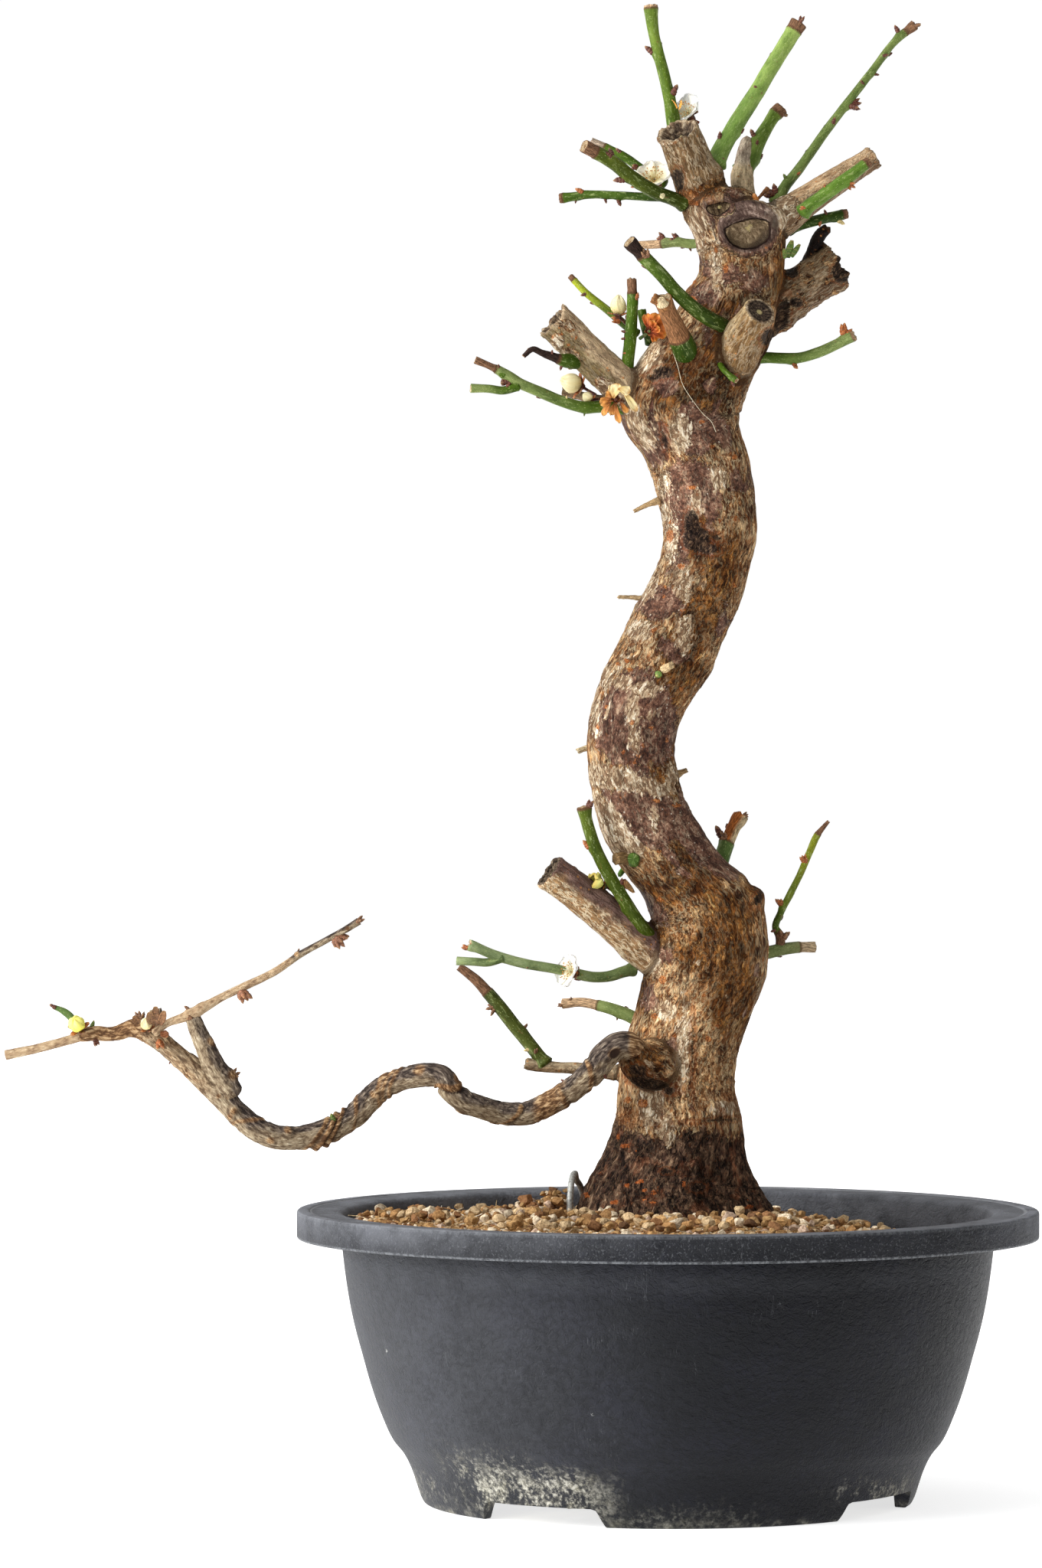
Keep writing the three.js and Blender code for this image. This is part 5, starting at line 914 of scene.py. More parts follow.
def oval_tube(centre, ax, ay, thick, a0=0, a1=360, n=40, sides=12):
    """Closed skin of a bead along an oval arc; thick is its radius at each degree."""
    full = a1 - a0 >= 360
    A = np.radians(np.linspace(a0, a1, n, endpoint=not full))
    c, ax, ay = (np.asarray(x, float) for x in (centre, ax, ay))
    P = c + np.cos(A)[:, None] * ax + np.sin(A)[:, None] * ay
    T = unit(-np.sin(A)[:, None] * ax + np.cos(A)[:, None] * ay)
    up = unit(np.cross(ax, ay))
    side = np.cross(T, up)
    r = np.array([thick(math.degrees(a)) for a in A])
    B = np.arange(sides) * 2 * np.pi / sides
    rings = P[:, None] + r[:, None, None] * (np.cos(B)[None, :, None] * side[:, None] + np.sin(B)[None, :, None] * up)
    if not full:
        return skin(rings)
    v = rings.reshape(-1, 3)
    i, j = np.meshgrid(np.arange(n), np.arange(sides), indexing="ij")
    f = lambda a, b: (a % n) * sides + b % sides
    q = np.stack([f(i, j), f(i, j + 1), f(i + 1, j + 1), f(i + 1, j)], -1).reshape(-1, 4)
    return v, q, np.zeros((0, 3), int)


# Skin of the pruned stubs: colour on the upper and on the lower side, where it starts and is full (mm from the root), streaks below.
STUB_SKIN = {"stub_left_big": [(186, 162, 130), (116, 100, 68), 2.5, 10, 0.2], "stub_crown_left": [(142, 118, 86), (116, 92, 64), 12, 20, 0.45], "stub_low_left": [(112, 88, 80), (160, 127, 90), 4, 10, 1.0],
             "stub_mid_left_small": [(164, 146, 118), (140, 118, 90), 2, 5, 0.15], "stub_crown_back": [(206, 184, 150), (182, 158, 126), 2, 6, 0.0],
             "stub_front_cut": [(172, 148, 108), (124, 96, 62), 1, 4, 0.35], "stub_crown_right": [(170, 140, 106), (120, 94, 68), 5, 10, 0.35],
             "stub_right_big": [(138, 114, 86), (104, 80, 58), 8, 16, 0.35], "stub_dead_black": [(30, 24, 22), (24, 19, 17), 0, 2, 0.0],
             "stub_hidden_left": [(120, 104, 78), (110, 92, 70), 2, 5, 0.0]}


def skin_of_stubs(names, limbs, owner, coords, v, n):
    """How smooth and young the bark is, its colour and how strongly it is streaked."""
    young, streak = np.zeros(len(v)), np.zeros(len(v))
    tint = np.tile(np.array(rgb(128, 104, 78)[:3]), (len(v), 1))
    for name, (top, low, s0, s1, st) in STUB_SKIN.items():
        if name not in names:
            continue
        k = names.index(name)
        m = owner == k
        s_ = coords[k][:, 2] - 53 * k
        amount = smooth(s_, s0, s1) * m
        up = smooth(n[:, 2] - 0.25 * n[:, 1] + 0.25 * fbm(v / 5.0, 2), -0.1, 0.45)[:, None]
        c = np.array(rgb(*top)[:3]) * up + np.array(rgb(*low)[:3]) * (1 - up)
        young = np.where(m, amount, young)
        tint = np.where(m[:, None], c, tint)
        streak = np.where(m, st * (1 - up[:, 0]) if name == "stub_low_left" else st, streak)
        if name == "stub_crown_back":      # its upper half is dead and grey
            tint = np.where(m[:, None], tint + (np.array(rgb(178, 162, 144)[:3]) - tint) * smooth(v[:, 2], 540, 544)[:, None], tint)
        if name == "stub_right_big":
            young = np.where(m, young * smooth(fbm(v / 4.0 + 3, 2), -0.5, 0.1) * 0.8, young)
    return young, tint, streak


def build_trunk():
    table = np.array(TRUNK)[::-1]
    fine = through(table, np.linspace(0, len(table) - 1, (len(table) - 1) * 12 + 1))
    zz = np.arange(fine[0, 0], fine[-1, 0], 1.3)
    fine = np.stack([np.interp(zz, fine[:, 0], fine[:, k]) for k in range(5)], 1)
    A = np.arange(80) * 2 * np.pi / 80
    flare = smooth(fine[:, 0], 150, 116)[:, None]
    lobes = 1 + flare * (0.045 * np.cos(3 * A - 0.9) + 0.035 * np.cos(5 * A + 0.6) + 0.02 * np.cos(8 * A))[None]
    rings = np.stack([fine[:, 1, None] + fine[:, 3, None] * lobes * np.cos(A), fine[:, 2, None] + fine[:, 4, None] * lobes * np.sin(A),
                      np.repeat(fine[:, 0, None], 80, 1)], -1)
    parts = [skin(rings)]
    main = Limb(np.stack([fine[:, 1], fine[:, 2], fine[:, 0], 0.5 * (fine[:, 3] + fine[:, 4])], 1)[::3], 1.0)
    limbs = {"trunk": main}
    for name, path in WOOD_LINES.items():
        if name in BRANCH_PIECE:
            if name != "branch_long":
                continue
            path = [path[0], [51.6, -21.0, 178.0, 10.0], [46.3, -28.5, 180.4, 7.7], [43.2, -32.0, 184.6, 5.2], [41.0, -34.0, 185.3, 4.4]]
        if name == "stub_left_big":
            path = [[*at(x, y, d), r * (2531 + d) / 8157] for x, y, d, r in ((865, 546, 0, 30), (827.4, 516, -3, 28), (789.8, 483, -6, 25.5), (755.8, 450.5, -9, 24.5),
                                                                            (735.5, 431, -11, 25), (722.4, 419, -12, 25))]
        if name == "stub_low_left":
            path = [[*p_[:2], p_[2] - 1.2, p_[3] * 0.93] for p_ in path]
        limb = Limb(path, 0.9)
        limbs[name] = limb
        sides = 48 if path[0][3] > 5 else 24
        v, q, t, *_ = tube(limb, sides, end_cap=((0.97, 0.0), (0.7, 0.0), (0.35, 0.0)) if name != "stub_crown_back" else ((0.9, 0.45), (0.6, 0.8), (0.25, 0.95)))
        parts.append((v, q, t))
    # swollen lips round the two healed wounds at the crown
    lip = lambda a: 2.1 + 1.7 * math.exp(-(((a - 70) % 360 - 180) / 90) ** 2 * 0 - ((((a - 70) + 180) % 360 - 180) / 95) ** 2)
    parts.append(oval_tube(at(978, 303, -20.6), (10.6, 0.4, 1.9), (-1.6, -1.2, 8.7), lip, n=64, sides=16))
    parts.append(oval_tube(at(975, 300, -22.2), (8.0, 0.6, 1.6), (-1.4, -1.4, 6.6), lambda a: 1.9, 10, 165, n=30))
    parts.append(oval_tube(at(941, 271, -16.2), (5.6, -1.2, -1.0), (0.7, -0.8, 4.0), lambda a: 1.8 + 0.5 * math.cos(math.radians(a - 120)), n=44))
    step = 1.12
    v, q = voxel_union(parts, step)
    v = relax(v, q, 4)
    n = normals(v, q)
    # straightened coordinates: the limb whose bark a point belongs to, blended over a narrow belt
    rho, coords, names = [], [], list(limbs)
    for k, name in enumerate(names):
        L = limbs[name]
        c = L.local(v)
        over = np.maximum(c[:, 0] - L.L, 0) + np.maximum(-c[:, 0], 0)
        rho.append(np.hypot(c[:, 3], over) / np.maximum(c[:, 4], 1) + (0.0 if k == 0 else 0.03) + over / 6)
        coords.append(np.stack([c[:, 1] + 37 * k, c[:, 2] + 11 * k, c[:, 0] + 53 * k], 1))
    rho, coords = np.array(rho), np.array(coords)
    rho = abs(rho - 1) + np.where(rho < 0.75, 3, 0)
    w = np.exp(-(rho - rho.min(0)) / 0.010)
    w /= w.sum(0)
    ga = (coords * w[..., None]).sum(0)
    owner = w.argmax(0)
    px, py = to_px(v)
    front = smooth(-n[:, 1], -0.25, 0.1)
    back = 1 - front
    lump = fbm(ga / (10, 10, 17), 3)
    rnd1 = fbm(ga / (15, 15, 26) + 40, 3) * 16 - 3.2
    rnd2 = fbm(ga / (9, 9, 20) + 80, 3) * 13 - 3.4
    plum = front * np.maximum(spots(px, py, PLUM) + 1.2, rnd1 - 3.4) + back * rnd1
    cream = front * np.maximum(spots(px, py, CREAM) + 1.05, rnd2 - 2.8) + back * rnd2
    d1, _ = cells(ga / (9, 9, 8))
    rust = front * np.maximum(spots(px, py, RUST), (0.13 - d1) * 9 - 0.6) + back * np.maximum(-6, (0.19 - d1) * 9)
    # holes, and painted shade under the burl
    hole = front * spots(px, py, HOLES_AND_SHADE) - 6 * back
    umber = np.maximum(smooth(front * spots(px, py, UMBER) + back * -6, -2.5, 3.0), smooth(fbm(ga / (16, 16, 22) + 120, 2), 0.15, 0.6) * 0.5)
    ruddy = np.where(front > 0.2, spots(px, py, RUDDY), -6)
    # painted shade under the stubs, on the front only
    painted_shade = np.where(front > 0.2, spots(px, py, PAINTED_SHADE), -6)
    # painted highlight on the front, which also fades the umber there
    light = np.maximum(smooth(spots(px, py, PAINTED_LIGHT), -2.5, 3.0), 0.5 * smooth(spots(px, py, PAINTED_HALF_LIGHT), -2.5, 3.0)) * front
    umber = umber * (1 - light)
    edge = np.interp(px, [p[0] for p in FOOT_EDGE], [p[1] for p in FOOT_EDGE]) + back * 10
    foot = np.clip((py - edge) * 0.31, -6, 8)
    foot = np.where(py > 1400, foot, -6)
    # sawn and broken ends
    cut = np.zeros(len(v))
    face = np.zeros((len(v), 3))
    # dryness of the face, pale rim, depth of the hollow, raggedness of the edge
    ENDS = {"stub_crown_left": (0.05, 0.75, 3.2, 1.5), "stub_left_big": (0.5, 0.4, 2.2, 2.2), "stub_low_left": (0.12, 0.1, 0.8, 1.6),
            "stub_front_cut": (0.0, 0.8, 0.8, 0.0), "stub_right_big": (0.0, 0.0, 1.0, 3.4), "stub_crown_right": (0.5, 0.4, 0.6, 0.8),
            "wound_crown": (0.22, 0.0, 1.6, 0.0), "stub_mid_left_small": (0.8, 0.0, 0.3, 0.3), "stub_hidden_left": (0.6, 0.0, 0.3, 0.3),
            "stub_dead_black": (0.0, 0.0, 0.0, 1.5)}
    ragged = np.zeros(len(v))
    push = np.zeros((len(v), 3))
    for name, (dry, pale_rim, hollow, rag) in ENDS.items():
        L = limbs[name]
        P, T, R = L.P[-1], L.T[-1], L.R[-1]
        d = v - P
        along = d @ T
        a, b = d @ L.N[-1], d @ L.B[-1]
        r = np.hypot(a, b)
        near = (abs(along) < 4) & (r < R * 1.25)
        facing = smooth(n @ T, 0.45, 0.8)
        m = near * facing * smooth(r, R * 1.02, R * 0.9)
        big = m > cut
        cut = np.maximum(cut, m)
        rim = smooth(r / R, 0.74, 0.92) * pale_rim
        if name == "stub_crown_left":
            rim = rim + 0.5 * smooth(-a, -1, 4) * smooth(noise(np.stack([a / 2.2, b / 2.2, a * 0], 1)), -0.2, 0.3)
        face[big] = np.stack([a, b, np.clip(dry + rim, 0, 1) * np.ones(len(v))], 1)[big]
        ang = np.arctan2(b, a)
        if rag:
            jag = fbm(np.stack([np.cos(ang) * 2.0 + R, np.sin(ang) * 2.0, r / 4.0], 1), 3) * rag - 0.35 * rag + 0.4 * rag * smooth(r / R, 0.5, 1.0)
            if name == "stub_left_big":       # one long splinter is left standing at the top
                jag += 2.2 * np.exp(-(((ang - math.atan2(0.9, 0.1) + math.pi) % (2 * math.pi) - math.pi) / 0.5) ** 2) * smooth(r / R, 0.5, 0.9)
            push += (near * smooth(along, -4, 0))[:, None] * (jag[:, None] * T)
        if name in ("stub_right_big", "stub_dead_black"):
            ragged = np.maximum(ragged, near * smooth(along, -2.5, -0.2) * (1.0 if name == "stub_dead_black" else smooth(noise(v / 3.0), -0.2, 0.3)))
        crack = abs(noise(np.stack([ang * 2.4, ang * 0, np.zeros(len(ang)) + R], 1)))
        push += (m * (-0.4 * smooth(crack, 0.12, 0.0) - hollow * smooth(r / R, 0.93, 0.35)))[:, None] * T
        if pale_rim:
            lip_ = near * smooth(abs(along + 0.8), 1.6, 0.4) * smooth(r / R, 0.85, 0.97) * (1 - facing * 0.4)
            push += (0.4 * lip_)[:, None] * n
    hole = np.maximum(hole, ragged * 3 - 1.5)
    plum_m = smooth(plum, -0.6, 1.0)
    # modelled relief: long fibres, plates parted by crevices, lumps
    wv = ga + 1.5 * np.stack([fbm(ga / (7, 7, 10) + 5, 2), fbm(ga / (7, 7, 10) + 25, 2), fbm(ga / 8 + 45, 2)], 1)
    fibre = noise(wv / (1.7, 1.7, 4.6))
    c1, c2 = cells(wv / (3.2, 3.2, 7.5))
    crack = smooth(c2 - c1, 0.14, 0.0) * smooth(fbm(ga / (12, 12, 16) + 9, 2), -0.15, 0.25)
    calm = np.clip(1 - 0.85 * plum_m, 0.1, 1) * (1 - 0.8 * cut)
    fib_foot = smooth(foot, -1, 1)
    young, tint, streak = skin_of_stubs(names, limbs, owner, coords, v, n)
    young *= 1 - 0.95 * smooth(cream, -0.8, 0.8) * front * ((owner == names.index("stub_left_big")) | (owner == names.index("stub_crown_left")) | (owner == names.index("stub_crown_right")))
    calm = calm * (1 - 0.75 * young)
    h = 0.7 * lump + (0.26 + 0.1 * fib_foot) * fibre * calm - (0.32 + 0.3 * fib_foot) * crack * calm - 0.25 * plum_m + 0.3 * smooth(cream, -0.5, 1.0) * (1 - plum_m)
    h += 0.35 * smooth(rust, -0.3, 0.5)
    h += fib_foot * 0.5 * noise(wv / (3.4, 3.4, 26))
    h += (relief(px, py, BUMPS) - relief(px, py, DENTS)) * front
    # twisted bark round the burl under the long branch, and gnarled bark on the big right stub
    bx, by = px - 852, (py - 1378) * 1.05
    br = np.hypot(bx, by)
    swirl = np.sin(br / 2.4 + 0.8 * np.arctan2(by, bx)) * smooth(abs(br - 32), 16, 4) * front
    h += 0.5 * swirl
    gnarl = (owner == names.index("stub_right_big")) * smooth(v[:, 0], 90, 98)
    h += gnarl * (1.5 * fbm(v / (6, 6, 4.5), 3) + 0.9 * noise(ga / (3.5, 3.5, 26) + 3))
    h *= 1 - 0.85 * cut
    v2 = v + n * h[:, None] + push
    # painted shade: depth of the crevices, which darkens their colour
    crev = np.clip(crack * calm + smooth(-fibre, 0.2, 0.8) * 0.45 * calm, 0, 1.2)
    # a slow change of tone, raised by the swirl and by the painted highlight
    tone = 0.5 + 0.55 * fbm(ga / (22, 22, 40) + 60, 2) + 0.35 * swirl + 0.4 * light
    # the two healed wounds, in the shape of the larger: across, up, and where they are
    scar = np.zeros((len(v), 3))
    for cx, cy, rx, ry, deep in ((977, 300, 30, 26, 1.0), (939, 271, 16, 11, 0.5)):
        sx, sy = (px - cx) / rx, (cy - py) / ry
        r2 = np.hypot(sx, sy - 0.12)
        on = (r2 < (1.5 if deep == 1.0 else 1.4)) & (v[:, 1] < -4) & (n[:, 1] < 0.1)
        scar[on] = np.stack([sx, sy, np.full(len(sx), 1.0 if deep == 1.0 else 0.8)], 1)[on]
        fold_y = 0.5 - 0.21 * (sx - 0.43) ** 2
        over_lip = on * front * smooth(r2, 1.36, 1.1) * smooth(sy - fold_y, -0.05, 0.25)
        v2 += n * (deep * (1.5 * over_lip + 0.7 * on * front * smooth(abs(r2 - 1.15), 0.25, 0.05) - 0.5 * on * front * smooth(r2, 0.95, 0.7)))[:, None]
    vals = {"ga": ga, "plum": plum, "cream": cream, "rust": rust, "hole": hole, "foot": foot, "cut": cut, "face": face,
            "crev": crev, "tone": np.clip(tone, 0, 1), "young": young, "tint": tint, "streak": streak, "umber": umber, "light": light, "ruddy": ruddy, "deep": painted_shade, "scar": scar}
    g = Geo()
    g.add(v2, q, None, 0, **vals)
    print("trunk", len(v), "points", len(q) * 2, "triangles")
    return g, limbs
# ------------------------------------------------------------------ small growth: buds, scales, twigs

def basis(axis, hint=(0.0, -1.0, 0.0)):
    a = unit(axis)
    h = np.asarray(hint, float)
    if abs(a @ h) > 0.95:
        h = np.array([1.0, 0.0, 0.0])
    x = unit(h - a * (a @ h))
    return x, np.cross(a, x), a


BUD_R = np.array([0.55, 0.9, 1.0, 0.84, 0.97, 0.93, 0.74, 0.8, 0.66, 0.42, 0.2])
BUD_Z = np.array([0.0, 0.07, 0.2, 0.25, 0.36, 0.48, 0.53, 0.64, 0.78, 0.91, 1.0])


def add_bud(geo, place, axis, length, radius, mat, tint, sides=10, seed=0):
    """A pointed winter bud of overlapping scales."""
    x, y, a = basis(axis)
    A = np.arange(sides) * 2 * np.pi / sides
    ph = seed * 1.7
    rings = []
    for r, z in zip(BUD_R, BUD_Z):
        rr = radius * r * (1 + 0.09 * np.cos(3 * A + ph + z * 5) + 0.04 * np.cos(5 * A - ph))
        zz = length * (z + 0.035 * np.cos(2 * A + ph + z * 9))
        rings.append(np.asarray(place) + rr[:, None] * (np.cos(A)[:, None] * x + np.sin(A)[:, None] * y) + zz[:, None] * a)
    v, q, t = skin(np.array(rings), np.asarray(place) - a * 0.1 * length, np.asarray(place) + a * length * 1.06)
    ga = np.concatenate([np.repeat(BUD_Z, sides), [0, 1.06]])
    geo.add(v, q, t, mat, ga=np.stack([np.zeros(len(v)), np.full(len(v), float(seed)), ga], 1), tint=np.array(tint))


def add_scale(geo, place, axis, out, length, width, mat, tint, seed=0):
    """A dry, boat-shaped scale or bract."""
    a, o = unit(axis), unit(out)
    o = unit(o - a * (a @ o))
    s = np.cross(a, o)
    U = np.linspace(0, 1, 7)
    W = np.linspace(-1, 1, 6)
    rings = []
    for u in U:
        w = width * (0.25 + math.sin(math.pi * min(u * 0.8 + 0.12, 1)) * 0.8)
        c = np.asarray(place) + a * length * u + o * length * 0.35 * u ** 2
        top = [c + s * w * k - o * 0.25 * width * (1 - k * k) for k in W]
        bot = [c + s * w * k * 0.98 - o * (0.25 * width * (1 - k * k) + 0.12) for k in W[::-1]]
        rings.append(top + bot)
    v, q, t = skin(np.array(rings)[:, ::-1])
    geo.add(v, q, t, mat, ga=np.stack([np.zeros(len(v)), np.full(len(v), float(seed)), np.concatenate([np.repeat(U, 12), [0, 1]])], 1), tint=np.array(tint))


def add_cluster(geo, place, axis, size, mat, tint, seed, count=4):
    rng = np.random.default_rng(seed)
    x, y, a = basis(axis)
    for k in range(count):
        ang = 2.4 * k + seed
        tilt = 0.25 + 0.55 * rng.random() if k else 0.0
        d = a * math.cos(tilt) + (x * math.cos(ang) + y * math.sin(ang)) * math.sin(tilt)
        p = np.asarray(place) + (d - a * 0.9) * size * 0.22
        add_bud(geo, p, d, size * (0.75 + 0.35 * rng.random()), size * (0.24 + 0.07 * rng.random()), mat,
                np.array(tint) * (0.8 + 0.5 * rng.random()), 8, seed + k)


def on_bark(limb, px, py, sink=0.15):
    """The place on a limb's bark seen nearest to a picture place, and its outward direction."""
    lx, ly = to_px(limb.P)
    i = int(np.hypot(lx - px, ly - py).argmin())
    k = (EYE + limb.P[i, 1]) / FOCAL
    d = np.array([(px - lx[i]) * k, 0.0, -(py - ly[i]) * k])
    d -= limb.T[i] * (d @ limb.T[i])
    off = min(np.linalg.norm(d), limb.R[i])
    side = unit(d) if np.linalg.norm(d) > 0.05 else np.array([0.0, 0.0, 0.0])
    depth = math.sqrt(max(limb.R[i] ** 2 - off ** 2, 0.0))
    toward = np.array([0.0, -1.0, 0.0])
    toward = unit(toward - limb.T[i] * (toward @ limb.T[i]))
    p = limb.P[i] + side * off + toward * depth
    out = unit(p - limb.P[i])
    return limb.P[i] + out * limb.R[i] * (1 - sink), out, limb.S[i], i


RED, ORANGE, DRY, GREEN_T, CREAM_T = (rgb(*c)[:3] for c in ((84, 40, 28), (150, 84, 38), (104, 72, 48), (78, 104, 38), (214, 198, 140)))


def make_bud_material():
    s = Shade("bud_scales", (0.45, 0.2, 0.12))
    x, seed, u = s.split(s.attr("ga", True))
    o = s.where()
    n = s.noise(o, 1.6, 3.0, 0.6)
    col = s.mix(1.0, s.attr("tint", True), s.ramp(n, [(0.32, (0.45, 0.42, 0.42, 1)), (0.55, (1.1, 1.05, 1.0, 1)), (0.72, (2.1, 2.0, 1.9, 1))]), "MULTIPLY")
    band = s.math("FRACT", s.math("MULTIPLY", u, 3.6))
    col = s.mix(s.map(band, 0.7, 1.0, 0, 0.6), col, s.mix(0.5, col, rgb(206, 160, 112)))
    col = s.mix(s.map(u, 0.8, 1.05, 0, 0.7), col, s.mix(0.6, col, rgb(222, 178, 120)))
    b = s.bump(s.math("ADD", n, s.math("MULTIPLY", band, -0.5)), 0.25, 0.7)
    return s.done(**{"Base Color": col, "Roughness": 0.55, "Normal": b, "Specular IOR Level": 0.4})


# ------------------------------------------------------------------ the long wired branch

CREASES = [(437, 1482, 5.6, 1.5), (446, 1474, 5.6, 0.9), (425, 1488, 5.6, 0.7), (504, 1424, 4.2, 0.5), (520, 1412, 4.2, 0.55), (582, 1427, 3.2, 1.3), (668, 1456, 5.0, 0.8), (741, 1427, 1.2, 0.6), (767, 1395, 4.6, 0.75), (512, 1420, 4.4, 0.5),
           (470, 1450, 4.6, 0.35), (704, 1440, 3.0, 0.35), (330, 1470, 4.0, 0.35)]
BRANCH_KNOTS = [(491, 1427, 2.0, 1.1), (601, 1454, 1.9, 0.9), (803, 1376, 2.8, 0.3), (307, 1451, 1.9, 1.2), (303, 1459, 1.7, 0.9), (373, 1476, 2.4, 1.5),
                (245, 1405, 1.6, 0.7), (416, 1496, 3.6, 0.9), (176, 1338, 3.4, 1.2), (160, 1352, 2.6, 0.6), (598, 1412, 3.0, 0.7), (228, 1392, 1.4, 0.5),
                (287, 1432, 1.4, 0.5), (352, 1488, 1.8, 0.5), (438, 1490, 1.6, 0.5), (556, 1397, 3.2, 0.5), (276, 1361, 2.6, 1.1), (303, 1404, 3.2, 1.7)]
TWIG_LUMPS = [(389, 1246, 1.3, 0.9), (357, 1268, 1.0, 0.4), (262, 1314, 2.2, 0.8), (246, 1320, 1.6, 0.7), (455, 1212, 1.2, 0.5), (349, 1276, 0.9, 0.5)]


def make_branch_material():
    s = Shade("branch_bark", (0.4, 0.33, 0.25))
    g = s.attr("ga", True)
    crev, upper, tan, dead = s.attr("crev"), s.attr("upper"), s.attr("tan"), s.attr("dead")
    w = s.warp(g, 1.5, 0.3, 2.0)
    fib = s.noise(s.vmul(w, (0.9, 0.9, 0.24)), 1.0, 3.0, 0.62)
    fib2 = s.noise(s.vmul(w, (1.8, 1.8, 0.5)), 1.0, 2.0, 0.6)
    h = s.math("ADD", s.math("MULTIPLY", fib, 0.6), s.math("MULTIPLY", fib2, 0.4))
    # painted shade: darker in the cracks and creases
    hc = s.math("SUBTRACT", h, s.math("MULTIPLY", crev, 0.15))
    low = s.ramp(hc, [(0.34, rgb(98, 80, 62)), (0.42, rgb(134, 115, 91)), (0.5, rgb(158, 140, 114)), (0.57, rgb(180, 163, 135)), (0.65, rgb(212, 198, 172))])
    up = s.ramp(hc, [(0.34, rgb(44, 36, 32)), (0.42, rgb(72, 61, 54)), (0.5, rgb(98, 85, 75)), (0.58, rgb(136, 121, 106)), (0.66, rgb(196, 182, 160))])
    patch = s.math("MULTIPLY", s.math("SUBTRACT", s.noise(s.vmul(w, (0.22, 0.22, 0.1)), 1.0, 3.0, 0.6), 0.5), 0.9)
    col = s.mix(s.map(s.math("ADD", upper, patch), 0.36, 0.66), low, up)
    tan_c = s.ramp(hc, [(0.38, rgb(92, 64, 42)), (0.48, rgb(148, 112, 76)), (0.6, rgb(208, 176, 134))])
    col = s.mix(s.map(s.math("ADD", tan, s.math("MULTIPLY", patch, 0.7)), 0.3, 0.7), col, tan_c)
    dead_c = s.ramp(s.math("ADD", s.math("MULTIPLY", h, 0.7), s.math("MULTIPLY", s.noise(g, 0.35, 2.0, 0.5), 0.3)),
                    [(0.38, rgb(122, 96, 74)), (0.47, rgb(168, 140, 108)), (0.56, rgb(196, 170, 136)), (0.66, rgb(226, 206, 174))])
    col = s.mix(s.map(dead, 0.4, 0.6), col, dead_c)
    # a knot hole, and the creases darkened as painted shade
    col = s.mix(s.map(s.attr("hole"), 0.3, 0.8), col, rgb(52, 36, 28))
    cg = s.attr("face", True)
    cut_c = s.ramp(s.noise(s.warp(cg, 1.0, 0.8), 1.4, 3.0, 0.6), [(0.35, rgb(92, 70, 52)), (0.5, rgb(160, 128, 98)), (0.65, rgb(206, 180, 146))])
    col = s.mix(s.map(s.attr("cut"), 0.4, 0.6), col, cut_c)
    b = s.bump(h, 1.7, 0.85)
    b = s.bump(s.noise(g, 3.4, 2.0, 0.6), 0.25, 0.6, b)
    return s.done(**{"Base Color": col, "Roughness": 0.8, "Normal": b, "Specular IOR Level": 0.16})


def px_lumps(limb, lumps):
    """Lumps given by picture places, as (distance along, angle, radius, height)."""
    out = []
    for px, py, r, h in lumps:
        p, o, s, i = on_bark(limb, px, py)
        near = np.hypot(*(np.array(to_px(limb.P[i][None])).ravel() - (px, py)))
        if near > 3.2 * limb.R[i] / 0.31:
            continue
        out.append((s, math.atan2(o @ limb.B[i], o @ limb.N[i]), r, h))
    return out


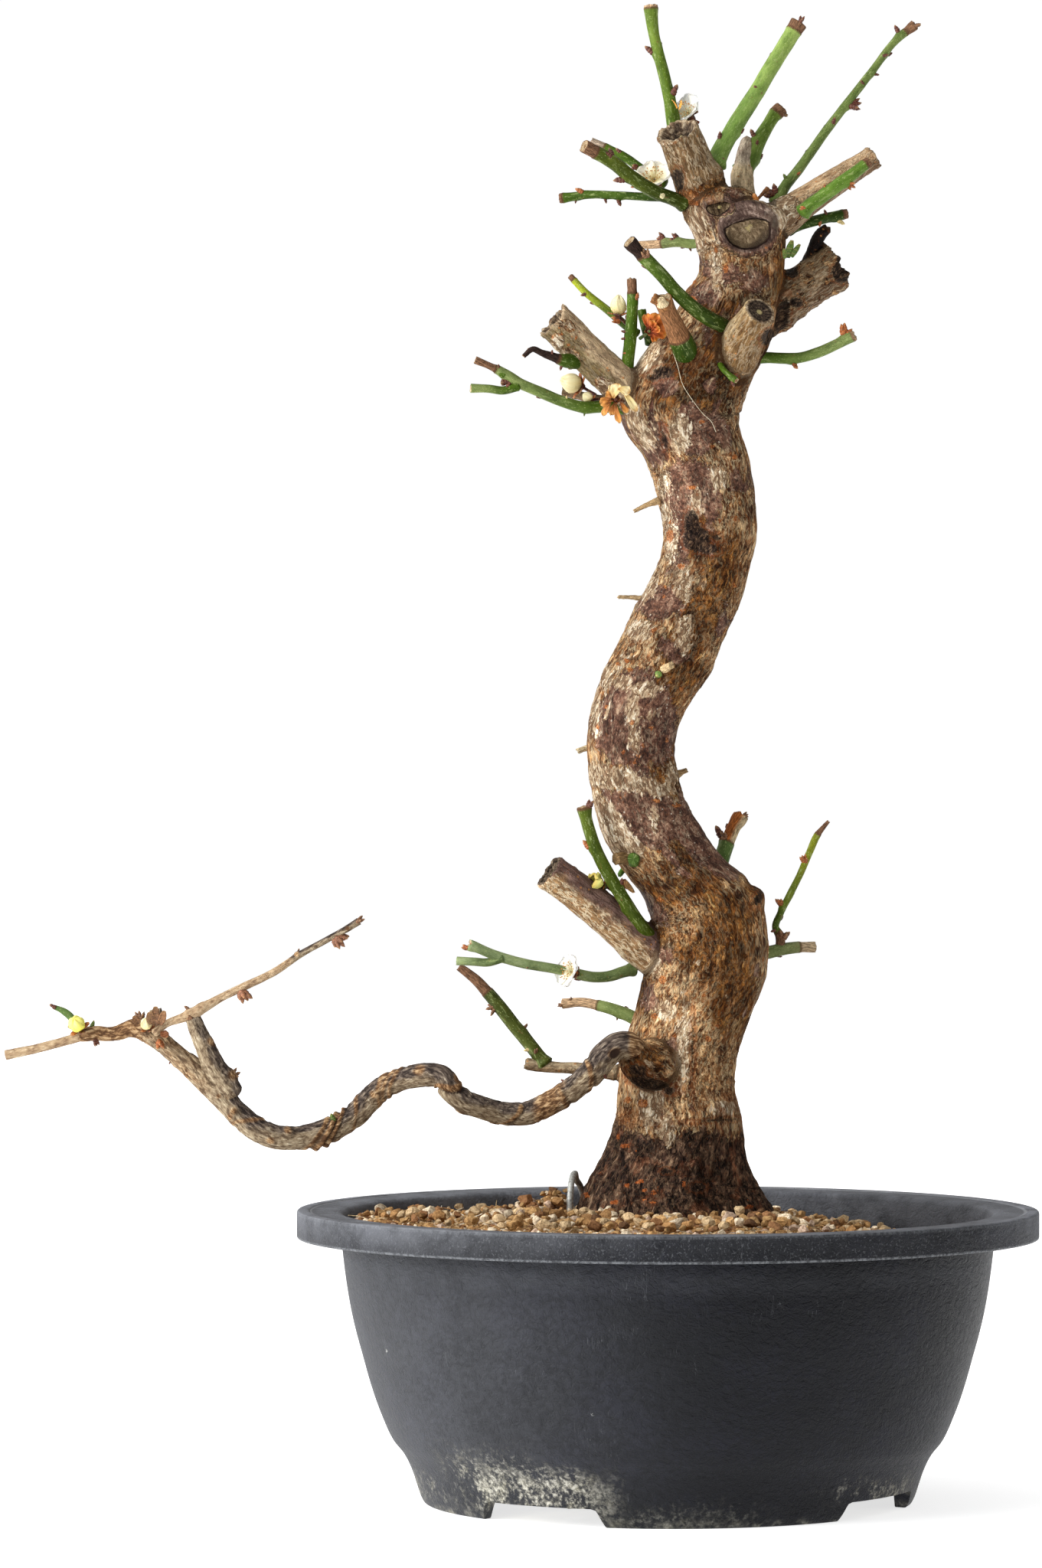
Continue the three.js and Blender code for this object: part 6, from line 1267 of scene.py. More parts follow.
def build_branch():
    geo = Geo()
    twigs = {}
    for name in BRANCH_PIECE:
        path = WOOD_LINES[name]
        if name == "twig_long":      # its foot runs on across the limb
            path = np.array([[*at(202, 1349, -30), 1.7], *path])
        if name == "branch_long":
            path = np.array([[44.8, -31.2, 184.4, 4.9], *path[3:]])
        limb = Limb(path, 0.7 if name == "branch_long" else 0.6)
        twigs[name] = limb
        creases = []
        if name == "branch_long":
            for px, py, k, depth in CREASES:
                p, o, s, i = on_bark(limb, px, py)
                creases.append((s, k, depth))
        lumps = px_lumps(limb, BRANCH_KNOTS if name in ("branch_long", "branch_limb") else TWIG_LUMPS)
        sides = {"branch_long": 48, "branch_limb": 32}.get(name, 20)
        hold = {}

        def radius(S, A, R, limb=limb, creases=creases, lumps=lumps, name=name):
            S2, A2 = np.broadcast_arrays(S, A)
            R2 = np.broadcast_to(R, S2.shape)
            i = np.clip(np.searchsorted(limb.S, S2[:, 0]), 0, len(limb.S) - 1)
            d = limb.N[i][:, None] * np.cos(A2)[..., None] + limb.B[i][:, None] * np.sin(A2)[..., None]
            big = name in ("branch_long", "branch_limb")
            loc = np.stack([R2 * np.cos(A2), R2 * np.sin(A2), S2], -1).reshape(-1, 3)
            lump = fbm(loc / (5.0, 5.0, 9.0) + len(name), 3).reshape(S2.shape)
            wv = loc + 1.0 * np.stack([fbm(loc / 5.0 + 5, 2), fbm(loc / 5.0 + 25, 2), fbm(loc / 5.0 + 45, 2)], 1)
            fib = noise(wv / (1.35, 1.35, 6.0)).reshape(S2.shape)
            c1, c2 = cells(wv / (2.3, 2.3, 7.5))
            crack = smooth(c2 - c1, 0.15, 0.0).reshape(S2.shape)
            up = d[..., 2]
            dr = R2 * 0.055 * lump + (0.16 * fib - 0.22 * crack) * (1.0 if big else 0.25)
            # painted shade: depth of the cracks, which darkens their colour
            crev = crack * 0.9 + smooth(-fib, 0.2, 0.8) * 0.4
            tan = np.zeros(S2.shape)
            hole = np.zeros(S2.shape)
            # wire creases: a groove between raised lips, its dark line painted shade
            for s0, k, depth in creases:
                ang = (A2 + math.pi) % (2 * math.pi) - math.pi
                u = S2 - (s0 - k * np.sin(ang * 0.95) * 1.15 - 0.0)
                fade = 0.35 + 0.65 * smooth(np.cos(ang), -0.7, 0.3)
                dr += depth * fade * (-0.95 * np.exp(-(u / 0.9) ** 2) + 0.55 * np.exp(-((u - 2.2) / 1.3) ** 2) + 0.25 * np.exp(-((u + 2.2) / 1.4) ** 2))
                crev += 0.7 * fade * np.exp(-(u / 0.7) ** 2) * min(depth, 1)
                hole = np.maximum(hole, 0.8 * fade * np.exp(-(u / 0.55) ** 2) * min(depth, 1))
                tan = np.maximum(tan, fade * np.exp(-((u - 1.9) / 1.9) ** 2) * min(1.0, 0.5 + depth * 0.4))
            for s0, a0, r, h in lumps:
                da = (A2 - a0 + math.pi) % (2 * math.pi) - math.pi
                q = np.hypot(S2 - s0, da * R2) / r
                dr += h * np.exp(-q ** 2) * (1 - 0.45 * np.exp(-(q / 0.35) ** 2)) + 0.12 * h * np.cos(q * 7) * np.exp(-(q / 1.4) ** 2)
                tan = np.maximum(tan, 0.75 * np.exp(-(q / 1.1) ** 2))
                crev += 0.4 * np.exp(-((q - 1.3) / 0.25) ** 2)
                if (r, h) == (2.8, 0.3):
                    hole = np.maximum(hole, 1.4 * np.exp(-(q / 0.8) ** 2))
                    dr -= 1.0 * np.exp(-(q / 0.7) ** 2)
            hold.update(up=up, crev=crev, tan=tan, hole=hole)
            return R2 + dr

        end = ((0.9, 0.0), (0.5, -0.08))
        v, q, t, along, ang, share = tube(limb, sides, radius, end_cap=end)
        n0, n1 = 2, len(end)

        def spread(x):
            x = np.concatenate([np.repeat(x[:1], n0, 0), x, np.repeat(x[-1:], n1, 0)]).ravel()
            return np.concatenate([x, [x[0], x[-1]]])

        i = np.clip(np.searchsorted(limb.S, along), 0, len(limb.S) - 1)
        R = limb.R[i]
        ga = np.stack([R * np.cos(ang), R * np.sin(ang), along + 60 * len(name)], 1)
        tan = spread(hold["tan"])
        if name == "branch_long":      # the bare tan stretch below the upper bend, and the pale far half
            tan = np.maximum(tan, 0.75 * np.exp(-(((to_px(v)[0] - 716) / 24) ** 2)))
            tan = np.maximum(tan, np.maximum(0.46 * smooth(to_px(v)[0], 340, 250) + 0.3 * smooth(to_px(v)[0], 205, 165), 0.8 * smooth(to_px(v)[0], 810, 830)))
        upper = 0.42 + 0.5 * spread(hold["up"]) + {"branch_long": 0.05, "branch_limb": 0.05}.get(name, 0)
        if name == "branch_long":
            pxv = to_px(v)[0]
            upper += 0.25 * smooth(pxv, 740, 800) - 0.4 * smooth(pxv, 330, 250) + 0.14 * np.exp(-((pxv - 540) / 60) ** 2) - 0.16 * np.exp(-((pxv - 385) / 40) ** 2)
        dead = np.full(len(v), {"branch_tip": 1.0, "twig_long": 0.9}.get(name, 0.0))
        if name == "twig_long":
            dead = 1.0 - 0.75 * smooth(along, limb.L * 0.55, limb.L * 0.75)
        cut = ((share < 0.93) & (along > 1)).astype(float) if name != "branch_long" else np.zeros(len(v))
        end_d = v - limb.P[-1]
        face = np.stack([end_d @ limb.N[-1], end_d @ limb.B[-1], np.full(len(v), 0.6)], 1)
        geo.add(v, q, t, 0, ga=ga, crev=spread(hold["crev"]), upper=upper, tan=tan, dead=dead, hole=spread(hold["hole"]), cut=cut, face=face)
    L, M, TW = twigs["branch_long"], twigs["branch_limb"], twigs["twig_long"]
    bud = lambda limb, px, py, deg, size, tint, seed, n=0: place_bud(geo, limb, px, py, deg, size, tint, seed, 1, n)
    bud(TW, 317, 1299, -60, 4.6, rgb(138, 92, 66)[:3], 3, 9)
    bud(TW, 442, 1230, -40, 4.5, rgb(128, 86, 64)[:3], 9, 8)
    bud(TW, 467, 1204, 20, 3.0, DRY, 14, 3)
    bud(TW, 389, 1243, 60, 1.6, DRY, 16)
    bud(TW, 247, 1318, 150, 2.6, DRY, 17)
    for px_, py_, ax_, le_, wi_, co_ in ((203, 1340, (0.0, -0.2, 1.0), 8.6, 1.7, (122, 88, 60)), (209, 1339, (0.3, -0.25, 0.9), 7.0, 1.5, (138, 100, 68)), (199, 1338, (-0.25, -0.3, 0.9), 6.0, 1.8, (150, 116, 82)), (213, 1346, (0.3, -0.5, -0.7), 4.5, 1.7, (116, 66, 36)), (181, 1337, (-0.5, -0.4, 0.7), 4.6, 1.5, (128, 92, 62))):
        add_scale(geo, np.array(at(px_, py_, -30)), ax_, (0.1, -1, 0.2), le_, wi_, 1, rgb(*co_)[:3], 3)
    bud(L, 124, 1358, -70, 2.8, RED, 21, 4)
    bud(L, 119, 1340, 60, 3.0, GREEN_T, 25)
    bud(L, 185, 1330, 110, 3.6, DRY, 31, 4)
    bud(L, 211, 1360, -60, 3.8, ORANGE, 37, 5)
    bud(L, 207, 1352, 150, 2.6, GREEN_T, 41)
    bud(L, 434, 1464, 115, 3.6, GREEN_T, 43)
    bud(L, 441, 1462, 80, 2.2, RED, 44)
    bud(L, 734, 1408, 150, 1.8, RED, 45)
    bud(M, 306, 1404, 20, 3.2, DRY, 46, 4)
    bud(M, 252, 1331, 140, 2.4, DRY, 50, 3)
    bud(L, 792, 1400, -60, 2.4, RED, 53)
    bud(L, 219, 1391, -120, 1.4, RED, 55)
    return geo, twigs


def place_bud(geo, limb, px, py, deg, size, tint, seed, mat, cluster=0):
    p, out, s, i = on_bark(limb, px, py)
    a = math.radians(deg)
    axis = unit(np.array([math.cos(a), 0.0, math.sin(a)]) + 0.35 * out)
    if cluster:
        add_cluster(geo, p, axis, size, mat, tint, seed, cluster)
    else:
        add_bud(geo, p, axis, size, size * 0.3, mat, tint, 10, seed)
# ------------------------------------------------------------------ green shoots

LEAF, PALE, YELLOW, DARKG, GREYG, OLIVE = (rgb(*c)[:3] for c in ((66, 90, 18), (116, 130, 74), (154, 162, 30), (44, 64, 12), (126, 130, 86), (84, 106, 30)))
TAN_D, BROWN_D, RUST_D, BLACK_D, GREY_D = (rgb(*c)[:3] for c in ((190, 160, 126), (116, 86, 64), (128, 78, 46), (50, 37, 32), (156, 140, 122)))

# Name: [green at the base, green at the tip, dry wood's colour, where it turns dry (picture place) or None, swelling of the end]
LOOKS = {
    "shoot_top_left": [rgb(78, 100, 27)[:3], rgb(100, 121, 44)[:3], TAN_D, (849, 10), 0.16], "shoot_top_thick": [rgb(112, 140, 66)[:3], rgb(132, 154, 78)[:3], BROWN_D, (1036, 40), 0.15],
    "shoot_crown_back": [rgb(92, 114, 48)[:3], rgb(96, 118, 44)[:3], BROWN_D, (1014, 148), 0.3], "shoot_top_right_long": [rgb(102, 120, 62)[:3], rgb(98, 114, 58)[:3], BROWN_D, (1182, 43), 0.25],
    "shoot_right_front": [rgb(88, 118, 42)[:3], rgb(88, 118, 42)[:3], BROWN_D, (1130, 214), 0.0], "shoot_upper_left_thick": [rgb(55, 66, 17)[:3], rgb(80, 91, 24)[:3], BROWN_D, (776, 199), 0.08],
    "shoot_upper_left_behind": [LEAF, LEAF, GREY_D, (790, 192), 0.0], "shoot_upper_left_thin": [DARKG, LEAF, BROWN_D, (736, 259), 0.18],
    "shoot_front_curved": [rgb(46, 63, 13)[:3], rgb(70, 92, 24)[:3], BLACK_D, (838, 333), 0.3], "shoot_front_dead_tip": [DARKG, LEAF, rgb(138, 98, 66)[:3], (887, 441), 0.1],
    "shoot_left_yellow": [LEAF, YELLOW, BROWN_D, (749, 366), 0.0], "shoot_left_upright": [LEAF, LEAF, BROWN_D, (825, 382), 0.1],
    "shoot_left_short_back": [DARKG, LEAF, LEAF, None, 0.1], "shoot_left_forked": [LEAF, PALE, BROWN_D, (647, 484), 0.0],
    "shoot_left_withered": [DARKG, LEAF, BLACK_D, (728, 472), 0.0], "shoot_back_grey": [PALE, GREYG, TAN_D, (864, 318), 0.0],
    "shoot_right_dark": [DARKG, DARKG, BROWN_D, (1101, 280), 0.15], "shoot_right_curved": [rgb(84, 108, 40)[:3], PALE, TAN_D, (1114, 438), 0.1],
    "shoot_front_sprout": [LEAF, LEAF, RED, None, 0.1], "shoot_low_upright": [rgb(66, 80, 18)[:3], rgb(74, 88, 22)[:3], BROWN_D, (764, 1056), 0.12],
    "shoot_low_forked": [rgb(104, 120, 74)[:3], rgb(136, 150, 106)[:3], BROWN_D, None, 0.05], "shoot_low_short": [PALE, PALE, TAN_D, (781, 1312), 0.12],
    "shoot_low_hook": [rgb(76, 84, 32)[:3], rgb(52, 60, 22)[:3], BROWN_D, (637, 1297), 0.0], "shoot_right_back": [rgb(76, 98, 46)[:3], rgb(92, 112, 64)[:3], rgb(150, 88, 42)[:3], (949, 1100), 0.25],
    "shoot_right_stub": [rgb(100, 112, 66)[:3], GREYG, rgb(176, 156, 126)[:3], (1044, 1237), 0.05], "shoot_right_thin": [rgb(72, 90, 26)[:3], rgb(134, 138, 28)[:3], BROWN_D, (1069, 1089), 0.0],
    "sprout_branch_tip": [rgb(88, 112, 60)[:3], rgb(88, 112, 60)[:3], RED, (72, 1316), -0.3]}

# Shoot, picture place, direction in degrees (0 right, 90 up), length in mm, colour, buds in the cluster (0 for one).
BUDS = [("shoot_top_left", 843, 72, 122, 4.4, RED, 0), ("shoot_top_left", 879, 126, 72, 4.6, RED, 0), ("shoot_top_thick", 938, 184, 75, 3.4, RED, 0),
        ("shoot_top_thick", 969, 178, 60, 3.0, RED, 0), ("shoot_top_thick", 940, 210, -20, 1.8, DRY, 0), ("shoot_top_thick", 988, 118, 150, 2.0, RED, 0),
        ("shoot_top_thick", 1047, 28, 60, 2.8, RED, 3), ("shoot_crown_back", 984, 180, 110, 3.6, RED, 0), ("shoot_crown_back", 987, 193, 80, 2.6, RED, 0),
        ("shoot_crown_back", 994, 210, 70, 3.0, RED, 0), ("shoot_crown_back", 1021, 150, -10, 2.6, DRY, 3), ("shoot_top_right_long", 1087, 164, 80, 3.0, RED, 0),
        ("shoot_top_right_long", 1120, 145, 30, 4.4, RED, 4), ("shoot_top_right_long", 1026, 235, 120, 2.6, GREEN_T, 0),
        ("shoot_top_right_long", 1040, 230, 40, 2.0, ORANGE, 0), ("shoot_top_right_long", 1010, 255, 140, 4.6, RED, 5),
        ("shoot_top_right_long", 1128, 112, 130, 2.4, RED, 0), ("shoot_top_right_long", 1152, 74, 10, 2.6, RED, 0),
        ("shoot_top_right_long", 1172, 40, 110, 3.6, RED, 0), ("shoot_top_right_long", 1146, 100, 0, 2.2, RED, 0),
        ("shoot_top_right_long", 1193, 36, 10, 2.8, DRY, 3), ("shoot_right_front", 1053, 276, 150, 3.0, ORANGE, 2), ("shoot_right_front", 1109, 243, -20, 2.8, ORANGE, 3),
        ("shoot_right_front", 1076, 246, 90, 1.8, ORANGE, 0), ("shoot_right_dark", 1094, 292, -15, 3.4, CREAM_T, 0), ("shoot_right_dark", 1068, 290, -100, 2.6, ORANGE, 0),
        ("shoot_right_dark", 1078, 281, 120, 2.4, RED, 0), ("shoot_upper_left_thick", 797, 204, 160, 4.2, RED, 3), ("shoot_upper_left_thick", 812, 240, 170, 4.6, RED, 0),
        ("shoot_upper_left_thick", 826, 248, 170, 1.8, ORANGE, 0), ("shoot_upper_left_behind", 812, 200, 150, 2.8, RED, 0),
        ("shoot_upper_left_behind", 833, 220, 200, 3.0, RED, 3), ("shoot_upper_left_thin", 762, 251, 165, 3.6, ORANGE, 0), ("shoot_upper_left_thin", 790, 260, -70, 2.2, RED, 0),
        ("shoot_upper_left_thin", 807, 261, -60, 3.2, RED, 0), ("shoot_upper_left_thin", 752, 262, -110, 1.6, RED, 0), ("shoot_left_yellow", 768, 386, 200, 2.6, RED, 0),
        ("shoot_left_yellow", 812, 421, 160, 3.6, ORANGE, 3), ("shoot_left_upright", 831, 392, 85, 3.2, ORANGE, 0), ("shoot_left_upright", 817, 434, 160, 2.2, RED, 0),
        ("shoot_left_upright", 817, 442, 190, 2.2, RED, 0), ("shoot_left_upright", 818, 461, 180, 1.6, ORANGE, 0), ("shoot_left_forked", 661, 503, 200, 3.6, RED, 4),
        ("shoot_left_forked", 652, 500, 120, 2.6, RED, 0), ("shoot_left_forked", 648, 514, 240, 2.8, RED, 0), ("shoot_left_forked", 738, 521, 100, 1.6, CREAM_T, 0),
        ("shoot_left_forked", 763, 540, -100, 1.6, GREEN_T, 0), ("shoot_left_forked", 651, 481, 100, 1.8, RED, 0), ("shoot_left_withered", 733, 479, -110, 2.2, RED, 0),
        ("shoot_left_withered", 754, 473, 150, 2.8, RED, 2), ("shoot_left_withered", 720, 462, 100, 1.8, RED, 0), ("shoot_front_curved", 843, 335, 120, 3.6, DRY, 5),
        ("shoot_front_curved", 925, 421, 90, 0.9, RED, 0), ("shoot_front_dead_tip", 888, 455, 80, 2.0, RED, 0), ("shoot_back_grey", 868, 312, 170, 3.4, RED, 3),
        ("shoot_back_grey", 884, 309, 150, 3.2, RED, 3), ("shoot_back_grey", 901, 326, -60, 1.8, RED, 0), ("shoot_right_curved", 1101, 436, 80, 4.6, ORANGE, 4),
        ("shoot_right_curved", 1036, 477, -60, 3.0, ORANGE, 3), ("shoot_front_sprout", 954, 500, -60, 2.8, RED, 0), ("shoot_front_sprout", 963, 491, 60, 1.8, RED, 0),
        ("shoot_low_upright", 770, 1054, 70, 3.4, RED, 3), ("shoot_low_upright", 768, 1108, 112, 4.2, ORANGE, 0), ("shoot_low_upright", 812, 1156, 95, 3.0, RED, 0),
        ("shoot_low_upright", 812, 1190, 110, 2.6, RED, 2), ("shoot_low_upright", 808, 1193, 200, 1.8, RED, 0), ("shoot_low_forked", 606, 1251, 150, 2.8, ORANGE, 2),
        ("shoot_low_forked", 646, 1260, 240, 1.6, RED, 0), ("shoot_low_forked", 594, 1256, 170, 2.4, DRY, 2), ("shoot_low_forked", 690, 1262, 200, 1.4, DRY, 0),
        ("shoot_low_short", 748, 1306, 90, 1.6, DRY, 2), ("shoot_low_short", 734, 1313, 190, 2.0, DRY, 3), ("shoot_low_short", 806, 1330, -90, 1.6, DRY, 0),
        ("shoot_low_hook", 645, 1316, 190, 3.4, DRY, 3), ("shoot_low_hook", 686, 1341, 60, 2.4, DRY, 0), ("shoot_low_hook", 693, 1372, 190, 2.6, CREAM_T, 0),
        ("shoot_low_hook", 700, 1377, 70, 2.4, DRY, 2), ("shoot_right_back", 938, 1092, 105, 5.4, RED, 0), ("shoot_right_back", 945, 1098, 120, 3.0, DRY, 4),
        ("shoot_right_back", 971, 1066, 20, 2.4, DRY, 3), ("shoot_right_thin", 1020, 1182, 105, 3.6, ORANGE, 3), ("shoot_right_thin", 1051, 1126, 110, 3.2, ORANGE, 4),
        ("shoot_right_thin", 1013, 1214, 200, 2.4, RED, 2), ("shoot_right_thin", 1023, 1226, 70, 3.8, DRY, 5), ("sprout_branch_tip", 73, 1316, 150, 2.8, RED, 0)]


def make_shoot_material():
    s = Shade("shoot_bark", (0.2, 0.35, 0.12))
    g = s.attr("ga", True)
    live, dcol = s.attr("tint", True), s.attr("dcol", True)
    slow = s.noise(s.vmul(g, (0.3, 0.3, 0.12)), 1.0, 2.0, 0.5)
    fine = s.noise(s.vmul(g, (2.2, 2.2, 0.9)), 1.0, 3.0, 0.6)
    tone = s.math("ADD", s.math("MULTIPLY", slow, 0.6), s.math("MULTIPLY", fine, 0.4))
    col = s.mix(1.0, live, s.ramp(tone, [(0.34, (0.52, 0.56, 0.5, 1)), (0.5, (0.95, 0.97, 0.92, 1)), (0.66, (1.45, 1.35, 1.5, 1))]), "MULTIPLY")
    dots = s.voronoi(s.vmul(s.warp(g, 0.6, 0.9), (1.0, 1.0, 0.45)), 1.3)
    col = s.mix(s.map(dots, 0.24, 0.12, 0, 0.5), col, rgb(170, 182, 116))
    bloom = s.noise(s.vadd(s.vmul(g, (0.7, 0.7, 0.22)), (9.0, 2.0, 5.0)), 1.0, 4.0, 0.66)
    col = s.mix(s.map(bloom, 0.53, 0.70, 0, 0.55), col, rgb(160, 174, 112))
    scab = s.noise(s.vadd(s.vmul(g, (0.6, 0.6, 0.35)), (3.0, 22.0, 5.0)), 1.0, 3.0, 0.6)
    col = s.mix(s.map(scab, 0.66, 0.74, 0, 0.8), col, rgb(120, 78, 52))
    wd = s.noise(s.vmul(g, (2.4, 2.4, 0.45)), 1.0, 3.0, 0.62)
    wood = s.mix(1.0, dcol, s.ramp(wd, [(0.34, (0.4, 0.38, 0.36, 1)), (0.5, (0.95, 0.92, 0.9, 1)), (0.64, (1.7, 1.65, 1.6, 1))]), "MULTIPLY")
    d = s.map(s.math("ADD", s.attr("dead"), s.math("MULTIPLY", s.math("SUBTRACT", s.noise(g, 0.8, 2.0, 0.6), 0.5), 2.2)), -0.2, 0.25)
    rimline = s.math("MULTIPLY", s.map(s.math("ABSOLUTE", s.attr("dead")), 0.9, 0.2), 0.7)
    col = s.mix(d, col, wood)
    col = s.mix(rimline, col, rgb(92, 60, 42))
    cg = s.attr("face", True)
    cut = s.map(s.attr("cut"), 0.35, 0.65)
    cr = s.vlen(s.vmul(cg, (1.0, 1.0, 0.0)))
    cut_c = s.ramp(s.noise(s.warp(cg, 0.8, 1.0), 2.0, 3.0, 0.65), [(0.36, rgb(104, 80, 58)), (0.5, rgb(172, 146, 112)), (0.64, rgb(214, 196, 160))])
    cut_c = s.mix(s.map(cr, 0.9, 0.5), cut_c, rgb(140, 104, 66))
    col = s.mix(cut, col, cut_c)
    hgt = s.fmix(d, s.math("MULTIPLY", fine, 0.25), wd)
    b = s.bump(hgt, 0.7, 0.8)
    b = s.bump(s.map(dots, 0.3, 0.1), 0.12, 0.6, b)
    ro = s.fmix(d, 0.44, 0.75)
    return s.done(**{"Base Color": col, "Roughness": ro, "Normal": b, "Specular IOR Level": 0.10})


def shoot_tube(geo, limb, look, lumps, sides, seed, fork=False, dry_from=None, swell=0.0, ragged=0.0, dry_to=0.0, pale_side=None):
    base, tip, dcol = (np.array(c) for c in look[:3])

    def radius(S, A, R):
        S2, A2 = np.broadcast_arrays(S, A)
        R2 = np.broadcast_to(R, S2.shape)
        loc = np.stack([R2 * np.cos(A2), R2 * np.sin(A2), S2 + seed * 31], -1).reshape(-1, 3)
        dr = 0.05 * R2 * fbm(loc / (4, 4, 7), 2).reshape(S2.shape)
        dr = dr + swell * R2 * smooth(S2, limb.L - 5.5, limb.L - 0.5)
        if not fork:
            dr = dr + 0.2 * R2 * smooth(S2, 3.0, 0.0)
        for s0, a0, r, h in lumps:
            da = (A2 - a0 + math.pi) % (2 * math.pi) - math.pi
            dr = dr + h * np.exp(-((S2 - s0 + 0.4 * r) / (1.5 * r)) ** 2 - (da * R2 / r) ** 2)
        if dry_from is not None:      # dry wood is thinner and wrinkled
            wr = smooth(S2, dry_from - 0.5, dry_from + 0.8)
            dr = dr - wr * (0.08 * R2 + 0.13 * np.abs(noise(loc / (1.1, 1.1, 9.0))).reshape(S2.shape)) + 0.1 * np.exp(-((S2 - dry_from) / 0.7) ** 2)
        return R2 + dr

    jag = (lambda A: ragged * (noise(np.stack([np.cos(A) * 1.9 + seed, np.sin(A) * 1.9, A * 0], 1)) + 0.2)) if ragged else None
    v, q, t, along, ang, share = tube(limb, sides, radius, end_cap=((0.96, 0.02), (0.8, 0.0), (0.35, -0.12)), end_shift=jag)
    i = np.clip(np.searchsorted(limb.S, along), 0, len(limb.S) - 1)
    R = limb.R[i]
    ga = np.stack([R * np.cos(ang), R * np.sin(ang), along + seed * 31], 1)
    f = smooth(along / limb.L, 0.15, 0.95)[:, None]
    dead = np.full(len(v), -3.0) if dry_from is None else np.clip(along - dry_from, -3, 3)
    if dry_to:
        dead = np.maximum(dead, np.clip(dry_to - along, -3, 3))
    dc = np.tile(dcol, (len(v), 1))
    if pale_side is not None:         # torn open: one side keeps its grey bark
        k = smooth(np.cos(ang) * limb.N[i][:, 0] + np.sin(ang) * limb.B[i][:, 0], 0.15, 0.55)[:, None]
        dc = dc * (1 - k) + np.array(pale_side) * k
    cut = ((share < 0.9) & (along > 1)).astype(float)
    d = v - limb.P[-1]
    geo.add(v, q, t, 0, ga=ga, tint=base * (1 - f) + tip * f, dcol=dc, dead=dead, cut=cut,
            face=np.stack([d @ limb.N[-1], d @ limb.B[-1], np.full(len(v), 0.7)], 1))


def build_shoots(mats):
    out = []
    rng = np.random.default_rng(5)
    for seed, (name, path) in enumerate(SHOOTS):
        if name == "shoot_front_sprout":      # drawn thinner than the solid it stands for
            path = [[*p[:3], p[3] * 0.62] for p in path]
        if name == "shoot_right_thin":        # the withered tip kinks to the right
            path = [*path, [*at(1075, 1081, 3), 1.1], [*at(1082, 1073, 3), 0.8]]
        if name == "shoot_left_withered":     # swollen where it is still green
            path = [[30.0, -2.0, 462.0, 2.4], [26.0, -5.5, 461.4, 2.8], [22.4, -10.6, 460.8, 3.1], [18.6, -15.6, 460.8, 2.9], [15.2, -18.6, 461.3, 2.2],
                    [12.0, -20.0, 462.3, 1.9], [8.2, -22.0, 463.6, 1.5], [4.8, -24.0, 464.9, 1.3], [1.1, -25.0, 462.0, 1.0]]
        if name == "shoot_left_yellow":
            path = [[*p[:3], p[3] * 1.12] for p in path]
        limb = Limb(path, 0.6)
        look = LOOKS[name]
        geo = Geo()
        mine = [b for b in BUDS if b[0] == name]
        lumps = px_lumps(limb, [(b[1], b[2], 1.25, 0.55 if b[4] > 2.4 else 0.3) for b in mine])
        # nodes turned away from the camera, a third of a turn on from the ones in front
        extra = []
        for s in np.arange(9 + 4 * rng.random(), limb.L - 5, 11 + 3 * rng.random()):
            a = math.pi * (0.72 + 0.56 * rng.random())
            extra.append((s, a))
            lumps.append((s, a, 1.2, 0.4))
        dry = None
        if look[3]:
            lx, ly = to_px(limb.P)
            dry = float(limb.S[int(np.hypot(lx - look[3][0], ly - look[3][1]).argmin())])
        sides = 24 if limb.R[0] > 2.4 else 18
        shoot_tube(geo, limb, look, lumps, sides, seed + 1, False, dry, look[4], 1.0 if name in ("shoot_left_upright", "shoot_right_back", "shoot_low_forked", "shoot_front_dead_tip") else 0.35,
                   6.5 if name == "shoot_right_thin" else 0.0, rgb(176, 158, 124)[:3] if name == "shoot_right_back" else None)
        for k, (n2, arm) in enumerate(f for f in FORKS if f[0] == name):
            L2 = Limb(arm, 0.6)
            d2 = 0.35 * L2.L if name == "shoot_left_forked" and k == 1 else None
            shoot_tube(geo, L2, look, [], 16, seed + 60 + k, True, d2, 0.1, 0.35)
        for k, (n2, px, py, deg, size, tint, cluster) in enumerate(mine):
            lim = limb
            place_bud(geo, lim, px, py, deg, size, tint, seed * 10 + k, 1, cluster)
        for k, (s, a) in enumerate(extra):
            P, T, N, B, R = limb.point(s)
            o = N * math.cos(a) + B * math.sin(a)
            add_bud(geo, P + o * R, unit(o * 0.55 + T), 2.2 + rng.random(), 0.75, 1, RED, 8, seed + k)
        ob = mesh_object(name + "_skin", geo, mats)
        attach(ob, "root")
        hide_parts(name)
        out.append(ob)
    return out
# ------------------------------------------------------------------ blossoms

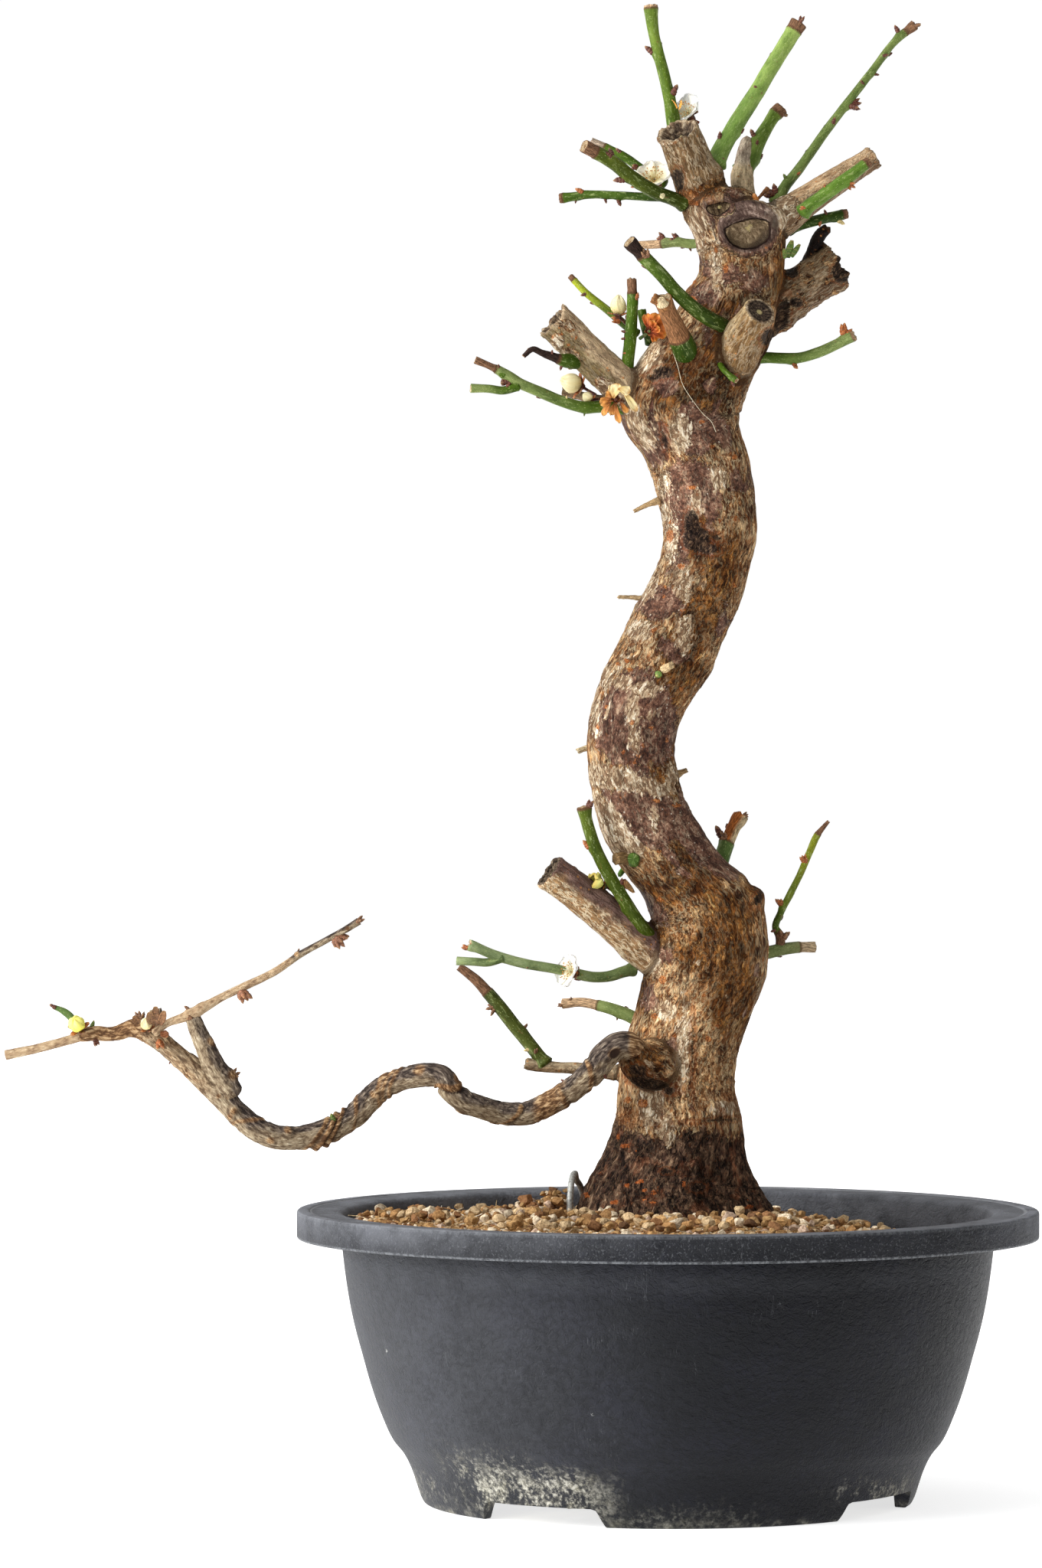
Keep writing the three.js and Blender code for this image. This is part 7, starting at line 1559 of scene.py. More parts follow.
def make_petal_material(name, tone):
    """tone: the colours at the base, in the middle and at the lip, and the veins."""
    s = Shade(name, (0.9, 0.88, 0.78))
    g = s.attr("ga", True)               # across, petal number, along
    x, k, u = s.split(g)
    veins = s.noise(s.join(s.math("MULTIPLY", x, 9.0), s.math("MULTIPLY", k, 3.1), s.math("MULTIPLY", u, 1.1)), 1.0, 3.0, 0.6)
    soft = s.noise(s.join(s.math("MULTIPLY", x, 1.4), s.math("MULTIPLY", k, 3.1), s.math("MULTIPLY", u, 2.0)), 1.0, 3.0, 0.6)
    col = s.ramp(s.math("ADD", u, s.math("MULTIPLY", s.math("SUBTRACT", soft, 0.5), 0.5)),
                 [(0.02, rgb(*tone[0])), (0.3, rgb(*tone[1])), (0.75, rgb(*tone[2])), (1.0, rgb(*tone[3]))])
    col = s.mix(s.map(veins, 0.52, 0.7, 0, 0.35), col, rgb(*tone[4]))
    b = s.bump(veins, 0.25, 0.6)
    return s.done(**{"Base Color": col, "Roughness": 0.5, "Normal": b, "Specular IOR Level": 0.3, "Subsurface Weight": tone[5],
                     "Subsurface Radius": (1.0, 0.85, 0.6), "Subsurface Scale": 0.0012})


def make_stamen_material():
    s = Shade("stamens", (0.9, 0.85, 0.5))
    x, k, u = s.split(s.attr("ga", True))
    n = s.noise(s.where(), 2.5, 2.0, 0.5)
    col = s.ramp(s.math("ADD", u, s.math("MULTIPLY", s.math("SUBTRACT", n, 0.5), 0.1)),
                 [(0.0, rgb(232, 226, 186)), (0.75, rgb(238, 232, 206)), (0.86, rgb(206, 160, 84)), (1.0, rgb(176, 122, 60))])
    return s.done(**{"Base Color": col, "Roughness": 0.5, "Specular IOR Level": 0.3})


def petal(c, x, y, a, length, half, th0, th1, k, seed, crumple=0.0, cup=0.3, notch=0.06):
    """Closed skin of one petal. x is its outward direction, a the flower's axis, y across."""
    rng = np.random.default_rng(seed)
    U = np.linspace(0, 1, 13)
    W = np.linspace(-1, 1, 9)
    th = th0 + (th1 - th0) * U ** 0.8
    step = length / 12
    px_, pz_ = np.cumsum(np.sin(th)) * step, np.cumsum(np.cos(th)) * step
    ph = rng.random(3) * 6.28
    rings, ga = [], []
    for i, u in enumerate(U):
        w = half * (0.16 + 0.95 * math.sin(math.pi * min(u ** 0.85 * 0.62 + 0.0, 0.62)) ** 1.15) * (1 - 0.55 * smooth(u, 0.86, 1.02))
        row = []
        for s_ in W:
            nrm = x * (-math.cos(th[i])) + a * math.sin(th[i])
            lift = cup * half * (s_ * s_) * (0.4 + u) + 0.07 * half * math.sin(3 * s_ + 4 * u + ph[0]) * (0.3 + u)
            lift += crumple * half * (math.sin(7 * s_ + 9 * u + ph[1]) * 0.4 + math.sin(5 * s_ - 7 * u + ph[2]) * 0.5)
            back = -notch * length * math.exp(-(s_ / 0.25) ** 2) * smooth(u, 0.85, 1.0) - 0.10 * length * s_ * s_ * smooth(u, 0.6, 1.0)
            p = c + x * (px_[i] + back * math.sin(th[i])) + a * (pz_[i] + back * math.cos(th[i])) + y * w * s_ + nrm * lift
            row.append((p, nrm, s_))
        thick = 0.1 if 0 < i < 12 else 0.05
        top = [p + n_ * thick for p, n_, _ in row]
        bot = [p - n_ * thick for p, n_, _ in row[::-1]]
        rings.append(top + bot)
        ga += [(s_, k, u) for _, _, s_ in row] + [(s_, k, u) for _, _, s_ in row[::-1]]
    rings = np.array(rings)
    v, q, t = skin(rings)
    ga += [(0, k, 0), (0, k, 1)]
    n = normals(v, q, t)
    if ((v - v.mean(0)) * n).sum() < 0:
        q, t = q[:, ::-1], t[:, ::-1]
    return v, q, t, np.array(ga, float)


def add_blossom(geo, form, centre, facing, R, seed):
    rng = np.random.default_rng(seed)
    x, y, a = basis(facing, (0.3, -0.2, 1.0))
    c = np.asarray(centre, float)
    P = dict(open=(1.08, 0.62, 0.75, 1.5, 0.0, 0.34, -0.34), half=(1.35, 0.72, 0.75, -0.05, 0.02, 0.5, -0.55),
             wilt=(1.25, 0.5, 0.9, 0.5, 0.34, 0.5, -0.45), bud=(1.75, 0.8, 1.05, -0.75, 0.0, 0.55, -0.85))[form]
    length, half, th0, th1, crumple, cup, base = P
    root = c + a * R * base
    for k in range(5):
        for layer in range(2 if form == "bud" else 1):
            ang = 2 * math.pi * k / 5 + 0.35 * layer + (rng.random() - 0.5) * (0.5 if form == "wilt" else 0.16)
            out = x * math.cos(ang) + y * math.sin(ang)
            side = np.cross(a, out)
            L = R * length * (0.9 + 0.18 * rng.random()) * (0.93 if layer else 1)
            dt = (rng.random() - 0.5) * (0.9 if form == "wilt" else 0.22)
            v, q, t, ga = petal(root + out * R * 0.08, out, side, a, L, R * half * (0.92 + 0.16 * rng.random()), th0 + dt * 0.4, th1 + dt,
                                k + seed, seed * 17 + k + layer * 7, crumple, cup)
            geo.add(v, q, t, 0, ga=ga, tint=np.array((0.5, 0.3, 0.1)))
    # cup and five sepals
    A = np.arange(12) * 2 * np.pi / 12
    prof = [(0.1, -0.42), (0.2, -0.36), (0.27, -0.2), (0.29, -0.04), (0.2, 0.02)]
    rings = np.array([root + R * r * (np.cos(A)[:, None] * x + np.sin(A)[:, None] * y) + a * R * z for r, z in prof])
    v, q, t = skin(rings)
    cup_t = np.array(GREEN_T if form == "half" else RED if seed % 2 else ORANGE)
    geo.add(v, q, t, 2, ga=np.stack([np.zeros(len(v)), np.full(len(v), seed), np.linspace(0, 0.7, len(v))], 1), tint=cup_t)
    for k in range(5):
        ang = 2 * math.pi * (k + 0.5) / 5
        out = x * math.cos(ang) + y * math.sin(ang)
        ax = unit(out * (1.0 if form == "open" else 0.55) + a * (0.25 if form == "open" else 0.75))
        add_scale(geo, root + out * R * 0.2 - a * 0.05 * R, ax, out if form == "open" else -out * 0 + out, R * 0.42, R * 0.17, 2, RED if form != "half" else ORANGE, seed + k)
    # stalk with its scales
    for k in range(4):
        ang = 2 * math.pi * k / 4 + 0.4
        out = x * math.cos(ang) + y * math.sin(ang)
        add_scale(geo, root - a * R * 0.62 + out * 0.12 * R, unit(a + 0.25 * out), out, R * 0.34, R * 0.12, 2, RED, seed + 9 + k)
    if form in ("open", "wilt"):
        N = 34 if form == "open" else 22
        for k in range(N):
            ang = 2.399 * k
            tilt = 0.18 + 0.62 * math.sqrt((k + 0.5) / N)
            if form == "wilt":
                tilt *= 1.5
            d = a * math.cos(tilt) + (x * math.cos(ang) + y * math.sin(ang)) * math.sin(tilt)
            L = R * (0.62 + 0.3 * rng.random()) * (1.0 if form == "open" else 0.8)
            p0 = root + a * R * 0.02 + (d - a * math.cos(tilt)) * 0.16 * R
            sx, sy, sa = basis(d)
            B = np.arange(5) * 2 * np.pi / 5
            bend = (x * rng.normal() + y * rng.normal()) * 0.06 * L
            rings, uu = [], []
            for u, r in ((0, 0.09), (0.4, 0.075), (0.8, 0.06), (0.9, 0.05), (0.91, 0.2), (0.95, 0.27), (0.99, 0.2)):
                m = p0 + sa * L * u + bend * u * u
                rings.append(m + r * (np.cos(B)[:, None] * sx + np.sin(B)[:, None] * sy))
                uu += [u] * 5
            v, q, t = skin(np.array(rings), None, p0 + sa * L * 1.02 + bend)
            geo.add(v, q, t, 1, ga=np.stack([np.zeros(len(v)), np.full(len(v), k), np.array(uu + [0, 1])], 1), tint=np.array((0.8, 0.7, 0.3)))


def add_petal_bud(geo, centre, axis, R, length, seed, opening=0.0):
    """A closed flower bud: five petals folded over one another."""
    x, y, a = basis(axis, (0.3, -0.2, 1.0))
    sides, U = 45, np.linspace(0.03, 0.985, 16)
    A = np.arange(sides) * 2 * np.pi / sides
    rings, ga = [], []
    c = np.asarray(centre, float)
    for u in U:
        turn = A * 5 / (2 * math.pi) + 0.7 * u + 0.37 * seed
        f = turn - np.floor(turn)
        r = R * math.sin(math.pi * u ** 0.86) ** 0.72 * (1 + opening * smooth(u, 0.55, 1.0))
        rr = r * (0.93 + 0.11 * f ** 1.5 + 0.03 * np.cos(2 * A + seed))
        zz = length * (u - 0.5) + 0.05 * length * u * np.cos(A * 5 + 0.37 * seed)
        rings.append(c + rr[:, None] * (np.cos(A)[:, None] * x + np.sin(A)[:, None] * y) + zz[:, None] * a)
        ga.append(np.stack([f * 2 - 1, np.floor(turn) % 5 + seed, np.full(sides, 0.12 + 0.72 * u)], 1))
    v, q, t = skin(np.array(rings), c - a * 0.5 * length, c + a * (0.49 - 0.25 * opening) * length)
    geo.add(v, q, t, 0, ga=np.concatenate([*ga, [[0, seed, 0.1], [0, seed, 0.8]]]), tint=np.array((0.5, 0.3, 0.1)))
    root = c - a * length * 0.44
    for k in range(5):
        ang = 2 * math.pi * (k + 0.5) / 5
        out = x * math.cos(ang) + y * math.sin(ang)
        add_scale(geo, root + out * R * 0.42 - a * 0.16 * R, unit(out * 0.85 + a * 0.65), out, R * 0.95, R * 0.36, 2, RED if k % 2 else ORANGE, seed + k)
    for k in range(3):
        ang = 2.1 * k + 0.4
        out = x * math.cos(ang) + y * math.sin(ang)
        add_scale(geo, root - a * R * 0.5 + out * 0.15 * R, unit(a + 0.35 * out), out, R * 0.7, R * 0.26, 2, RED, seed + 9 + k)


# Single petals of the flowers that have gone over: where each starts and ends in the picture, depth in mm, half width in mm,
# tone (0 cream, 1 dried), how crumpled.
RAGS = {"flower_withered": [(801, 522, 806, 502, -19, 2.1, 0, 0.2), (806, 508, 822, 512, -20, 2.0, 0, 0.2), (812, 509, 830, 536, -20, 1.5, 0, 0.25), (798, 516, 800, 504, -18, 1.5, 0, 0.3),
                            (801, 521, 785, 527, -18, 1.9, 1, 0.4), (799, 524, 789, 542, -19, 1.3, 1, 0.3), (805, 526, 809, 551, -20, 1.2, 1, 0.3),
                            (803, 525, 799, 541, -18, 1.5, 1, 0.4), (806, 520, 794, 511, -17, 2.0, 1, 0.45), (809, 524, 819, 538, -19, 1.1, 1, 0.3),
                            (802, 518, 800, 508, -16, 1.6, 1, 0.4)],
        "flower_dried": [(848, 432, 844, 412, -9, 1.7, 1, 0.3), (849, 432, 858, 411, -10, 2.3, 1, 0.3), (850, 432, 870, 421, -9, 2.5, 1, 0.3),
                         (850, 433, 869, 436, -10, 2.1, 1, 0.3), (849, 434, 858, 444, -9, 1.8, 1, 0.35), (849, 432, 854, 420, -12, 1.6, 1, 0.5),
                         (849, 433, 861, 429, -12, 1.5, 1, 0.5)]}


def add_rags(geo, rows, seed):
    """Limp petals, hanging each its own way."""
    rng = np.random.default_rng(seed)
    for k, (x0, y0, x1, y1, yy, half, tone, crumple) in enumerate(rows):
        p, e = np.array(at(x0, y0, yy)), np.array(at(x1, y1, yy - 1.0 + 2.0 * rng.random()))
        L = np.linalg.norm(e - p)
        ax = unit(e - p)
        o = np.array([0.35 * rng.normal(), -1.0, 0.35 * rng.normal()])
        o = unit(o - ax * (o @ ax))
        v, q, t, ga = petal(p, ax, np.cross(o, ax), o, L * 1.04, half, 1.2 + 0.2 * rng.random(), 1.75 + 0.3 * rng.random(), k + seed, seed * 31 + k, crumple, 0.4 * rng.random() + 0.1)
        geo.add(v, q, t, 0 if tone else 3, ga=ga, tint=np.array((0.5, 0.3, 0.1)))


# Closed buds: picture place and depth, direction, radius, length, how far the tip has opened.
CLOSED = {"flower_left_pale": ((746, 500, -4), (-0.88, -0.38, 0.28), 4.2, 9.2, 0.25), "bud_left_upper": ((808, 399, -2), (0.02, -0.15, 1.0), 3.4, 8.4, 0.1),
          "bud_left_small": ((767, 518, -8), (-0.5, -0.6, 0.5), 2.2, 4.6, 0.0), "bud_branch_tip": ((100, 1337, -28), (-0.25, -0.7, 0.6), 3.5, 6.8, 0.3),
          "bud_branch_pale": ((191, 1337, -28), (-0.1, -0.6, 0.8), 2.5, 5.6, 0.0), "bud_upper_left_small": ((864, 255, -15), (-0.2, -0.9, -0.1), 1.6, 3.4, 0.0)}


def build_blossoms(bud_mat):
    white = make_petal_material("petal_white", ((232, 216, 140), (246, 242, 222), (250, 249, 240), (252, 251, 246), (236, 232, 214), 0.4))
    soft = make_petal_material("petal_soft", ((222, 190, 92), (240, 230, 184), (248, 244, 222), (250, 247, 234), (232, 216, 168), 0.35))
    cream = make_petal_material("petal_cream", ((200, 166, 84), (232, 214, 154), (238, 228, 184), (230, 212, 156), (212, 188, 130), 0.25))
    lime = make_petal_material("petal_yellow", ((214, 210, 56), (242, 234, 92), (246, 240, 136), (226, 198, 96), (196, 182, 72), 0.25))
    dried = make_petal_material("petal_dried", ((92, 48, 22), (168, 100, 40), (210, 142, 66), (230, 176, 100), (104, 56, 26), 0.12))
    brown = make_petal_material("petal_brown", ((90, 32, 16), (164, 70, 26), (212, 118, 44), (240, 172, 84), (116, 46, 18), 0.10))
    old = make_petal_material("petal_old", ((186, 128, 58), (226, 196, 132), (238, 218, 166), (208, 156, 88), (198, 150, 88), 0.25))
    stam = make_stamen_material()
    stalk_from = {"flower_crown": at(882, 158, 4), "flower_upper_left": at(872, 258, -9), "flower_left_pale": at(778, 516, -4),
                  "flower_low_left": at(768, 1275, -16), "flower_behind_shoot": at(806, 1168, -6), "flower_withered": at(822, 524, -6),
                  "flower_dried": at(836, 442, 0), "bud_left_upper": at(820, 425, 2), "bud_left_small": at(790, 520, -4),
                  "bud_branch_tip": at(108, 1346, -23), "bud_branch_pale": at(196, 1345, -23), "bud_upper_left_small": at(873, 262, -12)}
    moved = {"flower_crown": ("open", at(896, 146, 8), (-0.5, -0.62, 0.55), 6.6), "flower_low_left": ("open", at(743, 1268, -22), (-0.7, -0.6, 0.25), 5.8),
             "flower_upper_left": ("open", at(854, 231, -7), (-0.2, -0.72, 0.62), 6.6),
             "flower_behind_shoot": ("half", at(781, 1153, -14), (-0.62, -0.72, 0.3), 5.2)}
    out = []
    for seed, (name, form, c, facing, R) in enumerate(BLOSSOMS):
        geo = Geo()
        main = {"flower_withered": dried, "flower_dried": brown, "bud_branch_tip": lime, "flower_behind_shoot": lime, "bud_left_upper": cream,
                "flower_left_pale": cream, "bud_branch_pale": cream, "bud_upper_left_small": cream, "bud_left_small": cream, "flower_upper_left": soft}.get(name, white)
        if name in moved:
            form, c, facing, R = moved[name]
        if name in RAGS:
            add_rags(geo, RAGS[name], seed + 3)
            hub = np.array(at(*{"flower_withered": (804, 522, -17), "flower_dried": (848, 433, -7)}[name]))
            for k in range(7):
                d = unit(np.array([math.cos(2.4 * k), -0.5, math.sin(2.4 * k)]))
                add_scale(geo, hub, d, (0, -1, 0.2), 2.6, 0.8, 2, RED if k % 2 else ORANGE, seed + k)
            add_bud(geo, hub - (0, -1, 0), (0, -1, 0.1), 2.6, 1.3, 2, RED, 10, seed)
            base = hub
            a = np.array([0.0, -1.0, 0.0])
        elif name in CLOSED:
            (px, py, yy), facing, R, length, opening = CLOSED[name]
            c = at(px, py, yy)
            add_petal_bud(geo, c, facing, R, length, seed + 1, opening)
            a = unit(np.array(facing))
            base = np.array(c) - a * length * 0.46
            R *= 0.5
        else:
            add_blossom(geo, form, c, facing, R, seed + 1)
            a = unit(np.array(facing))
            base = np.array(c) - a * R * (0.7 if form == "open" else 1.0)
        st = np.array(stalk_from[name])
        mid = 0.5 * (base + st) - a * 0.12 * R
        L = Limb([[*st, 0.75], [*mid, 0.6], [*(base + a * 0.1 * R), 0.55], [*(base + a * 0.3 * R), 0.5]], 0.5)
        v, q, t, along, ang, share = tube(L, 8)
        geo.add(v, q, t, 2, ga=np.stack([np.zeros(len(v)), np.full(len(v), 1.0), along / L.L * 0.6], 1), tint=np.array(RED if seed % 3 else GREEN_T))
        ob = mesh_object(name + "_petals", geo, [main, stam, bud_mat, old])
        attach(ob, "root")
        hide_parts(name)
        out.append(ob)
    return out


# ------------------------------------------------------------------ small dead twigs, leaf sprouts and knobs on the bark

# [picture place of the foot, of the tip, depth in mm, radius at the foot and at the tip, colour]
SMALL_TWIGS = [((860, 654), (828, 668), 0, 1.25, 0.75, (176, 148, 108)), ((846, 783), (808, 780), 2, 1.1, 0.75, (172, 148, 112)),
               ((772, 976), (755, 981), 0, 1.3, 1.15, (190, 174, 140)), ((884, 1012), (897, 1006), 2, 1.4, 1.0, (168, 142, 104)),
               ((822, 1121), (804, 1122), None, 2.3, 2.5, (132, 106, 72)), ((870, 400), (853, 389), -36, 2.4, 2.1, (140, 98, 62)), ((866, 398), (863, 391), -40, 1.9, 1.6, (214, 194, 156)), ((867, 875), (877, 869), None, 1.6, 1.5, (206, 180, 138)), ((829, 1121), (827, 1122), None, 2.8, 2.3, (70, 96, 34)),
               ((817, 1133), (809, 1143), 4, 1.4, 1.0, (70, 104, 34)), ((905, 158), (913, 160), 4, 0.8, 0.5, (96, 50, 38)),
               ((1003, 246), (988, 262), -4, 0.8, 0.6, (130, 90, 60))]


def bark_y(px, py):
    """Depth of the trunk's front skin at a picture place."""
    y = -10.0
    for _ in range(4):
        x, _, z = at(px, py, y)
        cx, cy, rx, ry = (np.interp(z, [r[0] for r in TRUNK[::-1]], [r[i] for r in TRUNK[::-1]]) for i in (1, 2, 3, 4))
        y = cy - ry * math.sqrt(max(1 - ((x - cx) / rx) ** 2, 0.03))
    return y


def build_small_things(shoot_mats):
    geo = Geo()
    for k, (a, b, y, r0, r1, colour) in enumerate(SMALL_TWIGS):
        y0, y1 = (bark_y(*a) + 1.5, bark_y(*a) - 3.0) if y is None else (y, y - 1.5)
        p, e = np.array(at(*a, y0)), np.array(at(*b, y1))
        m = 0.5 * (p + e) + (0, 0, 0.03 * np.linalg.norm(e - p))
        L = Limb([[*p, r0 * 1.35], [*m, 0.5 * (r0 + r1)], [*e, r1]], 0.4)
        v, q, t, along, ang, share = tube(L, 12)
        n = normals(v, q, t)
        v = v + n * (0.16 * noise(v / 1.3 + k))[:, None] + L.T[-1] * (smooth(along, L.L - 1.0, L.L) * 0.7 * noise(v * 1.3 + 7 * k))[:, None]
        green = colour[1] > colour[0]
        c = np.array(rgb(*colour)[:3])
        geo.add(v, q, t, 0, ga=np.stack([L.R[0] * np.cos(ang), L.R[0] * np.sin(ang), along + 31 * k], 1), tint=np.tile(c, (len(v), 1)),
                dcol=np.tile(c, (len(v), 1)), dead=np.full(len(v), -6.0 if green else 6.0), axis=np.zeros(len(v)), split=np.zeros(len(v)))
    for px, py, yy, ax, out, length, width, colour in (
            (1029, 337, -3, (0.15, -0.2, 1.0), (0.2, -1, 0), 7.6, 1.5, (92, 122, 44)), (1034, 336, -3, (0.45, -0.2, 0.9), (0.3, -1, 0), 6.4, 1.1, (84, 112, 40)),
            (1025, 338, -4, (-0.1, -0.3, 0.9), (0, -1, 0), 4.6, 0.9, (104, 132, 56)), (817, 1150, -6, (0.35, -0.2, -0.9), (0.6, -0.8, 0.2), 6.2, 1.5, (196, 156, 104)),
            (815, 1148, -5, (0.2, -0.2, -1.0), (0.3, -1, 0.1), 4.6, 1.2, (132, 74, 40)), (884, 142, 3, (-0.2, -0.3, 1.0), (-1, -0.3, 0), 4.0, 1.0, (214, 150, 60)),
            (889, 131, 2, (0.1, -0.2, -0.9), (-0.8, -0.6, 0), 4.2, 0.9, (216, 160, 70))):
        add_scale(geo, np.array(at(px, py, yy)), ax, out, length, width, 1, rgb(*colour)[:3], 5)
    for px, py, yy, ax, length, radius, colour in (
            (861, 880, bark_y(861, 880) + 0.6, (-0.45, -0.8, -0.4), 2.4, 1.5, (96, 136, 56)),
            (988, 263, -8, (-0.3, -0.5, 0.8), 3.6, 1.3, (206, 128, 56)), (1053, 277, -9, (-0.3, -0.9, 0.1), 2.4, 1.5, (228, 168, 76)),
            (905, 232, -8, (0.2, -0.9, 0.1), 0.5, 0.5, (40, 30, 26))):
        add_bud(geo, np.array(at(px, py, yy)), ax, length, radius, 1, rgb(*colour)[:3], 12, int(px))
    ob = mesh_object("small_twigs_and_sprouts", geo, shoot_mats)
    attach(ob, "root")
    # a broken hair of root, blown against the trunk
    geo = Geo()
    for pts in (((880, 461), (886, 480), (891, 500), (905, 523), (919, 540), (930, 550), (936, 563)),):
        P = []
        for px, py in pts:
            x, _, z = at(px, py, -22)
            cx, cy, rx, ry = (np.interp(z, [r[0] for r in TRUNK[::-1]], [r[i] for r in TRUNK[::-1]]) for i in (1, 2, 3, 4))
            y = cy - ry * math.sqrt(max(1 - ((x - cx) / rx) ** 2, 0.05)) - 0.5
            P.append([x, y, z, 0.12])
        v, q, t, along, *_ = tube(Limb(P, 0.8), 5)
        geo.add(v, q, t, 0, tint=np.array(rgb(226, 216, 190)[:3]))
    return geo
# ------------------------------------------------------------------ soil

def soil_height(x, y):
    dx = x - POT_X
    z = 115.2 + 1.3 * smooth(-y, 5, 50) * smooth(dx, 75, 25) - 5.5 * smooth(y, 0, 110) - 6 * smooth(dx, 30, 85) - 8 * smooth(dx, 75, 125)
    return z + 9 * np.exp(-((dx + 45) ** 2 + (y + 4) ** 2) / 200.0)


def make_soil_materials():
    s = Shade("soil_grain", (0.6, 0.42, 0.25))
    g, tint = s.where(), s.attr("tint", True)
    n = s.noise(g, 0.9, 4.0, 0.66)
    pore = s.voronoi(s.warp(g, 0.5, 1.2), 1.6)
    col = s.mix(1.0, tint, s.ramp(n, [(0.33, (0.55, 0.5, 0.45, 1)), (0.5, (1.0, 0.98, 0.95, 1)), (0.68, (1.4, 1.45, 1.5, 1))]), "MULTIPLY")
    col = s.mix(s.map(pore, 0.22, 0.08, 0, 0.55), col, rgb(86, 58, 38))
    hgt = s.math("SUBTRACT", n, s.map(pore, 0.3, 0.05, 0, 0.35))
    grain = s.done(**{"Base Color": col, "Roughness": 0.92, "Normal": s.bump(hgt, 0.9, 0.85), "Specular IOR Level": 0.15})
    s = Shade("soil_bed", (0.35, 0.22, 0.13))
    g = s.where()
    n = s.noise(g, 0.4, 5.0, 0.68)
    v = s.voronoi(g, 0.22)
    col = s.ramp(s.math("ADD", s.math("MULTIPLY", n, 0.7), s.math("MULTIPLY", v, 0.3)), [(0.3, rgb(52, 34, 22)), (0.45, rgb(104, 72, 46)), (0.62, rgb(160, 118, 76))])
    bed = s.done(**{"Base Color": col, "Roughness": 0.95, "Normal": s.bump(n, 2.5, 0.9), "Specular IOR Level": 0.1})
    return grain, bed


def grain_shapes(level, count):
    """Lumpy closed stones of unit radius."""
    import bmesh
    bm = bmesh.new()
    bmesh.ops.create_icosphere(bm, subdivisions=level, radius=1.0)
    v = np.array([p.co[:] for p in bm.verts])
    t = np.array([[x.index for x in f.verts] for f in bm.faces])
    bm.free()
    out = []
    rng = np.random.default_rng(70 + level)
    for k in range(count):
        w = v * (0.8 + 0.4 * rng.random(3))
        # chipped flats, then lumps
        for _ in range(11):
            d = unit(rng.normal(size=3))
            cutp = 0.5 + 0.26 * rng.random()
            h = w @ d
            w = w - np.maximum(h - cutp, 0)[:, None] * d
        w = w * (1 + 0.12 * fbm(w * 1.8 + 9 * k, 2) + 0.10 * noise(w * 3.6 + 5 * k))[:, None]
        out.append((w / np.abs(w).max(), t))
    return out


def rotation(rng):
    q = rng.normal(size=4)
    q /= np.linalg.norm(q)
    w, x, y, z = q
    return np.array([[1 - 2 * (y * y + z * z), 2 * (x * y - z * w), 2 * (x * z + y * w)],
                     [2 * (x * y + z * w), 1 - 2 * (x * x + z * z), 2 * (y * z - x * w)],
                     [2 * (x * z - y * w), 2 * (y * z + x * w), 1 - 2 * (x * x + y * y)]])


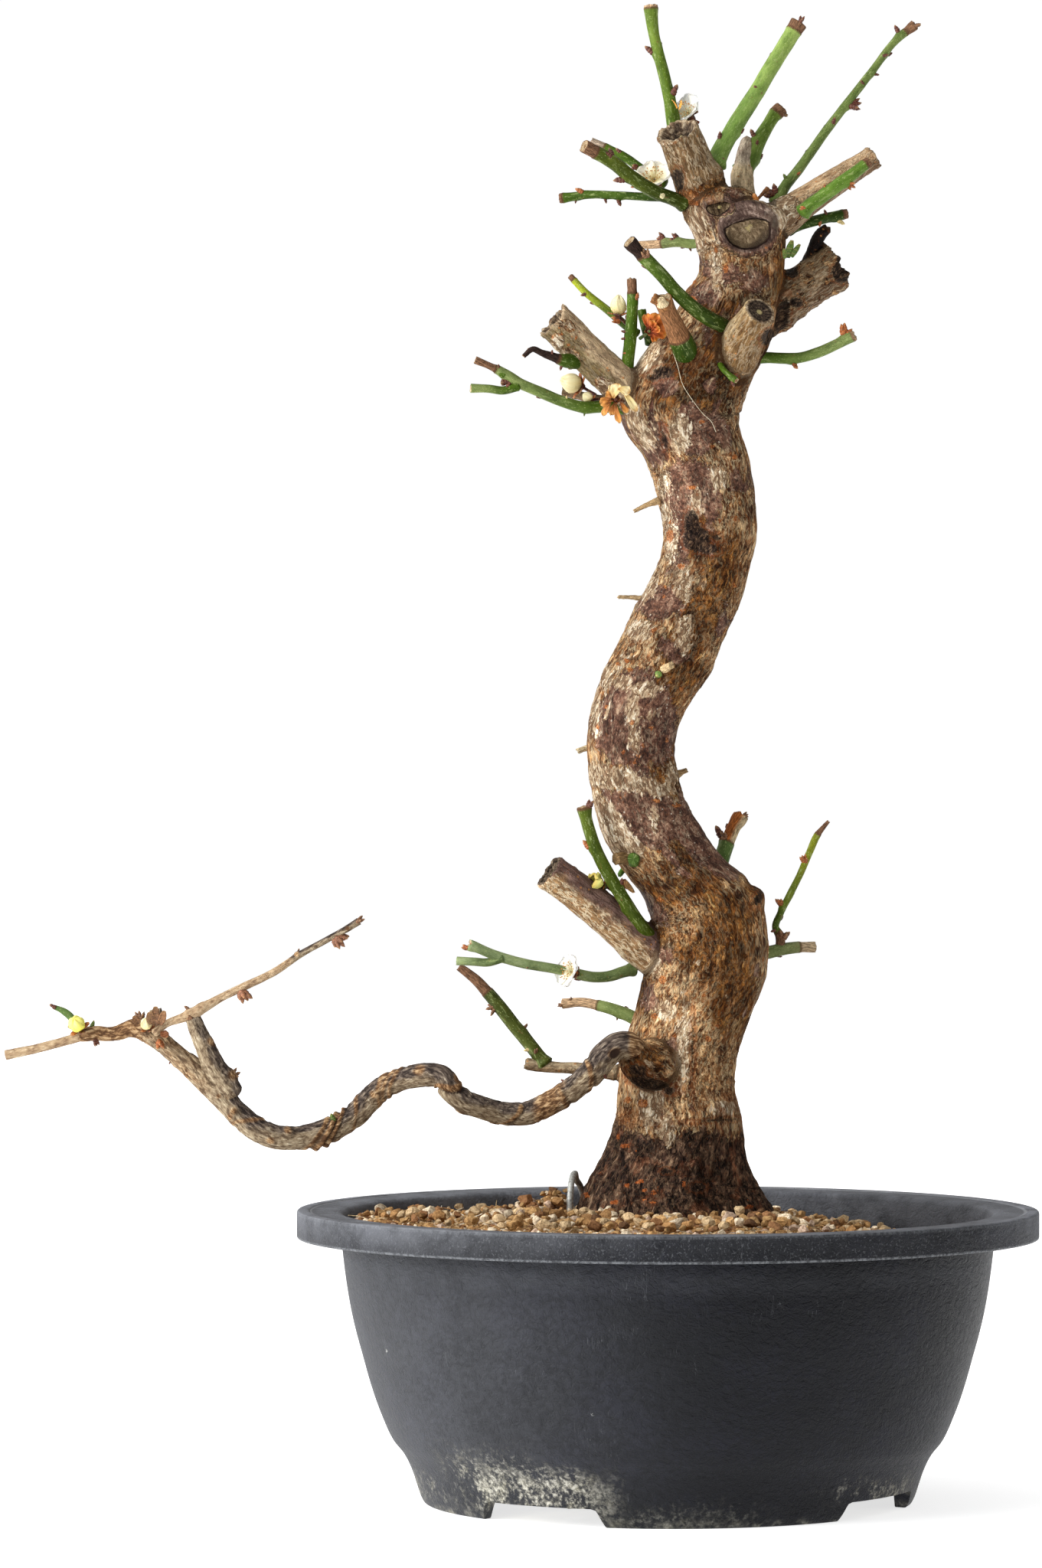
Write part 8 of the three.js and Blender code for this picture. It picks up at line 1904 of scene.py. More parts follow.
def build_soil(trunk_line, g_hair):
    grain_m, bed_m = make_soil_materials()
    rng = np.random.default_rng(9)
    # bed
    n_a, n_r = 144, 46
    A = np.arange(n_a) * 2 * np.pi / n_a
    rows = [(99.4, 10.9), (102.9, 18.6), (107.1, 24.8), (114.1, 40.0), (119.8, 59.1), (124.8, 78.7), (127.1, 93.0)]
    rings = [np.stack([POT_X + r * np.cos(A), r * np.sin(A), np.full(n_a, z)], 1) for r, z in rows]
    for f in np.linspace(1, 0.02, n_r):
        edge = 127.3 + (soil_height(POT_X + 127 * np.cos(A), 127 * np.sin(A)) - 2.0 - 93) * 0.1
        x, y = POT_X + edge * f * np.cos(A), edge * f * np.sin(A)
        z = soil_height(x, y) - 3.2 + 1.3 * fbm(np.stack([x, y, x * 0], 1) / 6.0, 3)
        rings.append(np.stack([x, y, z], 1))
    rings = np.array(rings)
    v, q, t = skin(rings, (POT_X, 0, 10.9), (POT_X, 0, float(soil_height(POT_X, 0)) - 3.2))
    g = Geo()
    g.add(v, q, t)
    bed = mesh_object("soil_bed", g, [bed_m])
    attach(bed, "root")
    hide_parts("soil")
    # loose stones: the largest first, none through another, the trunk or the wire
    placed = []
    cell = {}
    wire = np.array(WIRE)

    def free(x, y, r, k=0.82):
        i, j = int(x // 8), int(y // 8)
        for a in (-1, 0, 1):
            for b in (-1, 0, 1):
                for (px, py, pr) in cell.get((i + a, j + b), ()):
                    if (px - x) ** 2 + (py - y) ** 2 < (k * (r + pr)) ** 2:
                        return False
        return True

    def flare(x, y):
        """Distance outside the trunk's foot at soil level."""
        dx, dy = (x - (trunk_line[0])) / trunk_line[2], (y - trunk_line[1]) / trunk_line[3]
        return (math.hypot(dx, dy) - 1) * min(trunk_line[2], trunk_line[3])

    for r_lo, r_hi, tries in ((2.2, 2.9, 500), (1.7, 2.3, 3000), (1.3, 1.75, 9000), (0.85, 1.25, 12000)):
        for _ in range(tries):
            f = math.sqrt(rng.random())
            a = rng.random() * 2 * math.pi
            r = r_lo + (r_hi - r_lo) * rng.random()
            x, y = POT_X + (127.5 - r) * f * math.cos(a), (127.5 - r) * f * math.sin(a)
            if flare(x, y) < r * 0.35:
                continue
            if not free(x, y, r):
                continue
            if np.hypot(wire[:, 0] - x, wire[:, 1] - y)[(wire[:, 2] > 100) & (wire[:, 2] < 128)].min() < r + 1.0:
                continue
            placed.append((x, y, r))
            cell.setdefault((int(x // 8), int(y // 8)), []).append((x, y, r))
    # a second, sparser layer on the heap and along the front
    upper = []
    cell2 = {}
    for _ in range(5200):
        f = math.sqrt(rng.random())
        a = rng.random() * 2 * math.pi
        r = 1.1 + 1.7 * rng.random() ** 1.6
        x, y = POT_X + (126 - r) * f * math.cos(a), (126 - r) * f * math.sin(a)
        heap = math.exp(-((x - POT_X + 45) ** 2 + (y + 4) ** 2) / 500.0)
        front = smooth(-y, 5, 40) * smooth(x - POT_X, 100, 60)
        r += 0.5 * front
        if rng.random() > 0.07 + heap + 0.13 * front or flare(x, y) < r * 0.6:
            continue
        i, j = int(x // 8), int(y // 8)
        if any((px - x) ** 2 + (py - y) ** 2 < (0.95 * (r + pr)) ** 2 for aa in (-1, 0, 1) for bb in (-1, 0, 1) for (px, py, pr) in cell2.get((i + aa, j + bb), ())):
            continue
        if np.hypot(wire[:, 0] - x, wire[:, 1] - y)[(wire[:, 2] > 100) & (wire[:, 2] < 128)].min() < r + 1.0:
            continue
        cell2.setdefault((i, j), []).append((x, y, r))
        upper.append((x, y, r))
    fine_shapes, plain_shapes, tiny_shapes = grain_shapes(3, 16), grain_shapes(2, 18), grain_shapes(1, 12)
    palette = [((184, 146, 98), 0.30), ((166, 126, 82), 0.18), ((144, 104, 70), 0.10), ((206, 178, 138), 0.18), ((226, 208, 180), 0.12),
               ((198, 172, 150), 0.06), ((116, 84, 58), 0.06)]
    cols = np.array([rgb(*c)[:3] for c, _ in palette])
    prob = np.array([p for _, p in palette])
    prob /= prob.sum()
    geos = [Geo() for _ in range(4)]
    tris = [0] * 4
    for k, (x, y, r, lift) in enumerate([(*p, 0) for p in placed] + [(*p, 1) for p in upper]):
        near = y < 60 and (lift or r > 2.0)
        shapes = fine_shapes if (near and y < -20 and r > 2.5) else plain_shapes if r > 1.55 or (y < -60 and r > 1.2) else tiny_shapes
        w, t = shapes[rng.integers(len(shapes))]
        z = float(soil_height(np.array(x), np.array(y))) - 0.6 - 0.35 * r + (1.4 + 0.9 * r if lift else 0.0) + 0.8 * rng.random()
        size = np.array([1.16, 1.16, 0.95]) * r
        vv = (w @ rotation(rng).T) * size + (x, y, z)
        c = cols[rng.choice(len(cols), p=prob)] * (0.7 + 0.6 * rng.random())
        gi = k % 4
        geos[gi].add(vv, None, t, 0, tint=c)
        tris[gi] += len(t)
    print("soil stones", len(placed), len(upper), tris)
    for k, g in enumerate(geos):
        ob = mesh_object("soil_stones_%s" % "abcd"[k], g, [grain_m], 24)
        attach(ob, "root")
    # dry root hairs and straw among the stones
    g = g_hair
    for k in range(64):
        if k < 5:
            px0, py0, yy = ((643, 1571, -40), (607, 1583, -60), (560, 1590, -90), (471, 1590, -40), (704, 1566, -30))[k]
            x0, _, _ = at(px0, py0, yy)
            y0, L, up = yy, (7.0, 9.0, 6.0, 5.0, 6.0)[k], (0.95, 0.3, 0.15, 0.1, 0.6)[k]
        else:
            f, a = math.sqrt(rng.random()), rng.random() * 2 * math.pi
            x0, y0 = POT_X + 118 * f * math.cos(a), 118 * f * math.sin(a)
            L, up = 4 + 9 * rng.random(), 0.25 * rng.random()
            if flare(x0, y0) < 4:
                continue
        z0 = float(soil_height(np.array(x0), np.array(y0))) + 1.4
        a = rng.random() * 2 * math.pi
        d = np.array([math.cos(a) * math.sqrt(1 - up * up), math.sin(a) * math.sqrt(1 - up * up), up])
        e = np.cross(d, (0, 0, 1)) * rng.normal() * 0.2 * L
        p = np.array([x0, y0, z0])
        limb = Limb([[*p, 0.24], [*(p + d * L * 0.5 + e), 0.2], [*(p + d * L), 0.12]], 0.9)
        v, q, t, *_ = tube(limb, 6)
        g.add(v, q, t, 0, tint=np.array(rgb(*(((214, 190, 146), (230, 224, 206), (160, 118, 74))[k % 3]))[:3]))
    ob = mesh_object("soil_root_hairs", g, [grain_m])
    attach(ob, "root")
# ------------------------------------------------------------------ pot, wire, screens

def make_pot_material():
    s = Shade("pot_plastic", (0.05, 0.055, 0.06))
    p = s.where()
    x, y, z = s.split(p)
    dx = s.math("SUBTRACT", x, POT_X)
    rad = s.math("SQRT", s.math("ADD", s.math("MULTIPLY", dx, dx), s.math("MULTIPLY", y, y)))
    ang = s.math("ARCTAN2", dx, s.math("MULTIPLY", y, -1.0))
    # leathery moulded grain: soft creases in all directions, stretched round the wall
    wv = s.warp(p, 5.0, 0.12, 2.0)
    crease = s.voronoi(wv, 0.34, "DISTANCE_TO_EDGE")
    g1 = s.noise(s.vmul(wv, (1.0, 1.0, 1.5)), 0.30, 3.0, 0.62)
    g2 = s.noise(p, 1.3, 3.0, 0.6)
    grain = s.math("ADD", s.math("MULTIPLY", g1, 0.7), s.math("MULTIPLY", g2, 0.3))
    grain = s.math("SUBTRACT", grain, s.map(crease, 0.07, 0.0, 0, 0.10))
    base = s.ramp(s.math("ADD", s.math("MULTIPLY", s.noise(p, 0.018, 3.0, 0.55), 0.6), s.math("MULTIPLY", grain, 0.4)),
                  [(0.36, rgb(7, 8, 12)), (0.5, rgb(13, 14, 20)), (0.64, rgb(25, 26, 36))])
    # dust: on the band and everything that faces up, in the corners, and inside; on the left of the outer wall also a
    # painted sheen
    nz = s.split(s.node("ShaderNodeNewGeometry").outputs["Normal"])[2]
    dust_n = s.noise(p, 0.06, 4.0, 0.65)
    streak = s.noise(s.join(s.math("MULTIPLY", ang, 26.0), s.math("MULTIPLY", z, 0.03), 1.0), 1.0, 3.0, 0.6)
    up = s.map(nz, 0.3, 0.95)
    band = s.math("MULTIPLY", s.map(rad, 143.0, 147.5), s.map(z, 106.0, 118.0, 0.35, 1.0))
    inside = s.math("MULTIPLY", s.map(z, 90.0, 112.0), s.map(rad, 131.9, 130.4))
    left = s.math("MULTIPLY", s.map(ang, 0.1, -0.95, 0.07, 0.62), s.map(ang, -3.1, -2.2, 0.113, 1.0))
    right = s.math("MULTIPLY", s.map(ang, 0.85, 1.45, 0.05, 0.75), s.map(ang, 3.1, 2.2, 0.093, 1.0))
    band_d = s.math("MAXIMUM", left, right)
    dust_and_sheen = s.math("ADD", s.math("MULTIPLY", up, 0.62), s.math("MULTIPLY", band, band_d))
    dust_and_sheen = s.math("ADD", dust_and_sheen, s.math("MULTIPLY", inside, 0.42))
    dust_and_sheen = s.math("MULTIPLY", dust_and_sheen, s.map(dust_n, 0.3, 0.62, 0.35, 1.0))
    # painted sheen, partly dust: the outer wall lighter towards the left, where the light falls
    left_sheen_and_dust = s.math("MULTIPLY", s.map(ang, 0.3, -1.25, 0.0, 0.27), s.map(rad, 143.5, 141.0))
    left_sheen_and_dust = s.math("MULTIPLY", s.math("MULTIPLY", left_sheen_and_dust, s.map(z, 4.0, 30.0, 0.6, 1.0)), s.map(ang, -3.1, -2.2, 0.0, 1.0))
    dust_and_sheen = s.math("ADD", dust_and_sheen, s.math("MULTIPLY", left_sheen_and_dust, s.map(s.math("ADD", s.math("MULTIPLY", dust_n, 0.4), s.math("MULTIPLY", g1, 0.6)), 0.35, 0.65, 0.62, 1.1)))
    dust_and_sheen = s.math("MAXIMUM", dust_and_sheen, s.math("MULTIPLY", s.map(s.noise(s.vmul(p, (1, 1, 0.6)), 0.035, 4.0, 0.62), 0.5, 0.75), 0.008))
    col = s.mix(dust_and_sheen, base, rgb(124, 126, 132))
    # brighter lines: scuffing along the step on top of the rim and the band's upper edge, and a painted highlight along
    # the band's lower edge
    line = s.math("MULTIPLY", s.map(s.math("ABSOLUTE", s.math("SUBTRACT", rad, 144.6)), 0.9, 0.2), s.map(nz, 0.5, 0.9))
    col = s.mix(s.math("MULTIPLY", line, 0.55), col, rgb(150, 152, 155))
    worn_edges_and_highlight = s.math("MULTIPLY", s.map(s.math("ABSOLUTE", s.math("SUBTRACT", z, 117.4)), 1.2, 0.2), s.map(rad, 148.6, 149.6))
    # painted highlight along the band's lower edge
    low_edge_highlight = s.map(s.math("ABSOLUTE", s.math("SUBTRACT", z, RIM_Z - 10.6)), 0.9, 0.2)
    worn_edges_and_highlight = s.math("MAXIMUM", s.math("MULTIPLY", worn_edges_and_highlight, 0.45), s.math("MULTIPLY", low_edge_highlight, s.map(rad, 148.6, 149.6)))
    col = s.mix(s.math("MULTIPLY", worn_edges_and_highlight, s.map(s.noise(p, 0.7, 3.0, 0.6), 0.4, 0.6, 0.15, 0.55)), col, rgb(140, 143, 147))
    speck = s.math("MULTIPLY", s.map(s.noise(p, 1.1, 3.0, 0.6), 0.56, 0.66), s.map(rad, 143.0, 147.5))
    col = s.mix(s.math("MULTIPLY", speck, 0.16), col, rgb(150, 153, 158))
    # lime from the watering: a tide mark above the foot, thickest at two places
    lime_n = s.noise(s.warp(p, 14.0, 0.05, 2.0), 0.055, 5.0, 0.68)
    lime_f = s.noise(p, 0.5, 4.0, 0.7)

    def lobe(a0, aw, z0, zh, gain):
        """An arc round the pot, 0 at the front and to the right positive, in radians."""
        d = s.math("ABSOLUTE", s.math("SUBTRACT", ang, a0))
        d = s.math("MINIMUM", d, s.math("SUBTRACT", 2 * math.pi, d))
        wide = s.map(d, aw, aw * 0.35)
        wave = s.math("MULTIPLY", s.math("SUBTRACT", lime_n, 0.5), 34.0)
        tall = s.map(s.math("ABSOLUTE", s.math("SUBTRACT", s.math("ADD", z, wave), z0)), zh, zh * 0.25)
        return s.math("MULTIPLY", s.math("MULTIPLY", wide, tall), gain)

    lime = lobe(-0.62, 0.48, 14.5, 13.5, 1.0)
    for a0, aw, z0, zh, gain in ((-0.75, 0.3, 20.0, 14.0, 0.4), (-0.1, 0.6, 3.0, 8.0, 0.2), (0.95, 0.4, 11.0, 7.0, 0.6), (1.75, 0.5, 10.0, 9.0, 0.3), (2.9, 0.7, 12.0, 13.0, 0.7),
                                 (-2.2, 0.5, 9.0, 9.0, 0.6), (-1.35, 0.4, 9.0, 8.0, 0.5)):
        lime = s.math("MAXIMUM", lime, lobe(a0, aw, z0, zh, gain))
    streaky = s.noise(s.join(s.math("MULTIPLY", ang, 40.0), s.math("MULTIPLY", z, 0.12), 7.0), 1.0, 3.0, 0.6)
    lime_m = s.math("ADD", s.math("MULTIPLY", lime_f, 0.4), s.math("ADD", s.math("MULTIPLY", lime_n, 0.48), s.math("MULTIPLY", streaky, 0.12)))
    lime = s.math("MULTIPLY", lime, s.map(lime_m, 0.455, 0.60))
    foot = s.math("MULTIPLY", s.map(z, 4.0, 0.6), s.map(s.noise(p, 0.12, 3.0, 0.6), 0.42, 0.66, 0.0, 0.5))
    lime = s.math("MAXIMUM", lime, foot)
    lime_c = s.ramp(lime_f, [(0.36, rgb(118, 116, 106)), (0.5, rgb(176, 172, 156)), (0.64, rgb(222, 218, 204))])
    yellow = s.map(s.noise(p, 0.09, 3.0, 0.6), 0.5, 0.7, 0, 0.5)
    lime_c = s.mix(yellow, lime_c, rgb(188, 180, 142))
    col = s.mix(s.math("MULTIPLY", lime, 0.85), col, lime_c)
    # white flecks and hair scratches
    fl = s.voronoi(p, 0.035, "F1")
    fleck = s.math("MULTIPLY", s.map(fl, 0.045, 0.02), s.map(s.noise(p, 0.9, 2.0, 0.6), 0.45, 0.55))
    col = s.mix(s.math("MULTIPLY", fleck, 0.7), col, rgb(188, 188, 184))
    sc = s.noise(s.join(s.math("MULTIPLY", ang, 60.0), s.math("MULTIPLY", z, 0.05), 3.0), 1.0, 2.0, 0.6)
    scr = s.math("MULTIPLY", s.map(s.math("ABSOLUTE", s.math("SUBTRACT", sc, 0.5)), 0.008, 0.0), s.map(s.noise(p, 0.05, 2.0, 0.5), 0.6, 0.7))
    col = s.mix(s.math("MULTIPLY", scr, 0.35), col, rgb(120, 122, 126))
    ro = s.fmix(s.math("MAXIMUM", dust_and_sheen, lime), 0.43, 0.85)
    ro = s.math("ADD", ro, s.math("MULTIPLY", s.math("SUBTRACT", g1, 0.5), 0.25))
    b = s.bump(grain, 2.4, 0.6)
    b = s.bump(s.math("MULTIPLY", lime, lime_f), 0.5, 0.6, b)
    return s.done(**{"Base Color": col, "Roughness": ro, "Normal": b, "Specular IOR Level": 0.18})


def rounded(profile, radii, steps=3):
    """A closed profile with its corners rounded; radii is 0 where a corner stays."""
    out = []
    n = len(profile)
    for i, (p, r) in enumerate(zip(profile, radii)):
        p = np.array(p, float)
        a, b = np.array(profile[i - 1], float), np.array(profile[(i + 1) % n], float)
        if r <= 0:
            out.append(p)
            continue
        da, db = unit(a - p), unit(b - p)
        ra = min(r, 0.45 * np.linalg.norm(a - p), 0.45 * np.linalg.norm(b - p))
        for k in range(steps + 1):
            t = k / steps
            out.append((1 - t) ** 2 * (p + da * ra) + 2 * t * (1 - t) * p + t * t * (p + db * ra))
    return np.array(out)


def build_pot():
    Z = RIM_Z
    prof = [(DRAIN_R, FLOOR_Z), (93.6, FLOOR_Z), (93.6, 0), (98.6, 0), (100.1, 3), (103.2, 12.6), (105.2, 17.2), (107.4, 20.9), (111.0, 24.9), (113.4, 29.6),
            (117.6, 39.9), (120.7, 49.4), (123.3, 59.1), (126.0, 68.6), (128.3, 78.7), (130.1, 89.6), (131.5, 101), (132.9, Z - 3.0), (147, Z - 3.0),
            (147, Z - 11), (150, Z - 11), (150, Z), (145.2, Z), (144.7, Z - 0.45), (134.6, Z - 0.45), (131.4, Z - 1.2), (130.2, Z - 4), (129.5, 107),
            (128.4, 101), (127.0, 89.6), (125.3, 78.7), (122.9, 68.6), (120.3, 59.1), (117.6, 49.4), (114.6, 40), (111.0, 32.0), (107.6, 24.6), (103.4, 18.5),
            (100, 10.5), (DRAIN_R, 10.5)]
    radii = [0.4, 1.2, 0.5, 1.0, 1.0, 2, 2, 2.4, 3.0, 3, 6, 6, 6, 6, 6, 6, 5, 1.5, 0.6, 0.6, 0.7, 1.1, 0.4, 0.4, 1.5, 1.5, 1.5, 2, 5, 6, 6, 6, 6, 6, 6, 4, 3, 2, 1.5, 0.4]
    pr = rounded(prof, radii, 3)
    n = 288
    A = np.arange(n) * 2 * np.pi / n
    wob = 1 + 0.0012 * np.cos(2 * A + 0.5) + 0.0006 * np.cos(5 * A)
    v = np.stack([POT_X + pr[:, 0, None] * wob * np.cos(A), pr[:, 0, None] * wob * np.sin(A), np.repeat(pr[:, 1, None], n, 1)], -1).reshape(-1, 3)
    m = len(pr)
    i, j = np.meshgrid(np.arange(m), np.arange(n), indexing="ij")
    f = lambda a, b: (a % m) * n + b % n
    q = np.stack([f(i, j), f(i, j + 1), f(i + 1, j + 1), f(i + 1, j)], -1).reshape(-1, 4)
    g = Geo()
    g.add(v, q)
    mat = make_pot_material()
    pot = mesh_object("pot_shell", g, [mat])
    # gaps between the feet and the outer drain holes
    cuts = []
    for k in range(4):
        a = math.radians(FOOT_ANGLE - 45 + 90 * k)
        ca, sa = math.cos(a), math.sin(a)
        hw, r = [], 2.2
        outline = [(-GAP_HALF_BOTTOM, -1.0), (-GAP_HALF_TOP - 0.4, FLOOR_Z - r), (-GAP_HALF_TOP + 0.3, FLOOR_Z - 0.6), (-GAP_HALF_TOP + r, FLOOR_Z),
                   (GAP_HALF_TOP - r, FLOOR_Z), (GAP_HALF_TOP - 0.3, FLOOR_Z - 0.6), (GAP_HALF_TOP + 0.4, FLOOR_Z - r), (GAP_HALF_BOTTOM, -1.0)]
        ring = lambda d: np.array([(POT_X + u * ca + d * sa, u * sa - d * ca, w) for u, w in outline])
        v, q, t = skin(np.stack([ring(55.0), ring(115.0)]))
        cuts.append((v, q, t))
        x, y = POT_X + SIDE_DRAIN_PITCH * math.sin(a), -SIDE_DRAIN_PITCH * math.cos(a)
        B = np.arange(32) * 2 * np.pi / 32
        ring2 = lambda z: np.stack([x + SIDE_DRAIN_R * np.cos(B), y + SIDE_DRAIN_R * np.sin(B), np.full(32, z)], 1)
        cuts.append(skin(np.stack([ring2(4.0), ring2(14.0)])))
    g = Geo()
    for v, q, t in cuts:
        if ((v - v.mean(0)) * normals(v, q, t)).sum() < 0:
            q, t = q[:, ::-1], t[:, ::-1]
        g.add(v, q, t)
    cutter = mesh_object("cut_tmp", g, [])
    mod = pot.modifiers.new("cut", "BOOLEAN")
    mod.operation, mod.solver, mod.object = "DIFFERENCE", "EXACT", cutter
    dg = bpy.context.evaluated_depsgraph_get()
    me = bpy.data.meshes.new_from_object(pot.evaluated_get(dg))
    old = pot.data
    pot.modifiers.clear()
    pot.data = me
    bpy.data.meshes.remove(old)
    cm = cutter.data
    bpy.data.objects.remove(cutter)
    bpy.data.meshes.remove(cm)
    me.name = "pot_shell"
    me.materials.clear()
    me.materials.append(mat)
    me.polygons.foreach_set("use_smooth", np.ones(len(me.polygons), bool))
    me.set_sharp_from_angle(angle=math.radians(38))
    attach(pot, "root")
    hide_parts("pot")
    print("pot faces", len(me.polygons))


def build_wire():
    s = Shade("tie_wire", (0.6, 0.6, 0.58))
    p = s.where()
    n = s.noise(p, 1.1, 4.0, 0.65)
    col = s.ramp(n, [(0.34, rgb(122, 122, 116)), (0.5, rgb(176, 177, 172)), (0.66, rgb(206, 208, 204))])
    mat = s.done(**{"Base Color": col, "Metallic": 0.55, "Roughness": s.map(n, 0.35, 0.65, 0.42, 0.62), "Normal": s.bump(n, 0.12, 0.6)})
    limb = Limb([[*p_, 1.3] for p_ in WIRE], 0.7)
    v, q, t, *_ = tube(limb, 24, end_cap=((0.95, 0.08), (0.6, 0.2)), start_cap=((0.95, -0.08), (0.6, -0.2)))
    g = Geo()
    g.add(v, q, t)
    ob = mesh_object("tie_wire_drawn", g, [mat])
    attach(ob, "root")
    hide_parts("tie_wire")


def build_screens():
    s = Shade("screen_plastic", (0.03, 0.03, 0.035))
    p = s.where()
    n = s.noise(p, 0.5, 4.0, 0.65)
    col = s.ramp(n, [(0.36, rgb(26, 27, 29)), (0.55, rgb(44, 45, 48)), (0.7, rgb(96, 86, 72))])
    mat = s.done(**{"Base Color": col, "Roughness": s.map(n, 0.35, 0.65, 0.5, 0.75), "Normal": s.bump(s.noise(p, 2.0, 3.0, 0.6), 0.2, 0.6)})
    places = [("screen_centre", POT_X, 0.0, 0.2, 44.0, 5)]
    for k in range(4):
        a = math.radians(FOOT_ANGLE - 45 + 90 * k)
        places.append(("screen_" + "abcd"[k], POT_X + SIDE_DRAIN_PITCH * math.sin(a), -SIDE_DRAIN_PITCH * math.cos(a), a, 22.0, 3))
    for name, x, y, turn, size, openings in places:
        bar = 2.2
        step = (size - bar) / openings
        # a perforated plate as one skin: grid lines at the edges of the bars, holes left open
        lines = []
        for i in range(openings + 1):
            c = -size / 2 + bar / 2 + i * step
            lines += [c - bar / 2, c + bar / 2]
        lines = np.array(lines)
        nl = len(lines)
        z0, z1, e = 10.8, 12.0, 0.25
        vs, fs, index = [], [], {}

        def vert(i, j, z, dx=0.0, dy=0.0):
            key = (i, j, z, dx, dy)
            if key not in index:
                lx, ly = lines[i] + dx, lines[j] + dy
                c, sn = math.cos(turn), math.sin(turn)
                index[key] = len(vs)
                vs.append((x + lx * c - ly * sn, y + lx * sn + ly * c, z))
            return index[key]

        solid = lambda i, j: 0 <= i < nl - 1 and 0 <= j < nl - 1 and not (i % 2 == 1 and j % 2 == 1)
        for i in range(nl - 1):
            for j in range(nl - 1):
                if not solid(i, j):
                    continue
                fs.append([vert(i, j, z1), vert(i + 1, j, z1), vert(i + 1, j + 1, z1), vert(i, j + 1, z1)])
                fs.append([vert(i, j + 1, z0), vert(i + 1, j + 1, z0), vert(i + 1, j, z0), vert(i, j, z0)])
                for (di, dj), (a_, b_) in (((0, -1), ((i, j), (i + 1, j))), ((1, 0), ((i + 1, j), (i + 1, j + 1))),
                                           ((0, 1), ((i + 1, j + 1), (i, j + 1))), ((-1, 0), ((i, j + 1), (i, j)))):
                    if not solid(i + di, j + dj):
                        fs.append([vert(*a_, z0), vert(*b_, z0), vert(*b_, z1), vert(*a_, z1)])
        g = Geo()
        g.add(np.array(vs), np.array(fs))
        ob = mesh_object(name + "_mesh", g, [mat])
        bv = ob.modifiers.new("edges", "BEVEL")
        bv.width, bv.segments, bv.limit_method, bv.angle_limit = 0.25 * MM, 2, "ANGLE", math.radians(40)
        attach(ob, "root")
        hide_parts(name)
# ------------------------------------------------------------------ floor, light and camera

def emit_floor():
    s = Shade("floor", (0.95, 0.95, 0.95))
    n = s.noise(s.where(), 0.02, 2.0, 0.5)
    return s.done(**{"Base Color": s.ramp(n, [(0.3, rgb(226, 226, 226)), (0.7, rgb(232, 232, 232))]), "Roughness": 0.8,
                     "Specular IOR Level": 0.1, "Emission Color": (1, 1, 1, 1), "Emission Strength": 0.7})


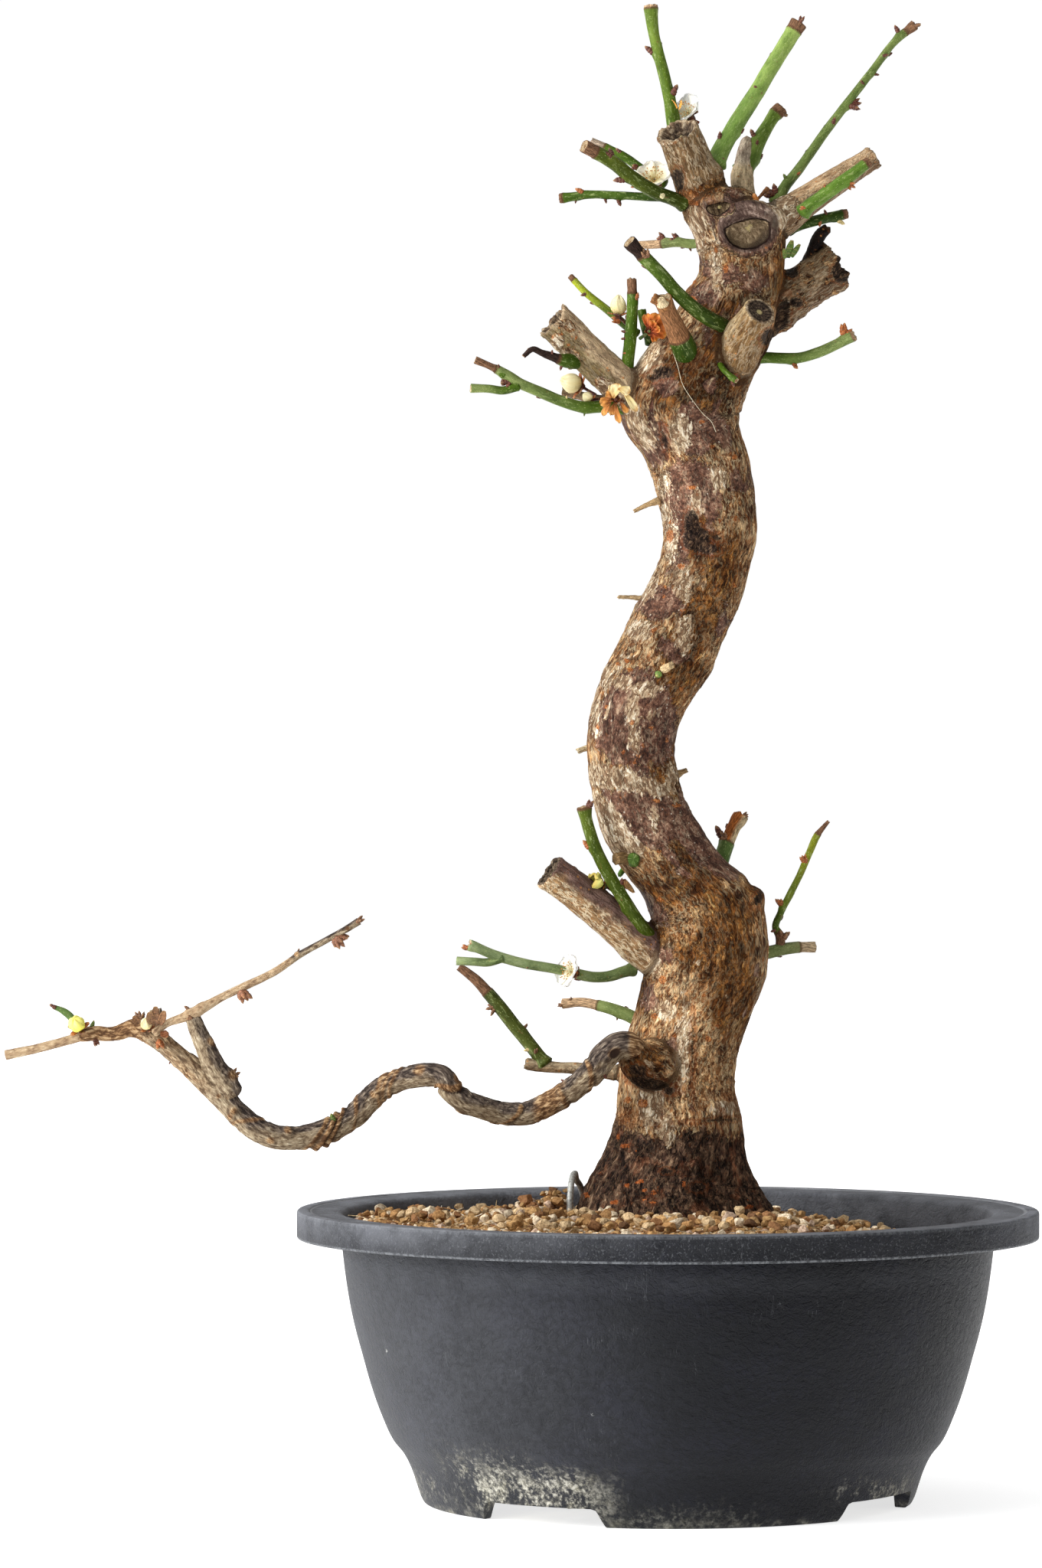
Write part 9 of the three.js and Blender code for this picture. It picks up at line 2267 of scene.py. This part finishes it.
def stage():
    me = bpy.data.meshes.new("floor")
    S = 6.0
    me.from_pydata([(-S, -S, 0), (S, -S, 0), (S, S, 0), (-S, S, 0)], [], [(0, 1, 2, 3)])
    me.materials.append(emit_floor())
    floor = bpy.data.objects.new("floor", me)
    bpy.context.scene.collection.objects.link(floor)

    # a studio: bright paper behind, a soft box on the left, a dim right side
    world = bpy.data.worlds.new("studio")
    world.use_nodes = True
    t = world.node_tree
    bg = t.nodes["Background"]

    def node(kind, ins=None, **props):
        nd = t.nodes.new(kind)
        for k, v in props.items():
            setattr(nd, k, v)
        for k, v in (ins or {}).items():
            if isinstance(v, bpy.types.NodeSocket):
                t.links.new(v, nd.inputs[k])
            else:
                nd.inputs[k].default_value = v
        return nd

    way = node("ShaderNodeTexCoord").outputs["Generated"]

    def lobe(d, lo, hi, level):
        d = unit(np.array(d, float))
        dot = node("ShaderNodeVectorMath", {0: way, 1: tuple(d)}, operation="DOT_PRODUCT").outputs["Value"]
        m = node("ShaderNodeMapRange", {0: dot, 1: lo, 2: hi, 3: 0.0, 4: level}, interpolation_type="SMOOTHSTEP")
        return m.outputs[0]

    total = lobe((0, 1, 0), 0.90, 0.975, 0.84)
    for l in (lobe((-1, 0.1, 0.25), 0.2, 0.95, 0.95), lobe((0, 0.0, 1), 0.2, 0.95, 0.5)):
        total = node("ShaderNodeMath", {0: total, 1: l}, operation="ADD").outputs[0]
    total = node("ShaderNodeMath", {0: total, 1: 0.17}, operation="ADD").outputs[0]
    total = node("ShaderNodeMath", {0: total, 1: 1.02}, operation="MINIMUM").outputs[0]
    bg.inputs[0].default_value = (1.0, 1.0, 1.0, 1)
    t.links.new(total, bg.inputs[1])
    bpy.context.scene.world = world

    def lamp(name, place, target, size, power, colour=(1, 1, 1)):
        d = bpy.data.lights.new(name, "AREA")
        d.shape, d.size, d.size_y, d.energy, d.color = "RECTANGLE", size[0], size[1], power, colour
        o = bpy.data.objects.new(name, d)
        bpy.context.scene.collection.objects.link(o)
        o.location = place
        o.rotation_euler = (Vector(target) - Vector(place)).to_track_quat("-Z", "Y").to_euler()
        return o

    lamp("key", (-2.0, -1.3, 1.5), (0.0, 0, 0.3), (1.9, 1.9), 66)
    lamp("side", (-2.3, -0.75, 0.35), (0.0, 0, 0.15), (1.1, 1.1), 17, (0.93, 0.96, 1.0))
    lamp("fill", (1.4, -1.6, 0.9), (0.05, 0, 0.25), (1.2, 1.2), 1.5)

    cam = bpy.data.cameras.new("camera")
    cam.sensor_width, cam.sensor_fit = 36.0, "AUTO"
    cam.lens = 36.0 * FOCAL / 2048
    cam.clip_start, cam.clip_end = 0.05, 50
    o = bpy.data.objects.new("camera", cam)
    bpy.context.scene.collection.objects.link(o)
    o.location = (0, -EYE * MM, EYE_Z * MM)
    o.rotation_euler = (math.pi / 2, 0, 0)
    bpy.context.scene.camera = o
    vs = bpy.context.scene.view_settings
    vs.view_transform, vs.look, vs.exposure, vs.gamma = "Standard", "None", 0.0, 1.0


# ------------------------------------------------------------------ the object

def own(ob, node=None):
    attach(ob, "root")
    if node:
        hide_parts(node)
    return ob


BARK, BRANCH, SHOOT, BUD = make_bark(), make_branch_material(), make_shoot_material(), make_bud_material()
trunk_geo, LIMBS = build_trunk()
own(mesh_object("trunk_bark", trunk_geo, [BARK]), "trunk")
branch_geo, TWIGS = build_branch()
own(mesh_object("long_branch_bark", branch_geo, [BRANCH, BUD]), None)
build_shoots([SHOOT, BUD])
build_blossoms(BUD)
STRAY = build_small_things([SHOOT, BUD])
build_soil((TRUNK[-5][1], TRUNK[-5][2], TRUNK[-5][3] * 1.03, TRUNK[-5][4] * 1.03), STRAY)
build_pot()
build_wire()
build_screens()
stage()
